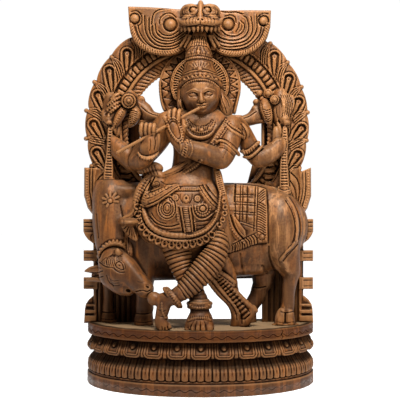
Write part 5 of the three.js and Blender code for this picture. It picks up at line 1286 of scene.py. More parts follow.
    # carving on the bare body
    g = Board(u0=82, v0=178, u1=306, v1=330)
    # tail in low relief, laid along the rump, its tuft swinging forward
    g.stroke([(287.6, 197.6), (293.4, 207.0), (297.0, 218.0), (298.0, 230.0), (296.2, 240.4)], 2.7, 2.6, mode="add")
    g.stroke([(296.8, 240.6), (292.6, 246.4), (287.6, 251.6), (283.0, 256.6), (280.6, 260.0)], 3.2, 2.4, mode="add")
    for pts, w, d in (([(285.6, 200.6), (291.0, 210.0), (294.4, 221.0), (295.0, 232.0), (292.8, 242.0)], 1.2, -1.8),
                      ([(297.5, 244.6), (292.4, 250.4), (287.2, 256.0), (283.4, 261.0)], 1.2, -1.8),
                      ([(262.4, 266.0), (265.4, 271), (270.4, 275.4), (276, 280.2)], 4.0, -1.0),
                      ([(268.8, 247), (269.4, 256), (272.6, 266), (278.0, 275)], 3.2, -1.0),
                      ([(96.6, 214), (97.4, 226), (98.6, 238)], 1.8, -0.9),
                      ([(120.6, 206), (123.4, 220), (124.0, 236)], 2.2, -1.2),
                      ([(131.6, 230), (128.4, 240), (128.6, 250)], 1.8, -1.4),
                      ([(268.0, 200), (268.6, 216), (268.8, 243)], 1.1, -1.6),
                      ([(240.4, 254), (241.6, 264), (243.2, 273)], 3.2, -1.0),
                      ([(265.6, 286.6), (258.6, 287.8), (253, 286.8)], 1.2, -3.2)):
        g.stroke(pts, w, d, mode="add")
    # cloven front of the near hoof and coronet lines
    g.stroke([(285.2, 313), (284.9, 322)], 1.3, -3.4, mode="add")
    g.stroke([(281, 311.8), (286.4, 312.8), (293.4, 311.4)], 1.0, -2.2, mode="add")
    g.stroke([(276.6, 322.0), (285, 323.2), (293.6, 322.0)], 0.8, -1.6, mode="add")
    for u in (109.2, 142.6):
        g.stroke([(u - 8.5, 311.6 if u < 120 else 313), (u, 312.6 if u < 120 else 314), (u + 8.5, 311.6 if u < 120 else 313)], 1.0, -2.2, mode="add")
        g.stroke([(u - 8.6, 318.6 if u < 120 else 321.4), (u, 319.6 if u < 120 else 322.6), (u + 8.6, 318.6 if u < 120 else 321.4)], 0.8, -1.5, mode="add")
    # an upright groove on a front leg
    g.stroke([(114.0, 300), (113.6, 309)], 1.2, -2.4, mode="add")
    # leaf spray on the shoulder
    for a, r0, r1, w in ((-150, 2.4, 6.6, 2.3), (-110, 2.6, 7.2, 2.4), (-72, 2.8, 7.6, 2.4), (-35, 3.0, 7.4, 2.2), (2, 3.0, 8.0, 2.4), (38, 3.0, 9.2, 2.6), (66, 3.2, 9.6, 2.4), (98, 3.0, 8.2, 2.2)):
        t = math.radians(a)
        p0 = (110.0 + r0 * math.sin(t), 200.6 - r0 * math.cos(t))
        p1 = (110.0 + r1 * math.sin(t), 200.6 - r1 * math.cos(t))
        g.stroke([p0, p1], w, 2.2, mode="max", smoothn=1)
        g.stroke([p0, p1], 0.7, -1.4, mode="add", smoothn=1)
    g.dot(110, 200.8, 2.7, 2.6)
    g.stroke(circle(110, 200.8, 2.9, 0, 360, 14), 0.8, -1.5, mode="add", smoothn=1)
    # collar beads and grooves round the poll
    g.beads([(98.6, 252.4), (101.2, 248.4), (104.4, 245.0), (109.2, 242.0), (114.6, 241.0), (120.4, 241.6), (124, 244)], 1.55, 3.6, pitch=3.7)
    g.stroke([(99.6, 258.4), (101.9, 252.9), (106.4, 248.2), (111.8, 246.0), (117.2, 246.0), (121.8, 248.6)], 1.1, -3.4, mode="add")
    g.rope([(98.0, 255.4), (101.4, 250.2), (105.9, 245.9), (110.6, 243.6), (115.8, 243.0), (121.0, 244.6), (124.6, 247.6)], 2.2, 1.6, 1.9, slant=1.0)
    # hair combed from the horn bud down to the rim of the brow leaf
    for i in range(5):
        a = i / 4
        g.stroke([(112.4 + 2.4 * a, 254.4 + 1.2 * a), (108.0 + 5.6 * a, 257.8 + 1.0 * a), (106.6 + 7.6 * a, 261.6 + 0.8 * a), (107.2 + 8.0 * a, 265.6 + 0.8 * a)], 0.85, -2.4, mode="add")
    for i in range(3):
        g.stroke([(103.2 + 1.4 * i, 259.4 - 1.1 * i), (101.9 + 1.9 * i, 261.4 - 0.2 * i), (103.2 + 1.7 * i, 263.8 + 0.5 * i)], 0.8, -1.8, mode="add")
    for i in range(4):
        g.stroke([(114.8 + 0.5 * i, 254.6 + 1.75 * i), (118.4, 256.6 + 1.5 * i), (122.4 - 0.2 * i, 254.0 + 1.9 * i)], 0.75, -1.9, mode="add")
    g.stroke([(99.4, 262.0), (103.4, 265.4), (108.0, 267.2), (112.6, 267.7), (116.6, 271.0), (121.0, 272.6), (124.2, 272.0)], 1.2, -2.2, mode="add")
    # eye with its lids, then the folds round it
    g.stroke([(115.6, 264.2), (117.6, 262.0), (120.4, 262.2), (122.6, 265.0), (123.8, 269.4)], 0.9, -2.6, mode="add")
    g.stroke([(115.4, 264.6), (116.4, 267.2), (119.2, 268.9), (123.6, 270.0)], 0.9, -2.6, mode="add")
    g.stroke([(113.2, 264.6), (114.4, 267.8), (117.6, 270.2), (122.4, 271.2)], 0.7, -1.7, mode="add")
    g.stroke([(121.6, 260.8), (124.6, 264.6), (125.4, 268.6)], 0.8, -1.4, mode="add")
    g.dot(119.4, 265.8, 0.9, -1.6, mode="add")
    # soft folds of the cheek
    for i in range(3):
        g.stroke([(108.6 + 1.4 * i, 278.0 + 2.6 * i), (113.0 + 1.0 * i, 280.8 + 2.4 * i), (118.4 + 0.6 * i, 280.4 + 2.4 * i)], 1.3, -0.9, mode="add")
    g.dot(147.4, 287.0, 1.9, -5.5, mode="add", ry=1.1, tilt=35)
    g.stroke([(145.4, 285.0), (147.6, 284.6), (149.6, 286.4)], 0.9, -1.4, mode="add")
    g.stroke([(150.2, 290.2), (146.8, 291.8), (143.4, 290.4), (140.2, 290.6), (136.0, 291.6)], 1.1, -2.6, mode="add")
    g.dot(128.4, 290.6, 2.6, -6.0, mode="add", ry=1.7, tilt=20)
    g.stroke([(106.6, 275.4), (108.6, 281.0), (113.6, 286.0)], 1.3, -1.2, mode="add")
    g.stroke([(137.4, 281.4), (140.6, 282.4), (144.4, 282.0)], 0.8, -1.0, mode="add")
    # far ear: leaf with a fold, and the edge of the upright ear
    g.stroke([(88.6, 272.6), (93.0, 272.9), (98.0, 272.6), (102.6, 271.0)], 1.1, -3.0, mode="add")
    g.stroke([(89.4, 277.4), (94.0, 276.9), (99.0, 277.4), (103.0, 276.4)], 1.0, -2.6, mode="add")
    g.stroke([(90.6, 269.0), (95.2, 267.9), (101.0, 268.2)], 0.8, -1.3, mode="add")
    g.stroke([(126.4, 238.6), (126.2, 245.6), (127.2, 253.0)], 0.9, -2.2, mode="add")
    g.stroke([(128.8, 242.0), (130.2, 248.0), (129.6, 254.0)], 0.8, -1.3, mode="add")
    # tail rings and tuft hairs
    for i in range(5):
        g.stroke([(295.2 - i * 1.6, 244.2 + i * 0.4), (291.6 - i * 1.1, 249.6 + i * 0.6), (286.8 - i * 0.4, 254.6 + i * 0.3)], 0.7, -1.2, mode="add")
    c.carve(g)
    return c


# ------------------------------------------------------------------ head and crown
def build_head(h):
    c = Clay((-80, -74, 632), (84, 52, 858), h)
    cu = 200.4
    # skull, face planes and jaw, set out in thirds from the band to the chin; the head leans a little
    def F(du, v, y, *r):
        return (199.9 + 0.075 * (v - 81) + du, v - 0.075 * du, y, *r)

    c.limb([F(0, 84, -10, 40, 40), F(0, 90, -11, 41.5, 41), F(0, 95, -12, 41, 41), F(0, 99.5, -14, 37.5, 39.5), F(0, 103.4, -17, 30.5, 35), F(0, 106.8, -21, 21, 27), F(0, 108.6, -24, 12, 18)], own=9, n=3)
    c.ball(F(0, 86.5, -30), (31, 22, 20), k=12)
    for s in (-1, 1):
        c.ball(F(s * 9.0, 99.6, -37.5), (16, 16, 14), k=11)
        c.ball(F(s * 14.6, 93.6, -26), (12, 16, 16), k=8)
    # sockets, then closed lids
    for s in (-1, 1):
        c.ball(F(s * 7.7, 94.3, -59.5), (11.5, 8.0, 6.4), k=6, cut=True)
    for s in (-1, 1):
        c.limb([F(s * 2.8, 91.6, -53.4, 3.0, 3.4), F(s * 6.8, 90.0, -53.2, 2.9, 3.4), F(s * 12.4, 91.8, -45.5, 2.4, 3.0)], k=5)
        c.ball(F(s * 7.6, 94.8, -47.4), (10.0, 7.8, 6.4), k=2)
        c.limb([F(s * 3.2, 95.8, -52.2, 1.3, 1.5), F(s * 7.4, 97.2, -54.6, 1.7, 1.9), F(s * 12.0, 95.4, -47.5, 1.2, 1.4)], k=1)
    # nose
    c.limb([F(0, 90.4, -51.5, 3.2, 4), F(0, 94.4, -56.0, 3.1, 5), F(0, 98.0, -60.0, 3.6, 5.5), F(0, 100.6, -62.6, 4.6, 6.0)], k=4, own=3)
    for s in (-1, 1):
        c.ball(F(s * 2.2, 101.4, -57.0), (3.2, 4.8, 3.1), k=2)
    # lips and chin
    c.ball(F(0, 105.4, -46.0), (12.5, 9, 8.0), k=7)
    for s in (-1, 1):
        c.limb([F(0, 105.1, -56.8, 2.2, 2.4), F(s * 2.2, 104.5, -56.6, 2.3, 2.5), F(s * 4.6, 104.9, -53.8, 1.8, 2.0), F(s * 6.6, 104.2, -49.6, 0.9, 1.2)], k=1.5)
        c.limb([F(0, 107.3, -56.0, 2.6, 2.7), F(s * 2.4, 107.0, -55.0, 2.4, 2.5), F(s * 5.2, 105.6, -51, 1.0, 1.2)], k=1.5)
    c.ball(F(0, 110.4, -42.5), (9.5, 9.5, 7.4), k=6)
    # neck
    c.limb([(cu + .4, 107, -6, 27, 27), (cu + .6, 114, -6, 25, 25), (cu + .8, 122, -6, 27, 27)], k=5)
    # hair behind the ears and the ear pendants
    c.limb([(182.4, 86, -6, 6, 12), (180.6, 94, -6, 7, 14), (180.4, 102, -8, 7.5, 14), (181.8, 109, -10, 7, 12), (184, 114, -8, 5, 8)], k=4, own=4)
    c.limb([(218.6, 86, -6, 6, 12), (220.6, 94, -6, 8, 14), (223.4, 101, -8, 13, 15), (225.6, 107.4, -11, 14.5, 13), (226.6, 112.6, -12, 10, 10), (227.0, 116.2, -10, 4, 6)], k=3, own=4)
    c.limb([(221.0, 92, -14, 5, 6), (222.4, 99, -20, 6, 6), (224.6, 106, -22, 6, 5)], k=2)
    c.ball((180.2, 103.5, -20), (6.5, 7, 11), k=2)
    # crown: band, dome, tiers and cap
    band = [(179.6, 90.0, 4, 7, 8), (181.4, 85.2, -16, 7, 7), (187.4, 81.2, -38, 6.8, 6.5), (194, 79.2, -49, 6.4, 6), (200.4, 78.6, -52.5, 6.4, 6),
            (206.8, 79.2, -49, 6.4, 6), (213.6, 81.2, -38, 6.8, 6.5), (219.6, 85.2, -16, 7, 7), (221.2, 90, 4, 7, 8)]
    c.limb(band, k=1.5, own=3)
    c.limb([(181.6, 80.6, -10, 6, 10), (188.4, 77.0, -34, 6, 8), (200.2, 74.8, -46, 6, 8), (212.4, 77.0, -34, 6, 8), (219.2, 80.6, -10, 6, 10)], k=2, own=4)
    c.ball((199.8, 76, -10), (42, 40, 32), k=2)
    c.ball((199.2, 68.6, -12), (35.6, 34, 31), k=5)
    c.limb([(198.8, 60.2, -12, 30.5, 29), (198.6, 57.6, -12, 32.5, 31), (198.4, 55.4, -12, 29.5, 28)], k=1, own=1)
    c.limb([(198.4, 55.4, -12, 29, 27), (198.4, 50.6, -12, 27.5, 26), (198.6, 47.0, -12, 22, 22)], k=1.5, own=2)
    c.limb([(198.8, 47.4, -11, 19.5, 20), (199.2, 44.4, -10, 18.5, 18), (199.4, 41.0, -7, 16.5, 16), (199.6, 36.5, 0, 18, 16)], k=1.5, own=2)
    b = Board(u0=170, v0=34, u1=232, v1=124)
    # jewels on the band and tiers
    b.beads([(182.4, 86.6), (187.6, 82.8), (194, 80.6), (200.4, 80.0), (206.8, 80.6), (213.2, 82.8), (218.6, 86.6)], 0.95, 1.6, pitch=2.05)
    b.stroke([(180.9, 87.2), (187.0, 81.4), (194, 78.9), (200.4, 78.2), (206.8, 78.9), (213.8, 81.4), (219.9, 87.2)], 0.8, -1.5, mode="add")
    for i in range(9):
        a = -1 + 2 * i / 8
        u = 200.2 + a * 16.2
        v = 75.6 + 3.6 * a * a
        if i % 2 == 0:
            b.disc(u, v, 1.9, 2.0, edge=0.6)
            b.dot(u, v, 1.0, 3.2)
            b.stroke(circle(u, v, 1.5, 0, 360, 10), 0.5, -1.0, mode="add", smoothn=1)
        else:
            b.stroke([(u - 0.9, v - 1.6), (u + 0.2, v), (u + 0.9, v + 1.6)], 1.0, 2.0)
            b.dot(u, v - 0.2, 0.8, 2.6)
    b.stroke([(184, 74.4), (192, 71.2), (200, 70.4), (208, 71.2), (216, 74.4)], 0.9, 1.2)
    b.stroke([(184.4, 73.0), (192, 69.9), (200, 69.0), (208, 69.9), (215.6, 73.0)], 0.7, -1.1, mode="add")
    # raised leaf and rays on the dome
    for i in range(7):
        a = math.radians(-54 + i * 18)
        b.stroke([(199.6 + 6.5 * math.sin(a), 70.6 - 4.5 * math.cos(a)), (199.4 + 11.6 * math.sin(a), 68.8 - 7.6 * math.cos(a))], 1.6, 1.3)
        b.stroke([(199.6 + 6.5 * math.sin(a), 70.6 - 4.5 * math.cos(a)), (199.4 + 11.6 * math.sin(a), 68.8 - 7.6 * math.cos(a))], 0.5, -0.9, mode="add")
    b.dot(199.8, 68.6, 2.4, 2.0)
    b.beads([(185.8, 60.0), (192, 58.2), (198.6, 57.6), (205, 58.2), (211.6, 60.0)], 0.9, 1.6, pitch=2.0)
    b.stroke([(185.6, 58.2), (192, 56.3), (198.6, 55.7), (205, 56.3), (211.8, 58.2)], 0.8, -1.4, mode="add")
    b.disc(198.4, 51.4, 2.1, 2.2, edge=0.5)
    b.stroke([(198.4, 47.4), (198.4, 54.8)], 1.2, 2.6)
    b.dot(198.4, 53.8, 1.2, 3.4)
    for s in (-1, 1):
        b.stroke([(198.4 + s * 3.4, 48.6), (198.4 + s * 4.4, 54.4)], 0.7, -1.2, mode="add")
        b.stroke([(198.4 + s * 7.4, 49.6), (198.4 + s * 8.8, 54.2)], 0.7, -1.1, mode="add")
        b.dot(198.4 + s * 6.0, 52.2, 1.3, 1.6)
        b.dot(198.4 + s * 9.8, 53.2, 1.1, 1.4)
    b.stroke([(190.8, 46.8), (198.8, 45.6), (206.8, 46.8)], 0.9, -1.6, mode="add")
    b.stroke([(191.6, 43.6), (198.8, 42.4), (206.0, 43.6)], 0.8, -1.3, mode="add")
    for i in range(7):
        a = (i - 3) / 3.0
        b.stroke([(199.4 + 4.4 * a, 36), (199.2 + 6.0 * a, 40), (199.0 + 7.4 * a, 45)], 0.9, -1.8, mode="add")
    for a in (-0.92, -0.52, -0.2, 0.2, 0.52, 0.92):
        b.stroke([(198.8 + 8.6 * a, 46.8), (198.5 + 12.4 * a, 51), (198.4 + 14.4 * a, 56.4)], 0.8, -1.5, mode="add")
    for a in (-0.84, 0.84, -0.4, 0.4):
        b.stroke([(198.6 + 13.0 * a, 63.0), (199.0 + 15.6 * a, 69.5)], 0.8, -0.9, mode="add")
    # ear pendants: nested curls
    b.stroke([(221, 95), (222.2, 101), (225, 107.6), (226.6, 113)], 0.9, -1.8, mode="add")
    b.stroke([(224.4, 96.4), (227.6, 101.4), (229.2, 107)], 0.9, -1.6, mode="add")
    b.stroke([(219.4, 98), (220.2, 104), (222.6, 110.4)], 0.8, -1.3, mode="add")
    b.stroke([(180.6, 97), (178.8, 103), (180.6, 109)], 0.8, -1.6, mode="add")
    b.stroke([(182.6, 98), (182.0, 104), (183.4, 109)], 0.7, -1.2, mode="add")
    # lid lines, brow lines, parting of the lips, nostrils, philtrum
    def G(du, v):
        return F(du, v, 0)[:2]

    for s in (-1, 1):
        b.stroke([G(s * 3.0, 95.5), G(s * 7.4, 96.9), G(s * 12.2, 94.8)], 0.66, -1.7, mode="add")
        b.stroke([G(s * 3.2, 93.6), G(s * 7.4, 92.0), G(s * 12.6, 93.6)], 0.6, -1.1, mode="add")
        b.stroke([G(s * 2.4, 90.8), G(s * 7.2, 88.6), G(s * 14.0, 91.4)], 0.9, 0.9)
        b.stroke([G(s * 3.0, 92.0), G(s * 7.4, 90.1), G(s * 13.4, 92.4)], 0.55, -0.9, mode="add")
        b.dot(*G(s * 1.6, 102.8), 0.8, -1.7, mode="add", ry=0.5)
        b.stroke([G(s * 3.8, 99.8), G(s * 4.6, 102.2), G(s * 3.6, 103.2)], 0.5, -0.8, mode="add")
        b.stroke([G(s * 7.4, 102.6), G(s * 8.2, 104.6), G(s * 7.6, 106.0)], 0.6, -0.6, mode="add")
    b.stroke([G(-6.4, 104.6), G(-2.4, 105.7), G(0, 106.1), G(2.4, 105.7), G(6.4, 104.6)], 0.62, -1.8, mode="add")
    b.dot(*G(0, 103.4), 0.8, -0.8, mode="add", ry=1.1)
    b.stroke([G(-3.4, 109.4), G(0, 110.0), G(3.4, 109.4)], 0.7, -0.8, mode="add")
    # curls of hair at the band
    for i in range(9):
        a = -1 + 2 * i / 8
        b.stroke(circle(cu + a * 15.4, 83.4 + 3.0 * a * a, 1.0, 20, 320, 8), 0.6, 0.9, smoothn=1)
    c.carve(b)
    return c


# ------------------------------------------------------------------ body, arms, hands and flute
def build_body(h):
    c = Clay((-216, -98, 486), (208, 52, 712), h)
    # trunk with a bare waist
    c.limb([(200.4, 114, -4, 27, 26), (200.6, 118, -4, 44, 28), (201, 122, -4, 74, 30), (200.6, 130, -6, 76, 33), (199, 141, -7, 66, 32), (196, 153, -7, 52, 30),
            (193.6, 164, -8, 47, 30), (193, 172, -9, 48, 32), (192, 180, -10, 54, 34), (190.6, 188, -11, 62, 36)], own=8, n=3)
    for s, u in ((-1, 190.6), (1, 211.0)):
        c.ball((u, 132.5, -24), (27, 15, 22), k=10)
    c.ball((196.5, 176, -26), (30, 18, 24), k=12)
    c.ball((200.5, 122, -22), (34, 14, 16), k=8)
    # back mass that joins the arch and the cow
    c.limb([(200, 108, 26, 30, 22), (200, 126, 18, 52, 24), (197, 150, 14, 46, 24), (194, 176, 14, 46, 26), (192, 190, 18, 52, 28)], k=8, own=8)
    # necklace collar, domed, with a rolled rim
    c.limb([(183.4, 124, -22, 5, 5), (187.6, 132, -35, 4.6, 5), (193.2, 136.6, -40, 4.4, 5), (200, 138.2, -42, 4.4, 5), (206.8, 136.8, -41, 4.4, 5), (212.6, 132.6, -37, 4.6, 5), (217.6, 125, -25, 5, 5)], k=1.5, own=2)
    c.limb([(189.4, 119.6, -30, 4, 4), (194, 123.6, -33, 3.8, 4), (200, 125.0, -34, 3.8, 4), (206.4, 123.8, -33, 3.8, 4), (211.4, 120, -30, 4, 4)], k=1.5, own=2)
    c.ball((200, 129.6, -28), (34, 13, 17), k=4)
    # strap over the shoulder
    c.limb([(227.6, 120.6, -18, 8, 8), (223.2, 128, -34, 8.2, 6), (218.2, 136, -41, 8.4, 6), (213.4, 144, -44, 8.4, 6), (206, 153, -42, 8, 6), (198, 161.4, -40, 7.4, 6), (189, 169.4, -40, 7, 6),
            (179.4, 175.8, -40, 7, 7), (169, 178.8, -34, 8, 8), (160, 179.6, -24, 9, 9)], k=1.5, own=3)
    # roll of cloth above it at the waist
    c.limb([(186, 163.6, -32, 6, 7), (178.6, 168.8, -35, 9, 8), (170.6, 173.6, -33, 10, 9), (163, 176.8, -26, 9, 9)], k=2, own=4)
    # front left arm, across the chest
    c.limb([(231.6, 123.6, -4, 19, 24), (231.8, 130, -12, 22, 25), (229.6, 139, -22, 23, 25), (227.0, 147, -31, 23, 24), (223.8, 154.0, -39, 22.5, 23), (221.2, 158.6, -44, 21.5, 22)], k=5, own=8)
    c.ball((220.6, 160.0, -44), (19.5, 21, 19.0), k=6)
    c.limb([(221.6, 159.6, -46, 20.5, 20), (214.6, 157.0, -51, 20.5, 20), (204, 153.4, -57, 20.5, 20), (194.4, 150.6, -61, 18, 18), (187.4, 148.6, -64, 15.5, 15.5), (182.4, 146.6, -65, 13.5, 13.5)], k=5, own=8)
    c.ball((230.6, 124.6, -6), (21, 24, 17), k=5)
    # shoulder band and armlet
    c.limb([(224.6, 124, -24, 4, 5), (229.6, 129.8, -33, 4.6, 5), (235.4, 133.4, -32, 4.8, 5), (241.4, 136.6, -20, 4.4, 5)], k=1, own=2)
    c.limb([(226.0, 122.4, -24, 5, 5), (230.4, 126.4, -31, 6, 5), (236.0, 129.6, -29, 6, 5), (240.6, 132.6, -18, 5, 5)], k=2, own=2)
    c.limb([(215.4, 143.6, -48, 3.6, 4), (219.4, 141.2, -51, 3.8, 4.5), (225.0, 142.6, -54, 4.2, 5), (231.0, 146.6, -51, 4.2, 5), (236.4, 151.6, -40, 4.2, 5), (238.6, 154.6, -26, 4, 5)], k=1, own=2)
    c.limb([(219.6, 146.2, -51, 3, 4), (224.6, 146.4, -55, 3.2, 4), (229.8, 149.8, -52, 3.2, 4), (234.4, 154.6, -42, 3.2, 4)], k=1, own=2)
    # left cuff, hand and fingers
    c.limb([(187.2, 141.0, -70, 4, 7), (189.6, 146.6, -74, 4.4, 9), (189.0, 152.6, -72, 4.4, 9), (186.6, 156.0, -64, 4, 6)], k=1, own=2)
    c.limb([(181.8, 142.6, -70, 4, 7), (183.6, 148.0, -74, 4.4, 9), (182.8, 153.6, -70, 4.4, 8)], k=1, own=2)
    c.limb([(184.4, 147.6, -64, 14, 12), (180.2, 143.6, -63, 14, 12), (176.4, 137.4, -60, 16.5, 12), (174.0, 129.6, -57, 17.5, 12), (172.6, 123.4, -54, 16.5, 11)], k=3, own=6)
    c.ball((174.4, 130.2, -68), (11.4, 6, 21), k=2.5, tilt=-15)
    for i, (u0, u1, u2, v2) in enumerate([(167.4, 165.2, 164.8, 115.6), (171.2, 169.2, 169.4, 110.8), (175.0, 173.6, 174.2, 109.4), (178.6, 178.0, 178.8, 110.4)]):
        c.limb([(u0, 123.6, -60, 5.0, 6), (u1, 118.6, -65, 5.0, 5.8), (u2, v2 + 2.2, -63, 4.7, 5.2), (u2 + 0.8, v2, -57, 3.8, 4.2)], k=1.6, own=2.5)
    c.limb([(181.6, 136, -62, 6, 6), (183.4, 128, -62, 5.6, 5.6), (183.0, 121, -60, 5, 5), (181.0, 116, -58, 4, 4)], k=2, own=3)
    # front right arm, raised to the flute
    c.limb([(166.4, 120.6, -4, 22, 23), (159.6, 131, -5, 21.5, 23), (150.6, 144, -7, 21, 22), (142, 155, -9, 21, 22), (137.6, 161.4, -12, 20, 21)], k=5, own=8)
    c.limb([(167.0, 131.6, -2, 18, 22), (159.8, 142.6, -4, 18, 22), (151.6, 152.6, -6, 17, 20), (143.6, 160.6, -9, 15, 18)], k=5, own=6)
    c.ball((137.6, 162.0, -14), (20, 21, 19), k=6)
    c.limb([(138.6, 162.4, -18, 18.5, 18), (142.6, 160.4, -34, 17, 17), (146.6, 156.0, -46, 15.5, 15), (148.4, 150.6, -52, 15.5, 13)], k=4, own=7)
    c.limb([(148.4, 152.0, -53, 16.5, 12), (149.4, 146.6, -55, 18.5, 12), (149.8, 140.6, -55, 19, 11), (149.4, 136.0, -54, 17, 9)], k=3, own=6)
    c.ball((145.4, 147.6, -60), (12, 9, 12), k=4)
    c.limb([(139.0, 153.4, -50, 3.6, 5), (142.6, 157.0, -62, 3.8, 5), (148.0, 158.0, -66, 3.8, 5), (153.6, 156.4, -62, 3.8, 5), (157.6, 152.6, -50, 3.6, 5)], k=1, own=2)
    for i, (u0, u1, u2) in enumerate([(142.4, 141.4, 141.6), (146.4, 145.6, 145.9), (150.4, 149.7, 150.0), (153.9, 153.6, 153.8)]):
        c.limb([(u0, 137.6, -56, 4.7, 5.5), (u1 - .3, 131.0, -66, 4.6, 5.4), (u2, 125.4 + i * 0.3, -66, 4.3, 5), (u2 + .6, 123.8 + i * 0.3, -58, 3.6, 4)], k=1.6, own=2.5)
    c.limb([(155.6, 149.6, -54, 6.5, 7), (157.6, 142.0, -56, 5.6, 6), (157.8, 134.6, -57, 5.0, 5.2), (156.6, 129.6, -56, 4, 4.4)], k=2.5, own=3)
    # flute
    c.limb([(117.6, 152.6, -66, 3.9, 3.9), (158, 130.6, -63, 4.0, 4.0), (198.4, 108.6, -62, 3.7, 3.7)], k=0.6, n=1, own=0)
    # rear left arm with its armlet, hand up against the makara
    c.limb([(238, 124, 8, 18, 18), (243.4, 134, 10, 19, 20), (249.2, 146, 12, 20.5, 20.5), (255.6, 156.2, 14, 20, 20)], k=5, own=8)
    c.ball((258.0, 159.4, 14), (19.5, 19, 18), k=6)
    c.limb([(259.0, 159.2, 12, 19, 19), (267.4, 155.4, 16, 19.5, 18), (275.4, 149.6, 22, 17.5, 16), (281.4, 144.0, 28, 15, 14)], k=5, own=8)
    c.limb([(277.6, 144.0, 30, 10, 10), (277.0, 136.6, 32, 9, 9), (276.6, 129.6, 34, 8, 8)], k=4, own=5)
    c.limb([(273.0, 142.4, 20, 3.2, 4.5), (276.4, 139.6, 20, 3.4, 4.5), (280.8, 138.8, 24, 3.2, 4.5)], k=1)
    c.limb([(241.6, 151.4, 4, 4, 6), (246.4, 152.6, -6, 4.2, 6), (252.6, 148.4, -8, 4.2, 6), (258.6, 142.6, -2, 4, 6)], k=1, own=2)
    c.limb([(244.2, 157.0, 2, 3.4, 6), (249.6, 157.0, -6, 3.6, 6), (256.2, 152.2, -7, 3.6, 6), (261.6, 146.8, -1, 3.4, 6)], k=1, own=2)
    # bow of cloth on the shoulder
    c.limb([(239.0, 123.6, -6, 6, 8), (243.0, 127.6, -10, 7.5, 9), (246.4, 132.6, -9, 7.4, 9), (246.6, 137.6, -3, 6, 8)], k=1.5, own=3)
    c.limb([(238.4, 129.6, -16, 5, 6), (242.0, 133.0, -16, 5.6, 6), (243.6, 137.4, -10, 4.6, 6)], k=1.5, own=3)
    # rear right arm
    c.limb([(162, 124, 6, 16, 17), (152, 138, 8, 20, 19), (140, 155, 10, 21, 20), (133.6, 162.6, 12, 21, 20)], k=5, own=8)
    c.ball((132.6, 163.0, 10), (21, 19, 19), k=6)
    c.limb([(133, 162.6, 12, 20.5, 19), (126.0, 155.6, 16, 21, 18), (118.6, 149.0, 22, 20, 16), (112.0, 143.4, 28, 16, 13), (105.6, 137.0, 32, 11, 10)], k=5, own=8)
    c.limb([(105.6, 137.0, 32, 11, 10), (102.4, 131.0, 34, 10.5, 9), (102.8, 126.0, 36, 8, 8)], k=3, own=5)
    # carving: beads, petals, ticks
    b = Board(u0=104, v0=100, u1=292, v1=200)
    # collar petals between the two rims
    for i in range(19):
        a = math.radians(-72 + i * 8)
        p0 = (200.2 + 11.8 * math.sin(a), 116.4 + 9.6 * math.cos(a))
        p1 = (200.2 + 15.6 * math.sin(a), 116.6 + 18.2 * math.cos(a))
        b.stroke([p0, p1], 0.95, -2.0, mode="add", smoothn=1)
        q = ((p0[0] + p1[0]) / 2 + 0.9 * math.cos(a), (p0[1] + p1[1]) / 2)
        b.dot(q[0] + (p1[0] - p0[0]) * .25, q[1] + (p1[1] - p0[1]) * .25, 0.9, 1.5)
    for u, v in ((193.2, 129.4), (201.6, 130.4), (210.2, 128.8), (186.8, 126.0)):
        b.disc(u, v, 2.3, 2.2, edge=0.6)
        b.stroke(circle(u, v, 1.5, 0, 360, 12), 0.6, -1.6, mode="add", smoothn=1)
        b.dot(u, v, 0.9, 3.4)
    b.rope([(184.4, 124.6), (188.2, 131.6), (193.6, 135.8), (200, 137.4), (206.6, 136.0), (212.2, 132.2), (216.8, 125.4)], 1.6, 1.2, 1.6, slant=1.0)
    b.stroke([(190.4, 121.6), (195, 125.2), (200, 126.4), (206.2, 125.2), (210.8, 121.8)], 0.7, -1.2, mode="add")
    b.stroke([(182.2, 129.6), (188.0, 137.0), (194, 140.2), (200, 141.2), (207, 140.0), (212, 137.0)], 0.9, -1.2, mode="add")
    # strap beads on both edges
    s1 = spline([(225.6, 119.4), (221.4, 127), (216.4, 134.8), (211.2, 142.8)], 6)
    s2 = spline([(230.0, 122.6), (225.4, 130), (220.4, 137.8), (215.6, 145.6)], 6)
    b.beads(s1, 0.85, 1.9, pitch=1.9, smoothn=1)
    b.beads(s2, 0.85, 1.9, pitch=1.9, smoothn=1)
    for i in range(9):
        t = i / 8
        a = s1[int(t * (len(s1) - 1))] * 0.5 + s2[int(t * (len(s2) - 1))] * 0.5
        b.dot(a[0], a[1], 0.95, 1.5)
    s3 = [(201.6, 160.6), (197.3, 165), (192.6, 168.4), (186.6, 172.4), (181.9, 176.2), (176.5, 179.2), (168.5, 180.9), (161.8, 181.0)]
    b.beads(s3, 1.1, 2.8, pitch=2.45)
    b.stroke([(199.4, 159.4), (194.6, 163.8), (188.6, 168.0), (181.0, 173.2), (174.5, 176.4), (167, 177.9), (160.6, 177.9)], 0.8, -1.6, mode="add")
    b.stroke([(203.6, 162.6), (198.4, 167.6), (192, 171.6), (184.6, 177.0), (177.5, 181.6)], 0.8, -1.4, mode="add")
    b.stroke([(187.6, 163.6), (180, 168.6), (171.6, 172.9), (164, 174.9)], 0.9, -1.3, mode="add")
    b.stroke([(184.6, 161.4), (177.6, 165.6), (170.4, 169.6)], 0.9, -1.1, mode="add")
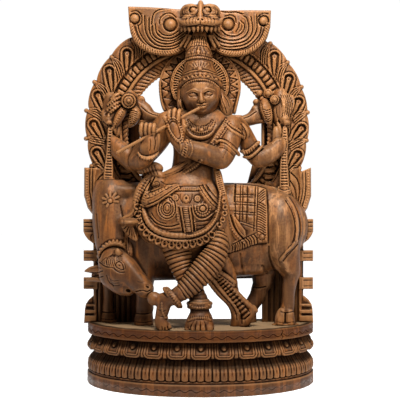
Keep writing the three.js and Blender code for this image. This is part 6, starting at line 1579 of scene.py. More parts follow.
    # shoulder band, armlet ticks
    b.rope([(226.0, 124.4), (230.6, 129.4), (236.0, 132.8), (241.2, 136.0)], 2.8, 2.0, 1.75, slant=0.4, depth=0.8)
    b.beads([(227.0, 121.8), (231.4, 125.6), (236.8, 128.6), (241.0, 131.6)], 1.1, 1.9, pitch=2.3)
    b.stroke([(226.4, 123.2), (231.0, 127.6), (236.4, 130.8), (241.2, 134.0)], 0.8, -1.8, mode="add")
    b.beads([(216.6, 142.2), (220.2, 140.6), (225.4, 142.2), (231.4, 146.4), (236.6, 151.6)], 0.95, 1.9, pitch=2.0)
    b.rope([(220.0, 143.6), (225.0, 144.8), (230.6, 149.0), (235.4, 153.8)], 1.9, 1.6, 1.5, slant=0.2, depth=0.85)
    b.stroke([(219.2, 147.8), (224.6, 148.4), (229.6, 152.2), (234.0, 156.6)], 0.8, -1.5, mode="add")
    b.stroke([(217.4, 139.6), (221.6, 138.6), (226.6, 140.2), (232.6, 144.4), (237.6, 149.4)], 0.8, -1.5, mode="add")
    b.beads([(243.0, 150.0), (246.8, 150.4), (252.6, 146.4), (258.2, 141.2)], 1.0, 2.0, pitch=2.1)
    for i in range(7):
        t = i / 6
        b.stroke([(245.0 + 14.0 * t, 155.4 - 11.6 * t + 1.4 * math.sin(t * 3.1)), (243.4 + 15.0 * t, 151.8 - 9.6 * t + 1.4 * math.sin(t * 3.1))], 1.3, 2.4, smoothn=1)
    b.stroke([(243.4, 158.8), (249.6, 159.4), (256.6, 154.8), (262.4, 148.6)], 0.8, -1.6, mode="add")
    for i in range(5):
        b.stroke([(262.0 + 3.6 * i, 152.6 - 2.6 * i), (266.4 + 3.4 * i, 157.8 - 2.6 * i)], 0.7, -0.5, mode="add", smoothn=1)
    # hand oval with its beaded border, cuffs
    oval = [(168.4, 123.6), (171.4, 120.4), (175.6, 121.0), (178.6, 125.0), (180.4, 131.0), (181.4, 136.6), (179.8, 140.0), (176.0, 138.4), (171.8, 132.8), (169.0, 128.0)]
    b.stroke(oval, 1.1, 1.8, closed=True)
    b.stroke(np.array(oval) * 0.86 + np.array([174.6, 130.4]) * 0.14, 0.8, -1.3, mode="add", closed=True)
    big = np.array(oval) * 1.24 - np.array([174.6, 130.4]) * 0.24
    b.beads(big, 1.15, 2.6, pitch=2.5, closed=True)
    for i in range(7):
        t = i / 6
        b.stroke([(182.0 + 4.6 * t, 155.0 - 13.6 * t), (185.2 + 3.6 * t, 157.0 - 14.4 * t)], 0.9, 2.0, smoothn=1)
    b.beads([(185.2, 141.4), (187.2, 146.6), (186.8, 152.0), (184.6, 156.2)], 0.95, 1.8, pitch=1.9)
    b.beads([(190.2, 140.6), (192.4, 146.8), (191.8, 152.6), (189.4, 157.0)], 0.85, 1.5, pitch=1.8)
    b.beads([(179.4, 141.4), (181.0, 147.0), (180.2, 153.0)], 0.95, 1.8, pitch=1.9)
    # knuckle and nail lines
    for u0, v0 in ((165.0, 118.6), (169.3, 114.6), (173.8, 113.2), (178.4, 114.0), (141.4, 131.4), (145.6, 131.8), (149.7, 132.2), (153.6, 132.6)):
        b.stroke([(u0 - 1.6, v0), (u0 + 1.6, v0 - 0.2)], 0.6, -0.9, mode="add")
    for u0, v0 in ((165.2, 115.6), (169.8, 111.0), (174.4, 109.6), (179.0, 110.6)):
        b.dot(u0 + 0.2, v0 + 0.4, 0.9, -0.7, mode="add")
    # bead bracelet
    b.beads([(139.4, 156.0), (142.6, 158.6), (147.4, 159.8), (152.6, 158.8), (156.6, 155.6)], 1.25, 3.0, pitch=2.7)
    b.stroke([(138.6, 151.6), (142.4, 155.0), (148.0, 156.2), (153.6, 154.8), (157.6, 151.6)], 0.8, -1.5, mode="add")
    b.stroke([(150.2, 139.6), (150.6, 146.0), (149.6, 151.0)], 1.0, -1.4, mode="add")
    b.stroke([(154.8, 137), (155.4, 144.0), (153.8, 150.6)], 0.9, -1.6, mode="add")
    # navel, arm creases, fold lines on the bow and rear wrists
    b.dot(197.6, 180.6, 1.1, -2.6, mode="add")
    b.stroke([(226.6, 150.0), (224.6, 154.4), (222.8, 158.0)], 0.9, -0.9, mode="add")
    b.stroke([(240.6, 124.0), (244.0, 128.0), (246.4, 134.0), (245.8, 138.4)], 1.0, -2.2, mode="add")
    b.stroke([(238.4, 128.4), (242.0, 131.8), (244.2, 136.2)], 0.9, -1.8, mode="add")
    b.beads([(272.8, 142.8), (276.4, 140.0), (280.8, 139.0)], 0.9, 1.6, pitch=1.9)
    c.carve(b, face=0.45)
    return c


# ------------------------------------------------------------------ dress
def build_dress(h):
    c = Clay((-196, -99, 284), (84, 50, 546), h)
    # hips and upper skirt
    c.limb([(191, 181, -11, 54, 34), (190, 187, -13, 66, 40), (188, 196, -15, 82, 46), (186, 206, -18, 92, 51), (184.6, 216, -20, 92, 52),
            (184.6, 226, -20, 84, 50), (185.6, 234, -19, 68, 44), (187, 240, -17, 50, 36)], own=10, n=3)
    c.limb([(188, 226, 2, 62, 30), (190, 244, -8, 50, 28), (194, 256, -12, 34, 22)], k=8, own=6)
    # right hip sweep of cloth and left hip band
    c.limb([(208, 184, -34, 8, 9), (211.6, 191, -46, 10.5, 9), (213.6, 199, -52, 10.5, 9), (217.6, 207.4, -50, 8, 8)], k=3, own=4)
    c.limb([(196.6, 184.6, -44, 6, 7), (201.6, 192, -57, 7.6, 8), (208.6, 201.6, -60, 7.6, 8), (216.6, 208.4, -54, 6, 7)], k=2, own=3)
    lb = Board(u0=136, v0=176, u1=184, v1=214)
    hip = [(177.9, 183.4), (180.4, 187.4), (172.5, 192.6), (163.8, 199.0), (151.7, 206.2), (146.0, 208.2), (143.2, 205.6), (142.4, 198.8), (143.2, 193.4), (150.4, 190.2), (158.4, 187.6), (168.5, 184.4)]
    lb.fill(hip, 1.5, edge=0.8)
    lb.rope([(149.2, 202.6), (156.4, 199.4), (164.2, 194.6), (172.4, 189.0), (178.6, 185.2)], 1.9, 2.2, 1.9, slant=0.1, base=1.2, depth=0.9)
    lb.stroke([(147.0, 206.6), (154.6, 203.4), (163.4, 198.2), (172.4, 191.6), (178.8, 187.6)], 2.2, 3.6, base=1.0)
    lb.stroke([(147.6, 204.4), (155.6, 201.2), (163.9, 196.4), (172.4, 190.4)], 0.8, -2.0, mode="add")
    lb.stroke([(145.6, 199.4), (153.6, 196.6), (162.4, 191.6), (171.8, 186.2)], 0.8, -1.8, mode="add")
    for i, (u, v) in enumerate(((147.6, 196.4), (153.8, 193.4), (160.0, 190.6), (166.2, 187.8))):
        lb.stroke(circle(u, v, 1.9, 20 * i, 300 + 20 * i, 10), 0.8, -1.8, mode="add", smoothn=1)
        lb.dot(u, v, 0.9, 1.6)
    c.limb([(177, 187.6, -48, 9, 9), (168, 192, -52, 11, 10), (158, 197, -50, 12.5, 12), (149.6, 200.2, -42, 13, 14), (145.4, 201.4, -30, 10, 14)], k=3, own=5)
    # waistband: three rolled lines
    for v, r, yy in ((184.9, 3.6, -45), (188.8, 4.2, -48.5), (192.2, 3.2, -50)):
        c.limb([(174.6, v + 1.8, yy + 6, r, r + 1), (181, v + 1.1, yy - 2, r, r + 1), (188, v + 0.9, yy - 5, r, r + 1), (196, v + 0.8, yy - 4, r, r + 1), (203, v - 0.6, yy + 5, r, r + 1)], k=1.2, own=2)
    # belt apron under it, domed
    c.limb([(165.6, 199.6, -52, 5, 5), (170.4, 202.6, -59, 5.2, 5), (177, 205.4, -65, 5.2, 5), (186, 207, -68, 5.2, 5), (194.6, 206, -67, 5.2, 5), (203.4, 203.2, -62, 5, 5)], k=1.2, own=2)
    c.ball((186, 199.6, -48), (38, 16, 20), k=5)
    # big medallions
    c.ball((167.0, 210.0, -54), (24, 11, 23), k=2, tilt=8)
    c.ball((203.6, 209.6, -57), (24, 10, 21), k=2)
    c.limb([(206, 206, -62, 12, 6), (212, 208.6, -60, 8, 5), (216.4, 210.6, -56, 3, 4)], k=2)
    # centre strip
    c.limb([(185.2, 206, -70, 12.0, 5), (187.2, 220, -75, 10.8, 5), (188.8, 233, -75, 9.6, 5)], k=1.2)
    # garland and fringe sweeping round the skirt
    garland = [(142.4, 200, -22), (143.0, 207, -34), (145.4, 215.6, -44), (150.4, 225.3, -53), (159.8, 232.0, -63), (172.5, 235.3, -71), (184.6, 236, -75), (191.3, 236, -76), (198, 234, -76), (204, 231.3, -75), (209.3, 227.3, -72), (213.4, 222.6, -69), (216.4, 217.0, -65), (218.6, 209, -60), (219.8, 200, -54), (220.2, 190, -46)]
    g_in = [(*q, 6.2, 6.5) for q in garland]
    c.limb(g_in, k=1.5, own=2.5)
    line = [(139.6, 200, -16), (139.8, 210, -28), (141.7, 222, -40), (148.4, 231.4, -52), (158.4, 237.3, -61), (169.8, 240.2, -68), (181.9, 241.0, -73), (193.9, 239.6, -74), (204.7, 235.6, -72), (212.9, 229.3, -68), (217.6, 223, -64)]
    c.limb([(*q, 4.0, 5.5) for q in line], k=1.2, own=2)
    fringe = [(137.6, 204, -14), (137.8, 214, -26), (140.0, 224.4, -36), (146.4, 233.4, -46), (152.6, 238.4, -53), (159.8, 242, -58), (167, 244.5, -62), (176.5, 245.7, -66), (185.2, 245.2, -68), (193.3, 244, -68), (201.3, 241.7, -67), (208.7, 237.3, -64), (215.4, 232.4, -60)]
    c.limb([(*q, 8.5, 6.5) for q in fringe], k=1.5, own=4)
    c.limb([(q[0], q[1] - 3, q[2] + 14, 8.0, 12) for q in fringe], k=4, own=5)
    # right strand from the elbow: a ladder cord ending in rosettes
    c.limb([(215.8, 168, -34, 5, 6), (217.8, 174, -38, 8.0, 6.5), (219.6, 183, -44, 8.6, 6.5), (222.4, 193, -50, 8.0, 6.5), (224.0, 201, -54, 8.6, 7), (224.8, 209, -56, 9.2, 7), (224.0, 216, -58, 9.2, 7), (221.6, 222, -60, 9, 7), (219.2, 227, -62, 7, 6)], k=1.5, own=4)
    c.limb([(222, 214, -58, 8, 9), (224.6, 224, -52, 9, 10), (227, 234, -44, 9, 12), (229, 242, -36, 8, 12)], k=4, own=5)
    # left sash: knot, twisted fall, curl and fan tassel
    c.limb([(140.8, 171.2, -4, 8, 10), (146.4, 168.8, -12, 12.5, 13), (152.8, 167.6, -16, 13, 14), (158.6, 168.6, -18, 11, 13)], k=2, own=4)
    c.limb([(150.4, 175.6, -16, 10, 10), (156.8, 174.4, -22, 11, 11), (162.4, 177.4, -26, 9, 10)], k=2, own=4)
    c.limb([(149.6, 178, -18, 11, 10), (156.4, 182.6, -26, 14, 11), (163, 184.4, -34, 13, 10)], k=2, own=5)
    c.limb([(150.6, 175.6, -22, 6.6, 8), (145.4, 181.8, -27, 9, 8.5), (140.6, 189.6, -30, 10.5, 9), (137.0, 198, -32, 8.5, 9), (134.8, 206, -32, 6.2, 8), (133.4, 212, -31, 6.2, 8), (129.8, 216.6, -31, 6.6, 8), (124.4, 218.6, -28, 5.6, 8)], k=1.5, own=3)
    c.limb([(148.4, 180, -24, 6, 9), (146, 190, -32, 8, 10), (145.2, 199, -36, 7.6, 10), (143.8, 206, -38, 6, 9)], k=2, own=4)
    fan = Board(u0=118, v0=214, u1=144, v1=244)
    fan.fill([(123.4, 221.6), (134, 220.6), (137.4, 224), (137.6, 238.4), (135.6, 240.4), (130.8, 237.4), (126.6, 234.2), (123.6, 229.0), (122.6, 224.6)], 1.0, edge=0.7)
    for q in ((123.4, 226.8), (124.8, 230.4), (127.4, 233.6), (130.4, 236.2), (133.4, 238.6), (136.2, 240.0)):
        fan.stroke([(130.6, 220.8), ((130.6 + q[0]) / 2 + 0.5, (220.8 + q[1]) / 2), q], 2.2, 3.2, base=0.8, taper=[0.4, 0.8, 1.1])
        fan.dot(q[0], q[1], 1.7, 3.6, base=1.0)
        fan.dot(q[0], q[1], 0.7, -2.4, mode="add")
    fan.stroke([(123.6, 221.4), (129, 220.4), (135.6, 217.6), (138.4, 214)], 1.2, -2.6, mode="add")
    c.slab([(122.6, 219.4), (131, 218.6), (137.8, 216), (138.4, 238.8), (136.0, 241.6), (131.0, 238.6), (126.4, 235.2), (122.6, 229.6), (121.4, 224.0)], -33, -6, relief=fan, round_=2.5, k=1.5)
    c.limb([(138.6, 206, -24, 12, 12), (140.6, 220, -26, 14, 16), (146, 232, -30, 14, 16), (152, 239, -34, 12, 14)], k=4, own=6)

    # ---- fine carving
    b = Board(u0=118, v0=160, u1=234, v1=254)
    b.beads([(175.6, 190.2), (181.4, 189.4), (188, 189.2), (195.6, 189.4), (201.6, 188.4)], 1.0, 2.2, pitch=2.2)
    b.stroke([(175.6, 187.6), (182, 186.5), (189, 186.2), (196, 186.3), (203, 185.4)], 0.8, -1.6, mode="add")
    b.stroke([(174.6, 192.2), (181, 191.3), (188, 191.3), (196, 191.3), (202.4, 190.6)], 0.8, -1.8, mode="add")
    # belt apron: flower, drop, flower, with tendrils
    for u, v in ((175.2, 197.6), (197.4, 198.6)):
        b.disc(u, v, 3.6, 1.6, edge=0.6)
        for i in range(8):
            a = math.radians(i * 45 + 10)
            b.dot(u + 2.3 * math.sin(a), v - 2.3 * math.cos(a), 1.05, 2.6)
        b.dot(u, v, 1.2, 3.2)
        b.stroke(circle(u, v, 3.8, 0, 360, 16), 0.8, -1.6, mode="add", smoothn=1)
    b.fill([(186.2, 193.6), (189.2, 197), (189.8, 201), (186.2, 203.6), (182.6, 201), (183.2, 197)], 1.8, edge=0.8)
    b.dot(186.2, 198.2, 1.3, -3.0, mode="add")
    b.stroke([(180.0, 194.4), (180.4, 199.0), (183.0, 203.4)], 0.8, -1.6, mode="add")
    b.stroke([(192.2, 194.4), (191.8, 199.0), (189.4, 203.4)], 0.8, -1.6, mode="add")
    b.stroke([(170.2, 195.4), (169.4, 199.2), (172.4, 203.2)], 0.8, -1.6, mode="add")
    b.stroke([(201.6, 195.2), (202.8, 199.4), (200.6, 203.2)], 0.8, -1.6, mode="add")
    b.rope([(166.2, 199.9), (171.2, 203.2), (177.6, 205.9), (186, 207.2), (194.6, 206.2), (203, 203.6)], 1.4, 1.1, 1.7, slant=0.5)
    # left medallion: nested drops
    cu, cv = 167.0, 207.6
    for r, hh in ((2.8, 2.2), (4.9, 1.8), (9.9, 1.8)):
        pts = [(cu + r * 0.98 * math.sin(a) + 0.25 * r * max(0, -math.cos(a)) * 0.4, cv + 1.0 + r * (1.12 if math.cos(a) > 0 else 1.3) * math.cos(a) * (1.1 if r < 6 else 1.0)) for a in np.radians(np.linspace(0, 360, 25)[:-1])]
        b.stroke(pts, 1.1, hh, closed=True, smoothn=2)
        b.stroke(np.array(pts) * 0.88 + np.array([cu, cv + 1.0]) * 0.12, 0.8, -1.5, mode="add", closed=True, smoothn=2)
    for i in range(17):
        a = math.radians(-120 + i * 15)
        b.dot(cu + 7.3 * math.sin(a), cv + 1.6 + 8.0 * math.cos(a), 1.1, 2.8)
    b.dot(cu, cv + 0.6, 1.9, 2.4, ry=3.0)
    # right medallion: disc with bead rings, pointed towards the garland
    cu, cv = 202.8, 208.6
    b.disc(cu, cv, 3.0, 2.2, edge=0.7)
    b.stroke(circle(cu, cv, 3.2, 0, 360, 20), 0.8, -1.6, mode="add", smoothn=1)
    for i in range(14):
        a = math.radians(i * 360 / 14)
        b.dot(cu + 4.6 * math.sin(a), cv - 4.6 * math.cos(a), 0.85, 1.8)
    for i in range(11):
        a = math.radians(80 + i * 20)
        b.dot(cu + 7.2 * math.sin(a) * 1.05, cv - 7.2 * math.cos(a), 1.15, 2.8)
    b.stroke([(192.6, 205.6), (192.8, 211.0), (195.2, 216.4), (199.8, 219.4), (205.6, 219.0), (211.0, 215.4), (216.2, 210.8)], 1.3, 2.6)
    b.stroke([(194.2, 206.6), (194.6, 211.0), (196.8, 215.2), (200.4, 217.6), (205.4, 217.2), (210.0, 213.6)], 0.8, -1.6, mode="add")
    # centre ladder strip
    b.stroke([(180.8, 207.2), (182.8, 220), (184.8, 232.6)], 1.3, 2.4)
    b.stroke([(189.5, 207.4), (191.4, 220), (192.8, 232)], 1.3, 2.4)
    b.stroke([(178.9, 208), (180.9, 220), (182.9, 232.6)], 1.1, -3.4, mode="add")
    b.stroke([(191.4, 208), (193.4, 220), (194.8, 231)], 1.1, -3.4, mode="add")
    for i in range(13):
        v = 209.0 + i * 1.85
        u = 185.0 + (v - 208) * 0.155
        b.stroke([(u - 1.7, v), (u + 2.0, v - 0.2)], 1.15, 2.6, smoothn=1)
    for i in range(5):
        b.dot(176.8 + 0.35 * i, 210.6 + i * 2.5, 1.15, 2.6)
        b.dot(194.6 + 0.3 * i, 221.6 + i * 2.2, 0.95, 2.0)
    # folds of the skirt
    for pts, w, d in (([(150.0, 216.6), (156.0, 222.8), (164.0, 226.0), (172.0, 226.2), (179.0, 224.0)], 1.5, -3.0),
                      ([(151.6, 213.2), (155.4, 218.8), (160.6, 222.4), (166.0, 223.6)], 1.2, -1.8),
                      ([(153.0, 221.0), (160.0, 227.4), (169.0, 229.4), (180.6, 228.0)], 1.1, -1.3),
                      ([(154.0, 225.6), (162.4, 231.2), (172.4, 232.4), (183.2, 231.4)], 1.0, -1.0),
                      ([(195.4, 221.6), (202.6, 221.2), (209.6, 220.2), (214.6, 217.4)], 1.2, -1.8),
                      ([(196.4, 226.0), (202.4, 225.4), (207.6, 224.4)], 1.1, -1.5),
                      ([(197.0, 229.8), (201.6, 229.2), (205.6, 228.0)], 1.0, -1.2)):
        b.stroke(pts, w, d, mode="add")
    # garland: fine hatch on the left, growing beads to the right
    gl = [q[:2] for q in garland]
    gp = spline([list(q) for q in gl], 6)
    seg = np.hypot(*(gp[1:] - gp[:-1]).T)
    cum = np.concatenate([[0], np.cumsum(seg)])
    s = 0.0
    while s < cum[-1] - 1:
        t = s / cum[-1]
        u = np.interp(s, cum, gp[:, 0])
        v = np.interp(s, cum, gp[:, 1])
        du = np.interp(s + 0.5, cum, gp[:, 0]) - u
        dv = np.interp(s + 0.5, cum, gp[:, 1]) - v
        L = math.hypot(du, dv)
        nx, ny = -dv / L, du / L
        if t < 0.50:
            b.stroke([(u - nx * 1.9, v - ny * 1.9), (u + nx * 1.9, v + ny * 1.9)], 0.75, -1.0, mode="add", smoothn=1)
            s += 1.55
        else:
            r = 1.25 + 0.35 * math.sin(min((t - 0.5) / 0.25, 1) * math.pi)
            b.dot(u, v, r, 3.4)
            s += r * 1.85
    ln = [q[:2] for q in line]
    b.stroke(ln, 0.9, 1.6)
    off = [(q[0] - 0.2, q[1] + 2.1) for q in ln]
    b.stroke(off, 0.9, -2.4, mode="add")
    off = [(q[0] * 0.97 + 187 * 0.03, q[1] - 2.0) for q in ln]
    b.stroke(off, 0.9, -2.4, mode="add")
    # fringe scallops, each with a dark eye
    fr = spline([list(q[:2]) for q in fringe], 6)
    seg = np.hypot(*(fr[1:] - fr[:-1]).T)
    cum = np.concatenate([[0], np.cumsum(seg)])
    n = 15
    for i in range(n):
        s = cum[-1] * (i + 0.4) / n
        u = np.interp(s, cum, fr[:, 0])
        v = np.interp(s, cum, fr[:, 1])
        du = np.interp(s + 0.5, cum, fr[:, 0]) - u
        dv = np.interp(s + 0.5, cum, fr[:, 1]) - v
        L = math.hypot(du, dv)
        nx, ny = -dv / L, du / L
        b.stroke([(u - nx * 3.4 - ny * 1.6, v - ny * 3.4 + nx * 1.6), (u - ny * 3.0 + nx * 0.5, v + nx * 3.0 + ny * 0.5), (u + nx * 3.4, v + ny * 3.4), (u + ny * 3.0, v - nx * 3.0), (u - nx * 2.6 + ny * 1.2, v - ny * 2.6 - nx * 1.2)], 1.5, 2.8)
        b.dot(u + nx * 0.2, v + ny * 0.2, 1.15, -4.2, mode="add")
        b.stroke([(u - ny * 3.9 - nx * 3.2, v + nx * 3.9 - ny * 3.2), (u - ny * 3.4 + nx * 2.6, v + nx * 3.4 + ny * 2.6)], 0.9, -2.6, mode="add", smoothn=1)
    # right strand: rungs, rails, rosettes
    ladder(b, [(217.2, 171), (219.0, 179), (221.0, 187), (223.4, 195)], [5.0, 6.6, 6.8, 6.0], 12, 2.8, rail=1.2)
    for u, v in ((224.0, 201.0), (225.2, 207.4), (224.8, 213.4), (222.6, 219.8), (219.6, 225.0)):
        b.stroke(circle(u, v, 2.2, 20, 330, 12), 1.1, 2.4, smoothn=1)
        b.dot(u, v, 0.9, -2.4, mode="add")
    # right hip cloth: parallel folds with beads
    b.stroke([(198.8, 185.6), (204.2, 194.4), (211.0, 203.0), (217.4, 208.4)], 1.0, -2.2, mode="add")
    b.stroke([(202.4, 184.6), (207.4, 192.8), (213.0, 200.0), (218.0, 204.6)], 0.9, -1.9, mode="add")
    b.stroke([(205.8, 184.4), (210.4, 191.2), (215.0, 196.6), (218.6, 199.8)], 0.9, -1.8, mode="add")
    b.beads([(204.6, 186.6), (209.0, 193.4), (214.2, 199.8), (217.8, 203.2)], 0.85, 1.6, pitch=2.0)
    b.beads([(208.6, 186), (212.2, 191.4), (216.0, 195.4)], 0.85, 1.6, pitch=2.0)
    # knot pleats, twist of the fall, slot
    for i in range(5):
        b.stroke([(142.2 + i * 3.0, 167.4 - 0.5 * i), (143.4 + i * 3.1, 171.4 - 0.3 * i), (145.6 + i * 3.0, 174.4)], 0.8, -1.7, mode="add")
    b.stroke([(154.6, 177.4), (151.6, 183.6), (148.4, 190.6)], 1.4, -5.5, mode="add")
    for i in range(9):
        t = i / 8
        u, v = 147.6 - 11.6 * t ** 0.8, 180.6 + 21.0 * t
        b.stroke([(u - 2.8, v - 1.2), (u + 0.4, v + 0.4), (u + 3.4, v + 3.0)], 0.8, -1.6, mode="add")
    b.stroke([(148.2, 178.6), (141.8, 187.6), (138.0, 196.6), (135.8, 205.4), (134.6, 211.6), (130.4, 216.4), (125.0, 218.0)], 0.8, -1.5, mode="add")
    b.stroke([(150.6, 180.4), (146.4, 186.6), (142.6, 194.6), (139.6, 203.6), (137.6, 211.6), (133.6, 218.4), (126.0, 221.0)], 1.3, -3.4, mode="add")
    for i in range(8):
        v = 190 + i * 2.5
        b.stroke([(143.8 - 0.12 * i, v), (146.8 - 0.3 * i, v + 1.0)], 0.9, -1.8, mode="add", smoothn=1)
    b.stroke(circle(156.6, 184.4, 3.0, -60, 240, 12), 0.9, -1.9, mode="add", smoothn=1)
    b.stroke(circle(156.6, 184.4, 1.4, -60, 240, 8), 0.8, -1.5, mode="add", smoothn=1)
    b.stroke([(150.6, 192.4), (156.6, 189.8), (164.2, 186.8)], 0.9, -1.8, mode="add")
    b.stroke([(160.6, 181.4), (166.0, 184.4), (172.6, 184.2)], 0.9, -1.6, mode="add")
    b.stroke([(137.8, 206.6), (139.6, 216.6), (143.8, 226.6)], 0.9, -1.4, mode="add")
    c.carve(b, face=0.45)
    c.carve(lb, y_hi=-30, face=0.45)
    return c


# ------------------------------------------------------------------ legs, feet and sash end
def build_legs(h):
    c = Clay((-146, -99, 144), (142, 52, 398), h)
    # standing leg, with loose pleats, drawn in to the ankle
    c.limb([(176.6, 234, -28, 40, 34), (176.4, 244, -32, 36, 32), (178.6, 256, -36, 30, 28), (181.4, 268, -40, 23, 24), (185.6, 280, -44, 19.5, 21)], own=6, n=3, ring=(9.6, 3.0, "pleat", -0.16))
    c.limb([(185.4, 278, -44, 19.5, 21), (191.4, 286, -48, 19.5, 20), (195.6, 292, -50, 18.4, 18.5), (198.2, 300, -52, 17.6, 17.5)], k=2, own=5, n=4, ring=(8.4, 1.4, "pleat"))
    c.limb([(190, 236, 10, 38, 24), (187, 256, 0, 24, 20), (189, 274, -12, 15, 16)], k=4, own=6)
    # anklet, a thick ring with beads
    for v, r, t in ((300.6, 20.0, 3.4), (303.4, 25.6, 4.6), (306.6, 24.4, 4.4), (309.4, 18.6, 3.4)):
        ring = [(199.5 + r / 2.32 * math.sin(a), v + 1.6 * math.cos(a) * 0.5, -54 - r * math.cos(a), t, t) for a in np.radians(np.linspace(-180, 180, 25))]
        c.limb(ring, k=1.5, n=1, own=2)
    c.limb([(199.4, 299, -53, 19, 19), (199.6, 311, -55, 19, 21)], k=3)
    c.limb([(199.4, 309, -54, 17, 18), (199.6, 314, -56, 18, 19), (199.8, 318, -58, 21, 21)], k=4, own=4)
    # standing foot: a sloping instep that fans into five toes
    c.limb([(200.0, 314.6, -54, 21, 17), (200.2, 319.6, -62, 26, 19), (199.6, 325.0, -70, 29.5, 17), (199.0, 329.0, -75, 31, 12)], k=4, own=8)
    c.limb([(199.2, 322, -50, 24, 24), (199.0, 330.6, -58, 29, 22)], k=6)
    for i, (u, r, yy) in enumerate(((187.6, 5.6, -82), (192.6, 6.0, -88), (197.8, 6.4, -91), (203.2, 6.6, -91), (209.2, 7.6, -87))):
        c.limb([(u * 0.8 + 39.9, 321.6, -70, r * 0.8, r * 0.8), (u * 0.9 + 20.0, 325.2, yy + 11, r * 0.9, r * 0.9), (u, 328.4, yy + 3, r, r), (u, 330.2, yy, r * 0.94, r * 0.94)], k=3.0, own=3)
    # crossing leg: broad pleats round the thigh, the knee and the calf
    c.limb([(219.6, 228, -30, 22, 28), (219.2, 238, -42, 20, 28), (218.0, 247, -52, 24, 28), (213.6, 257.4, -58, 29.5, 28), (206.2, 267.4, -63, 30, 27), (198.2, 276.4, -67, 27.5, 25),
            (190.2, 285.2, -70, 24, 22), (183.6, 291.6, -72, 20.5, 19)], own=4, n=4, ring=(9.3, 3.8, "pleat", 0.16), up=(0.15, 1.0, 0.1))
    c.limb([(184.6, 290.4, -72, 17.0, 17), (179.6, 293.6, -73, 17.0, 16), (174.0, 297.2, -73, 15.6, 15), (168.2, 300.4, -72, 13.6, 14)], k=2, own=4)
    # anklet: two rolled rims with a row of beads between, close round the ankle
    for du, r in ((-2.1, 1.0), (2.3, 1.05)):
        c.limb([(165.6 + du * 0.7, 288.4, -62, 3.6, 4), (167.6 + du, 291.0, -78, 3.8, 4.4), (172.4 + du, 297.0, -87 * r + 2, 4.0, 4.6), (177.0 + du, 303.0, -82, 3.8, 4.4), (179.6 + du * 0.7, 306.8, -66, 3.4, 4)], k=1.2, own=2)
    c.limb([(166.6, 289.2, -64, 6, 6), (168.6, 292.0, -77, 7, 6), (172.8, 297.4, -84, 7.4, 6), (176.8, 302.6, -79, 7, 6), (179.4, 306.2, -64, 6, 5)], k=1.5, own=2)
    # heel and foot, toes down on the plinth
    c.ball((154.2, 298.6, -63), (16.2, 15, 16.0), k=2)
    c.limb([(168.4, 298.6, -70, 15, 15), (163.0, 299.8, -67, 14.6, 15), (158.6, 300.4, -64, 12, 14)], k=3, own=4)
    c.limb([(165.2, 300.6, -68, 14, 15), (163.2, 308.0, -69, 12.6, 14.0), (161.4, 316.0, -72, 11.0, 13.0), (160.8, 322.0, -76, 11.0, 12.0), (163.4, 326.6, -80, 13.4, 10.5)], k=4, own=7)
    c.ball((166.4, 317.6, -78), (4.4, 5, 4.6), k=2)
    for i, (u, v, r) in enumerate(((160.6, 328.8, 4.6), (163.4, 329.6, 4.8), (166.4, 329.4, 5.0), (169.2, 327.8, 5.6))):
        c.limb([(u * 0.8 + 32.4, 324.6, -80, r, r), (u, v - 0.4, -87 + i, r, r)], k=1.2)
    # sash end: a double rail, a wide ladder and a smooth rail, closing on a foot block
    c.limb([(207.6, 279.6, -36, 5, 7), (215.6, 290.0, -35, 5.4, 7), (221.6, 296.6, -33, 5.4, 7), (228.0, 302.6, -31, 5.6, 7), (232.4, 309.6, -29, 6, 8), (234.6, 317.0, -26, 8, 9), (234.4, 325.6, -24, 10, 10)], k=1, own=2)
    c.limb([(211.2, 277.6, -37, 5.4, 7), (219.4, 288.6, -37, 5.6, 7), (226.4, 297.0, -36, 5.6, 7), (233.4, 305.6, -34, 5.6, 7), (238.2, 314.0, -30, 6.4, 8)], k=0.8, own=2)
    c.limb([(217.4, 275.0, -30, 13, 8), (226.0, 285.4, -30, 14, 8), (235.4, 297.4, -29, 14.5, 8), (243.6, 309.6, -27, 14, 8), (246.4, 315.0, -25, 13, 8)], k=1, own=3)
    c.limb([(224.6, 283.4, -34, 5, 7), (234.0, 290.4, -34, 6.2, 7), (243.0, 299.6, -33, 6.2, 7), (251.4, 307.4, -30, 6.2, 7), (255.6, 310.6, -27, 6.0, 7)], k=0.8, own=2)
    c.limb([(252.6, 308.6, -28, 9, 9), (249.4, 315.0, -27, 11, 10), (245.0, 321.6, -25, 13, 11), (240.6, 325.6, -23, 14, 12)], k=1.5, own=3)
    c.limb([(236.4, 316.6, -27, 10, 12), (237.4, 326.0, -22, 17, 14)], k=3)
    # flap above it with three ridges
    for i, (du, dv) in enumerate(((0, 0), (-1.2, 2.4), (-2.4, 4.9))):
        c.limb([(217.6 + du, 270.6 + dv, -36, 4.8, 6), (226.6 + du, 276.8 + dv, -36, 5.2, 6), (234.0 + du, 282.4 + dv, -34, 5.0, 6)], k=0.6, own=2)
    c.ball((232.4, 284.4, -29), (7, 10, 9), k=3)
    c.limb([(224, 262, -22, 16, 14), (231, 276, -18, 12, 12), (236, 298, -14, 8, 8)], k=4, own=4)
    b = Board(u0=148, v0=232, u1=262, v1=334)
    # anklets
    b.beads([(189.8, 305.8), (194.0, 307.4), (199.6, 308.2), (205.2, 307.4), (209.6, 305.8)], 1.15, 2.6, pitch=2.5)
    b.stroke([(188.6, 302.6), (194.0, 304.4), (199.6, 305.0), (205.2, 304.4), (210.8, 302.6)], 0.9, -2.0, mode="add")
    b.beads([(167.2, 290.2), (169.6, 293.4), (172.8, 297.8), (176.2, 302.4), (178.8, 305.8)], 1.3, 3.0, pitch=2.7)
    b.stroke([(187.6, 289.8), (190.6, 296.0), (189.0, 299.4)], 0.8, -1.4, mode="add")
    b.stroke([(176.6, 284.6), (181.4, 290.4), (186.2, 299.0)], 0.9, -1.6, mode="add")
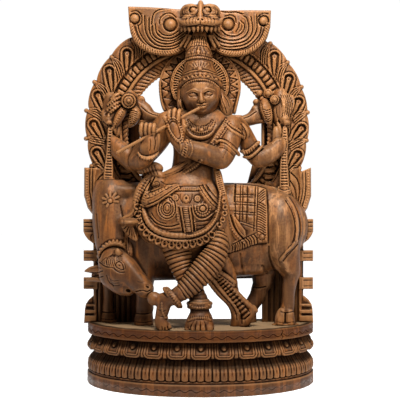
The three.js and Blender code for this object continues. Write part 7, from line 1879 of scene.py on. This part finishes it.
    # foot: chain over the instep, toe lines, nails
    b.beads([(188.6, 320.2), (193.6, 318.2), (199.6, 317.6), (205.6, 318.0), (210.6, 319.4)], 1.0, 1.8, pitch=2.1)
    b.stroke([(187.6, 322.2), (193.6, 320.4), (199.6, 319.8), (205.6, 320.2), (211.4, 321.8)], 0.8, -1.2, mode="add")
    for u0, u1 in ((193.6, 190.0), (196.8, 195.2), (200.4, 200.4), (204.4, 206.0)):
        b.stroke([(u0 * 0.35 + u1 * 0.65, 325.0), (u0 * 0.2 + u1 * 0.8, 327.6), (u1, 331.4)], 0.95, -3.0, mode="add")
        b.stroke([(u0, 321.2), (u0 * 0.4 + u1 * 0.6, 325.0)], 1.1, -1.1, mode="add", smoothn=1)
    for i in range(10):
        b.stroke([(190.6 + 2.1 * i, 316.0), (189.8 + 2.3 * i, 319.4)], 0.8, -1.6, mode="add", smoothn=1)
    for u, v in ((187.6, 328.6), (192.6, 329.0), (197.8, 329.2), (203.2, 329.2), (209.2, 329.0)):
        b.stroke(circle(u, v, 1.0, -80, 80, 6), 0.6, -0.9, mode="add", smoothn=1)
    b.beads([(161.6, 303.6), (161.8, 308.6), (163.0, 313.2), (165.4, 317.6)], 1.2, 2.2, pitch=2.5)
    b.stroke([(158.4, 309.6), (162.0, 311.2), (166.4, 310.0)], 0.8, -1.2, mode="add")
    b.stroke([(157.6, 315.0), (161.0, 316.6), (164.4, 316.0)], 0.8, -1.2, mode="add")
    for u, v in ((161.8, 326.6), (164.8, 327.4), (167.6, 326.6)):
        b.stroke([(u, v), (u + 0.4, v + 3.2)], 0.8, -2.6, mode="add", smoothn=1)
    # ladder rungs on the sash
    for i in range(12):
        t = i / 11
        u = 219.6 + 26.4 * t
        v = 279.4 + 36.0 * t - 2.0 * math.sin(math.pi * t)
        nx, ny = 0.80, -0.60
        w = 3.3
        b.stroke([(u - nx * w, v - ny * w), (u + nx * w, v + ny * w)], 1.9, 3.2, smoothn=1)
        b.stroke([(u - nx * w + 1.15, v - ny * w + 1.6), (u + nx * w + 1.15, v + ny * w + 1.6)], 1.1, -3.2, mode="add", smoothn=1)
    for pts, w, d in (([(213.4, 276.2), (221.8, 287.6), (229.0, 296.4), (236.0, 305.2), (241.4, 315.0), (242.0, 324.0)], 1.0, -3.2),
                      ([(209.4, 278.8), (217.6, 289.4), (224.2, 297.0), (231.0, 304.4), (235.6, 312.0), (237.0, 320.0)], 0.95, -2.8),
                      ([(223.4, 284.2), (232.0, 293.2), (241.0, 302.6), (249.4, 311.4)], 1.0, -3.2)):
        b.stroke(pts, w, d, mode="add")
    b.stroke([(240.6, 318.6), (245.0, 318.8), (250.0, 313.6)], 0.9, -2.0, mode="add")
    b.stroke([(216.2, 272.4), (225.6, 278.6), (234.0, 285.0)], 0.8, -2.2, mode="add")
    b.stroke([(214.8, 274.8), (224.0, 281.2), (231.6, 287.2)], 0.8, -2.2, mode="add")
    c.carve(b, face=0.45)
    return c


# ------------------------------------------------------------------ wood
def wood_material():
    m = bpy.data.materials.new("carved_wood")
    m.use_nodes = True
    nt = m.node_tree
    nt.nodes.clear()
    L = nt.links

    def N(kind, **kw):
        n = nt.nodes.new(kind)
        for k, v in kw.items():
            setattr(n, k, v)
        return n

    def math_(op, a, b=None, c=None, clamp=False):
        n = N("ShaderNodeMath", operation=op, use_clamp=clamp)
        for i, x in enumerate((a, b, c)):
            if x is None:
                continue
            if isinstance(x, (int, float)):
                n.inputs[i].default_value = x
            else:
                L.new(x, n.inputs[i])
        return n.outputs[0]

    def ramp(x, a, b, lo=0.0, hi=1.0):
        n = N("ShaderNodeMapRange", interpolation_type="SMOOTHSTEP")
        L.new(x, n.inputs["Value"])
        n.inputs["From Min"].default_value = a
        n.inputs["From Max"].default_value = b
        n.inputs["To Min"].default_value = lo
        n.inputs["To Max"].default_value = hi
        return n.outputs[0]

    def noise(scale, detail=4.0, rough=0.55, vec=(1, 1, 1), off=(0, 0, 0), dist=0.0):
        mp = N("ShaderNodeMapping")
        mp.inputs["Scale"].default_value = vec
        mp.inputs["Location"].default_value = off
        L.new(tc.outputs["Object"], mp.inputs["Vector"])
        n = N("ShaderNodeTexNoise")
        n.inputs["Scale"].default_value = scale
        n.inputs["Detail"].default_value = detail
        n.inputs["Roughness"].default_value = rough
        n.inputs["Distortion"].default_value = dist
        L.new(mp.outputs[0], n.inputs["Vector"])
        return n.outputs["Fac"]

    def mix(fac, a, b, mode="MIX"):
        n = N("ShaderNodeMix", data_type="RGBA", blend_type=mode)
        if isinstance(fac, (int, float)):
            n.inputs[0].default_value = fac
        else:
            L.new(fac, n.inputs[0])
        for i, x in ((6, a), (7, b)):
            if isinstance(x, tuple):
                n.inputs[i].default_value = (*x, 1.0)
            else:
                L.new(x, n.inputs[i])
        return n.outputs[2]

    tc = N("ShaderNodeTexCoord")
    edge = N("ShaderNodeAttribute", attribute_name="edge").outputs["Fac"]
    hollow = N("ShaderNodeAttribute", attribute_name="hollow").outputs["Fac"]
    carved = N("ShaderNodeAttribute", attribute_name="carved").outputs["Fac"]

    grain = noise(1.0, 5, 0.62, (210, 210, 9), dist=0.4)
    fine = noise(1.0, 3, 0.6, (620, 620, 22), (3, 1, 7))
    broad = noise(1.0, 3, 0.5, (34, 34, 0.9), (11, 5, 2), dist=0.3)
    veins = noise(1.0, 2, 0.5, (96, 96, 1.4), (1, 8, 4), dist=0.3)
    pale = noise(1.0, 2, 0.5, (52, 52, 0.5), (7, 3, 5), dist=0.12)
    blotch = noise(26, 4, 0.6, (1, 1, 0.7), (5, 9, 1))
    speck = noise(170, 3, 0.65, (1, 1, 1), (2, 2, 2))

    mid = mix(ramp(blotch, 0.34, 0.66), MID_A, MID_B)
    # paler upright bands on the right flank: pale grain, and painted light where the flank faces the lamps
    place = N("ShaderNodeSeparateXYZ")
    L.new(tc.outputs["Object"], place.inputs[0])
    pale_grain_and_light = math_("MULTIPLY", ramp(place.outputs["X"], 0.10, 0.19, 0.0, 0.9), ramp(pale, 0.40, 0.58))
    mid = mix(math_("MULTIPLY", pale_grain_and_light, ramp(place.outputs["Z"], 0.13, 0.19)), mid, PALE_GRAIN_AND_LIGHT)
    col = mix(ramp(broad, 0.49, 0.55, 0.0, 0.80), mid, STREAK)
    col = mix(ramp(veins, 0.51, 0.55, 0.0, 0.76), col, STREAK)
    col = mix(ramp(grain, 0.38, 0.64, 0.0, 0.46), col, GRAIN_AND_SHADE_DARK)
    col = mix(ramp(fine, 0.52, 0.70, 0.0, 0.26), col, GRAIN_AND_SHADE_DARK)
    # painted shade: darker towards the bottom, less so on the right, as if lit from above right; the front of the
    # plinth's upper plate gets its own darker colour
    spot = N("ShaderNodeSeparateXYZ")
    L.new(tc.outputs["Object"], spot.inputs[0])
    foot = ramp(spot.outputs["Z"], 0.112, 0.152, 0.20, 0.0)
    plate = math_("MULTIPLY", ramp(spot.outputs["Z"], 0.118, 0.123), ramp(spot.outputs["Z"], 0.1455, 0.1485, 1.0, 0.0))
    lower_shade = math_("MULTIPLY", ramp(spot.outputs["Z"], 0.15, 0.50, 0.50, 0.0), ramp(spot.outputs["X"], 0.05, 0.22, 1.0, 0.35))
    # worn, lighter ridges and tan carved passages
    tan = mix(ramp(speck, 0.35, 0.65), TAN_A, TAN_B)
    wear = math_("MULTIPLY", ramp(carved, 0.05, 0.55), ramp(blotch, 0.30, 0.62, 0.30, 0.95))
    wear = math_("MULTIPLY", wear, ramp(spot.outputs["Z"], 0.10, 0.45, 0.55, 1.0))
    col = mix(math_("MULTIPLY", wear, 0.52), col, tan)
    ridge = ramp(edge, 0.02, 0.55, 0.0, 0.62)
    col = mix(math_("MULTIPLY", ridge, ramp(speck, 0.25, 0.6, 0.55, 1.0)), col, RIDGE)
    # painted shade towards the foot and the lower left, in the dark grain colour
    col = mix(math_("MAXIMUM", foot, lower_shade), col, GRAIN_AND_SHADE_DARK)
    front = ramp(place.outputs["Y"], 0.098, 0.1035, 1.0, 0.0)
    col = mix(math_("MULTIPLY", math_("MULTIPLY", plate, front), 0.46), col, PLATE)
    # dust lying on upward faces
    geo = N("ShaderNodeNewGeometry")
    sep = N("ShaderNodeSeparateXYZ")
    L.new(geo.outputs["Normal"], sep.inputs[0])
    upward = ramp(sep.outputs["Z"], 0.45, 0.95)
    dust = math_("MULTIPLY", math_("MULTIPLY", upward, ramp(hollow, 0.10, 0.45, 0.25, 1.0)), ramp(speck, 0.28, 0.62, 0.3, 1.0))
    ledge = math_("MULTIPLY", ramp(sep.outputs["Z"], 0.80, 0.97), ramp(spot.outputs["Z"], 0.1495, 0.1530, 1.0, 0.0))
    ledge = math_("MULTIPLY", ledge, ramp(spot.outputs["Z"], 0.1440, 0.1475))
    col = mix(math_("MULTIPLY", dust, 0.55), col, DUST)
    col = mix(math_("MULTIPLY", ledge, ramp(speck, 0.2, 0.8, 0.62, 0.92)), col, LEDGE)
    # grime in the recesses and painted shade: concave creases and enclosed hollows darkened like ambient occlusion
    dark1 = ramp(edge, 0.02, -0.34, 0.0, 1.0)
    dark2 = ramp(hollow, 0.26, 0.60, 0.0, 1.0)
    grime_and_shade = math_("MAXIMUM", dark1, math_("MULTIPLY", dark2, 0.85))
    grime_and_shade = math_("MULTIPLY", grime_and_shade, ramp(blotch, 0.25, 0.6, 0.72, 1.0))
    # painted shade on the panels behind the legs and under the belly, where the cow and the skirt shade them
    wide = math_("ABSOLUTE", place.outputs["X"], 0.0)
    panel_shade = math_("MULTIPLY", ramp(place.outputs["Y"], 0.028, 0.042), ramp(place.outputs["Y"], 0.085, 0.100, 1.0, 0.0))
    panel_shade = math_("MULTIPLY", panel_shade, math_("MULTIPLY", ramp(place.outputs["Z"], 0.30, 0.36, 1.0, 0.0), ramp(wide, 0.222, 0.232, 1.0, 0.0)))
    belly_shade = math_("MULTIPLY", ramp(place.outputs["Z"], 0.265, 0.325, 1.0, 0.0), ramp(place.outputs["Y"], -0.030, -0.018))
    belly_shade = math_("MULTIPLY", belly_shade, math_("MULTIPLY", ramp(place.outputs["X"], -0.118, -0.085), ramp(place.outputs["X"], -0.030, 0.005, 1.0, 0.0)))
    shade_patch = math_("MULTIPLY", math_("MAXIMUM", panel_shade, belly_shade), ramp(place.outputs["Z"], 0.1495, 0.156))
    grime_and_shade = math_("MAXIMUM", grime_and_shade, math_("MULTIPLY", shade_patch, 0.74))
    col = mix(math_("MULTIPLY", grime_and_shade, 0.93), col, GRIME_AND_SHADE)

    bs = N("ShaderNodeBsdfPrincipled")
    L.new(col, bs.inputs["Base Color"])
    ro = math_("ADD", ramp(carved, 0.0, 0.6, ROUGH_LO, ROUGH_HI), math_("MULTIPLY", math_("SUBTRACT", speck, 0.5), 0.28))
    ro = math_("ADD", ro, math_("MULTIPLY", grime_and_shade, 0.25))
    ro = math_("ADD", ro, ramp(spot.outputs["Z"], 0.146, 0.20, 0.14, 0.0))
    ro = math_("ADD", ro, math_("MULTIPLY", dust, 0.35))
    ro = math_("ADD", ro, math_("MULTIPLY", ledge, 0.45), clamp=True)
    L.new(ro, bs.inputs["Roughness"])
    sp = math_("MULTIPLY", ramp(carved, 0.02, 0.5, 0.95, 0.26), ramp(grime_and_shade, 0.0, 1.0, 1.0, 0.2))
    sp = math_("MULTIPLY", sp, ramp(ledge, 0.0, 1.0, 1.0, 0.15))
    dull = math_("MAXIMUM", ramp(spot.outputs["Z"], 0.146, 0.20, 0.34, 1.0), ramp(spot.outputs["Z"], 0.114, 0.121, 0.85, 0.0))
    dull = math_("MAXIMUM", dull, ramp(front, 0.0, 1.0, 0.85, 0.0))
    sp = math_("MULTIPLY", sp, dull)
    L.new(sp, bs.inputs["Specular IOR Level"])
    bs.inputs["Specular Tint"].default_value = (1.0, 0.80, 0.62, 1.0)
    bs.inputs["IOR"].default_value = 1.5
    bump = N("ShaderNodeBump")
    bump.inputs["Strength"].default_value = 0.35
    bump.inputs["Distance"].default_value = 0.0012
    hgt = math_("ADD", math_("MULTIPLY", grain, 0.5), math_("ADD", math_("MULTIPLY", fine, 0.35), math_("MULTIPLY", speck, 0.5)))
    L.new(hgt, bump.inputs["Height"])
    L.new(bump.outputs[0], bs.inputs["Normal"])
    out = N("ShaderNodeOutputMaterial")
    L.new(bs.outputs[0], out.inputs["Surface"])
    return m


MID_A, MID_B = (0.205, 0.0640, 0.0115), (0.098, 0.0248, 0.0046)
STREAK = (0.0175, 0.0050, 0.0024)
# dark grain colour, also used for painted shade low down
GRAIN_AND_SHADE_DARK = (0.0260, 0.0074, 0.0026)
TAN_A, TAN_B = (0.222, 0.094, 0.0275), (0.118, 0.042, 0.0110)
RIDGE = (0.300, 0.135, 0.047)
DUST = (0.225, 0.155, 0.090)
LEDGE = (0.205, 0.132, 0.070)
PLATE = (0.046, 0.0125, 0.0034)
# pale band colour, also painted light on the right flank
PALE_GRAIN_AND_LIGHT = (0.400, 0.190, 0.078)
# near-black for grime and for painted shade in creases and hollows
GRIME_AND_SHADE = (0.0036, 0.0014, 0.0008)
ROUGH_LO, ROUGH_HI = 0.22, 0.46

# ------------------------------------------------------------------ meshes
GLO, GH = np.array([-300.0, -120.0, -12.0]), 3.0
GN = (201, 81, 312)
FILL = np.zeros(GN, np.float32)          # how full of wood each small cube of the whole block is


def occupy(clay):
    ax = [GLO[k] + GH * np.arange(GN[k]) for k in range(3)]
    sel, idx = [], []
    for k in range(3):
        f = (ax[k] - clay.lo[k]) / clay.h
        m = np.where((f > 0) & (f < clay.n[k] - 1))[0]
        if not len(m):
            return
        sel.append(slice(m[0], m[-1] + 1))
        idx.append(np.clip(np.round(f[m]).astype(int), 0, clay.n[k] - 1))
    sub = clay.f[np.ix_(*idx)]
    occ = np.clip(0.5 - sub / GH, 0, 1)
    np.maximum(FILL[tuple(sel)], occ, out=FILL[tuple(sel)])


def keep_large(n, faces, least):
    """Label connected parts; return a mask of the faces whose part is big enough."""
    lab = np.arange(n)
    e = np.concatenate([faces[:, [0, 1]], faces[:, [1, 2]], faces[:, [2, 3]]])
    for _ in range(200):
        a, b = lab[e[:, 0]], lab[e[:, 1]]
        lo = np.minimum(a, b)
        new = lab.copy()
        np.minimum.at(new, e[:, 0], lo)
        np.minimum.at(new, e[:, 1], lo)
        new = new[new]
        new = new[new]
        if (new == lab).all():
            break
        lab = new
    cnt = np.bincount(lab, minlength=n)
    return cnt[lab[faces[:, 0]]] >= least


def build_mesh(name, pts, quads, tris=None):
    me = bpy.data.meshes.new(name)
    nq = len(quads)
    nt = 0 if tris is None else len(tris)
    me.vertices.add(len(pts))
    me.vertices.foreach_set("co", (np.asarray(pts, np.float32) / 1000.0).ravel())
    loops = quads.ravel() if nt == 0 else np.concatenate([quads.ravel(), tris.ravel()])
    me.loops.add(len(loops))
    me.loops.foreach_set("vertex_index", loops.astype(np.int32))
    starts = np.concatenate([np.arange(nq) * 4, nq * 4 + np.arange(nt) * 3]).astype(np.int32)
    me.polygons.add(nq + nt)
    me.polygons.foreach_set("loop_start", starts)
    me.update(calc_edges=True)
    me.validate()
    return me


def thin_out(me, ratio):
    ob = bpy.data.objects.new("tmp", me)
    bpy.context.collection.objects.link(ob)
    md = ob.modifiers.new("d", "DECIMATE")
    md.ratio = ratio
    md.use_collapse_triangulate = False
    dg = bpy.context.evaluated_depsgraph_get()
    out = bpy.data.meshes.new_from_object(ob.evaluated_get(dg))
    bpy.data.objects.remove(ob)
    bpy.data.meshes.remove(me)
    return out


def tri_count(me):
    n = len(me.polygons)
    t = np.empty(n, np.int32)
    me.polygons.foreach_get("loop_total", t)
    return int((t - 2).sum())


WOOD = wood_material()
PENDING = []


def finish_piece(name, me, edge, carved):
    """Make the object; the hollow attribute is filled in once every piece is known."""
    n = len(me.vertices)
    for nm, val in (("edge", edge), ("carved", carved)):
        at = me.attributes.new(nm, "FLOAT", "POINT")
        at.data.foreach_set("value", np.asarray(val, np.float32))
    me.materials.clear()
    me.materials.append(WOOD)
    me.polygons.foreach_set("use_smooth", np.ones(len(me.polygons), bool))
    ob = bpy.data.objects.new(name, me)
    bpy.context.collection.objects.link(ob)
    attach(ob, "root")
    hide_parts(NODE)
    PENDING.append(ob)
    print("piece", name, tri_count(me), "triangles", round(time.time() - T0, 1), "s")


def raise_clay(name, clay, budget):
    occupy(clay)
    pts, quads = clay.mesh(name)
    ok = keep_large(len(pts), quads, 400)
    quads = quads[ok].astype(np.int64)
    used = np.unique(quads)
    remap = np.full(len(pts), -1)
    remap[used] = np.arange(len(used))
    pts, quads = pts[used], remap[quads]
    p = pts[quads]
    vol = np.einsum("ij,ij->i", p[:, 0], np.cross(p[:, 1] - p[:, 0], p[:, 2] - p[:, 0])).sum()
    if vol < 0:
        quads = quads[:, ::-1]
    raw = 2 * len(quads)
    me = build_mesh(name, pts, quads)
    t1 = time.time()
    if raw > budget:
        me = thin_out(me, budget / raw)
    n = len(me.vertices)
    co = np.empty(n * 3, np.float32)
    me.vertices.foreach_get("co", co)
    co = co.reshape(-1, 3).astype(np.float64) * 1000.0
    f = np.clip(clay.f, -5, 5)
    fine = boxblur(f, 2)
    here = sample(fine, clay.lo, clay.h, co)
    wide = boxblur(fine, 4)
    there = sample(wide, clay.lo, clay.h, co)
    edge = np.clip(here / 1.2, -1, 1) * 0.7 + np.clip(there / 2.0, -1, 1) * 0.3
    energy = boxblur(np.abs(fine - f), 5)
    carved = np.clip(sample(energy, clay.lo, clay.h, co) * 2.2, 0, 1)
    print("   ", name, "raw", raw, "decimate", round(time.time() - t1, 1))
    finish_piece(name, me, edge, carved)


# hollow: how much wood lies just off the surface; the wood darkens by it as painted shade and gathers dust by it
def fill_hollows():
    g = boxblur(boxblur(FILL, 2), 2)
    for ob in PENDING:
        me = ob.data
        n = len(me.vertices)
        co = np.empty(n * 3, np.float32)
        no = np.empty(n * 3, np.float32)
        me.vertices.foreach_get("co", co)
        me.vertex_normals.foreach_get("vector", no)
        co = co.reshape(-1, 3).astype(np.float64) * 1000.0
        no = no.reshape(-1, 3)
        v = sample(g, GLO, GH, co + no * 9.0)
        at = me.attributes.new("hollow", "FLOAT", "POINT")
        at.data.foreach_set("value", v.astype(np.float32))


# ------------------------------------------------------------------ assembly
def raise_plinth():
    pts, quads, edge, carved = plinth_mesh()
    last = quads[:, 2] == quads[:, 3]
    me = build_mesh("plinth_carving", pts, quads[~last], quads[last][:, :3])
    x, y, _ = plan_front()
    ax = [GLO[k] + GH * np.arange(GN[k]) for k in range(3)]
    yf = np.interp(ax[0], x, y, left=1e3, right=1e3)
    inside = (ax[1][None, :] > yf[:, None]) & (ax[1][None, :] < BACK) & (np.abs(ax[0])[:, None] < HALF)
    z = (ax[2] > 0) & (ax[2] < 149)
    np.maximum(FILL, (inside[:, :, None] & z[None, None, :]).astype(np.float32), out=FILL)
    finish_piece("plinth_carving", me, edge, carved)


H = 1.5
raise_plinth()
raise_clay("arch_and_pillars", build_arch(H), 185000)
raise_clay("crest", build_crest(H), 95000)
raise_clay("halo", build_halo(H), 42000)
raise_clay("makaras", build_makaras(H), 80000)
raise_clay("cow", build_cow(H), 140000)
raise_clay("head_and_crown", build_head(1.1 if H < 2 else 2.2), 72000)
raise_clay("body_and_flute", build_body(H), 88000)
raise_clay("dress", build_dress(H), 92000)
raise_clay("legs_and_sash", build_legs(H), 62000)
fill_hollows()

# ------------------------------------------------------------------ floor, camera, light
S = bpy.context.scene
floor = bpy.data.meshes.new("floor")
floor.from_pydata([(-14, -14, 0), (14, -14, 0), (14, 14, 0), (-14, 14, 0)], [], [(0, 1, 2, 3)])
floor_ob = bpy.data.objects.new("floor", floor)
S.collection.objects.link(floor_ob)
fm = bpy.data.materials.new("floor_paint")
fm.use_nodes = True
b = fm.node_tree.nodes["Principled BSDF"]
b.inputs["Base Color"].default_value = (0.52, 0.52, 0.52, 1)
b.inputs["Roughness"].default_value = 0.9
b.inputs["Specular IOR Level"].default_value = 0.1
b.inputs["Emission Color"].default_value = (1.0, 1.0, 1.0, 1)
# the sheet glows softly from the plinth backwards and is dimmer under the viewer
where = fm.node_tree.nodes.new("ShaderNodeTexCoord")
split = fm.node_tree.nodes.new("ShaderNodeSeparateXYZ")
glow = fm.node_tree.nodes.new("ShaderNodeMapRange")
glow.interpolation_type = "SMOOTHSTEP"
fm.node_tree.links.new(where.outputs["Object"], split.inputs[0])
fm.node_tree.links.new(split.outputs["Y"], glow.inputs["Value"])
glow.inputs["From Min"].default_value = -0.75
glow.inputs["From Max"].default_value = -0.12
glow.inputs["To Min"].default_value = 0.05
glow.inputs["To Max"].default_value = 0.80
fm.node_tree.links.new(glow.outputs[0], b.inputs["Emission Strength"])
floor.materials.append(fm)

cam = bpy.data.objects.new("camera", bpy.data.cameras.new("camera"))
S.collection.objects.link(cam)
cam.location = (0.0, -EYE / 1000.0, EZ / 1000.0)
cam.rotation_euler = (math.radians(90), 0, 0)
cam.data.sensor_width = 36.0
cam.data.lens = 36.0 * EYE / (GRID * 400.0)
cam.data.shift_x = -0.5 / 400.0
cam.data.shift_y = 15.0 / 400.0
cam.data.clip_start, cam.data.clip_end = 0.05, 60.0
S.camera = cam

w = bpy.data.worlds.new("studio")
S.world = w
w.use_nodes = True
# white sweep behind the block, dimmer studio in front of it
bg = w.node_tree.nodes["Background"]
bg.inputs["Color"].default_value = (1.0, 1.0, 1.0, 1)
where = w.node_tree.nodes.new("ShaderNodeTexCoord")
split = w.node_tree.nodes.new("ShaderNodeSeparateXYZ")
glow = w.node_tree.nodes.new("ShaderNodeMapRange")
glow.interpolation_type = "SMOOTHSTEP"
w.node_tree.links.new(where.outputs["Generated"], split.inputs[0])
w.node_tree.links.new(split.outputs["Y"], glow.inputs["Value"])
glow.inputs["From Min"].default_value = -0.15
glow.inputs["From Max"].default_value = 0.75
glow.inputs["To Min"].default_value = 0.10
glow.inputs["To Max"].default_value = 1.02
w.node_tree.links.new(glow.outputs[0], bg.inputs["Strength"])


def softbox(name, loc, size, power, target=(0, 0, 0.45), color=(1, 1, 1)):
    from mathutils import Vector
    d = bpy.data.lights.new(name, "AREA")
    d.shape = "RECTANGLE"
    d.size, d.size_y = size
    d.energy = power
    d.color = color
    o = bpy.data.objects.new(name, d)
    S.collection.objects.link(o)
    o.location = loc
    o.rotation_euler = (Vector(target) - Vector(loc)).to_track_quat("-Z", "Y").to_euler()
    return o


softbox("key", (0.10, -1.05, 1.95), (0.7, 0.5), 78, (0, 0, 0.60))
softbox("side_left", (-1.5, -0.9, 0.95), (0.4, 1.4), 4, (0, 0, 0.55))
softbox("side_right", (1.15, -1.45, 1.05), (0.35, 1.4), 17, (0, 0, 0.50))
S.view_settings.view_transform = "Standard"
S.view_settings.look = "None"

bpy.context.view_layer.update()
print("made in", round(time.time() - T0, 1), "s")
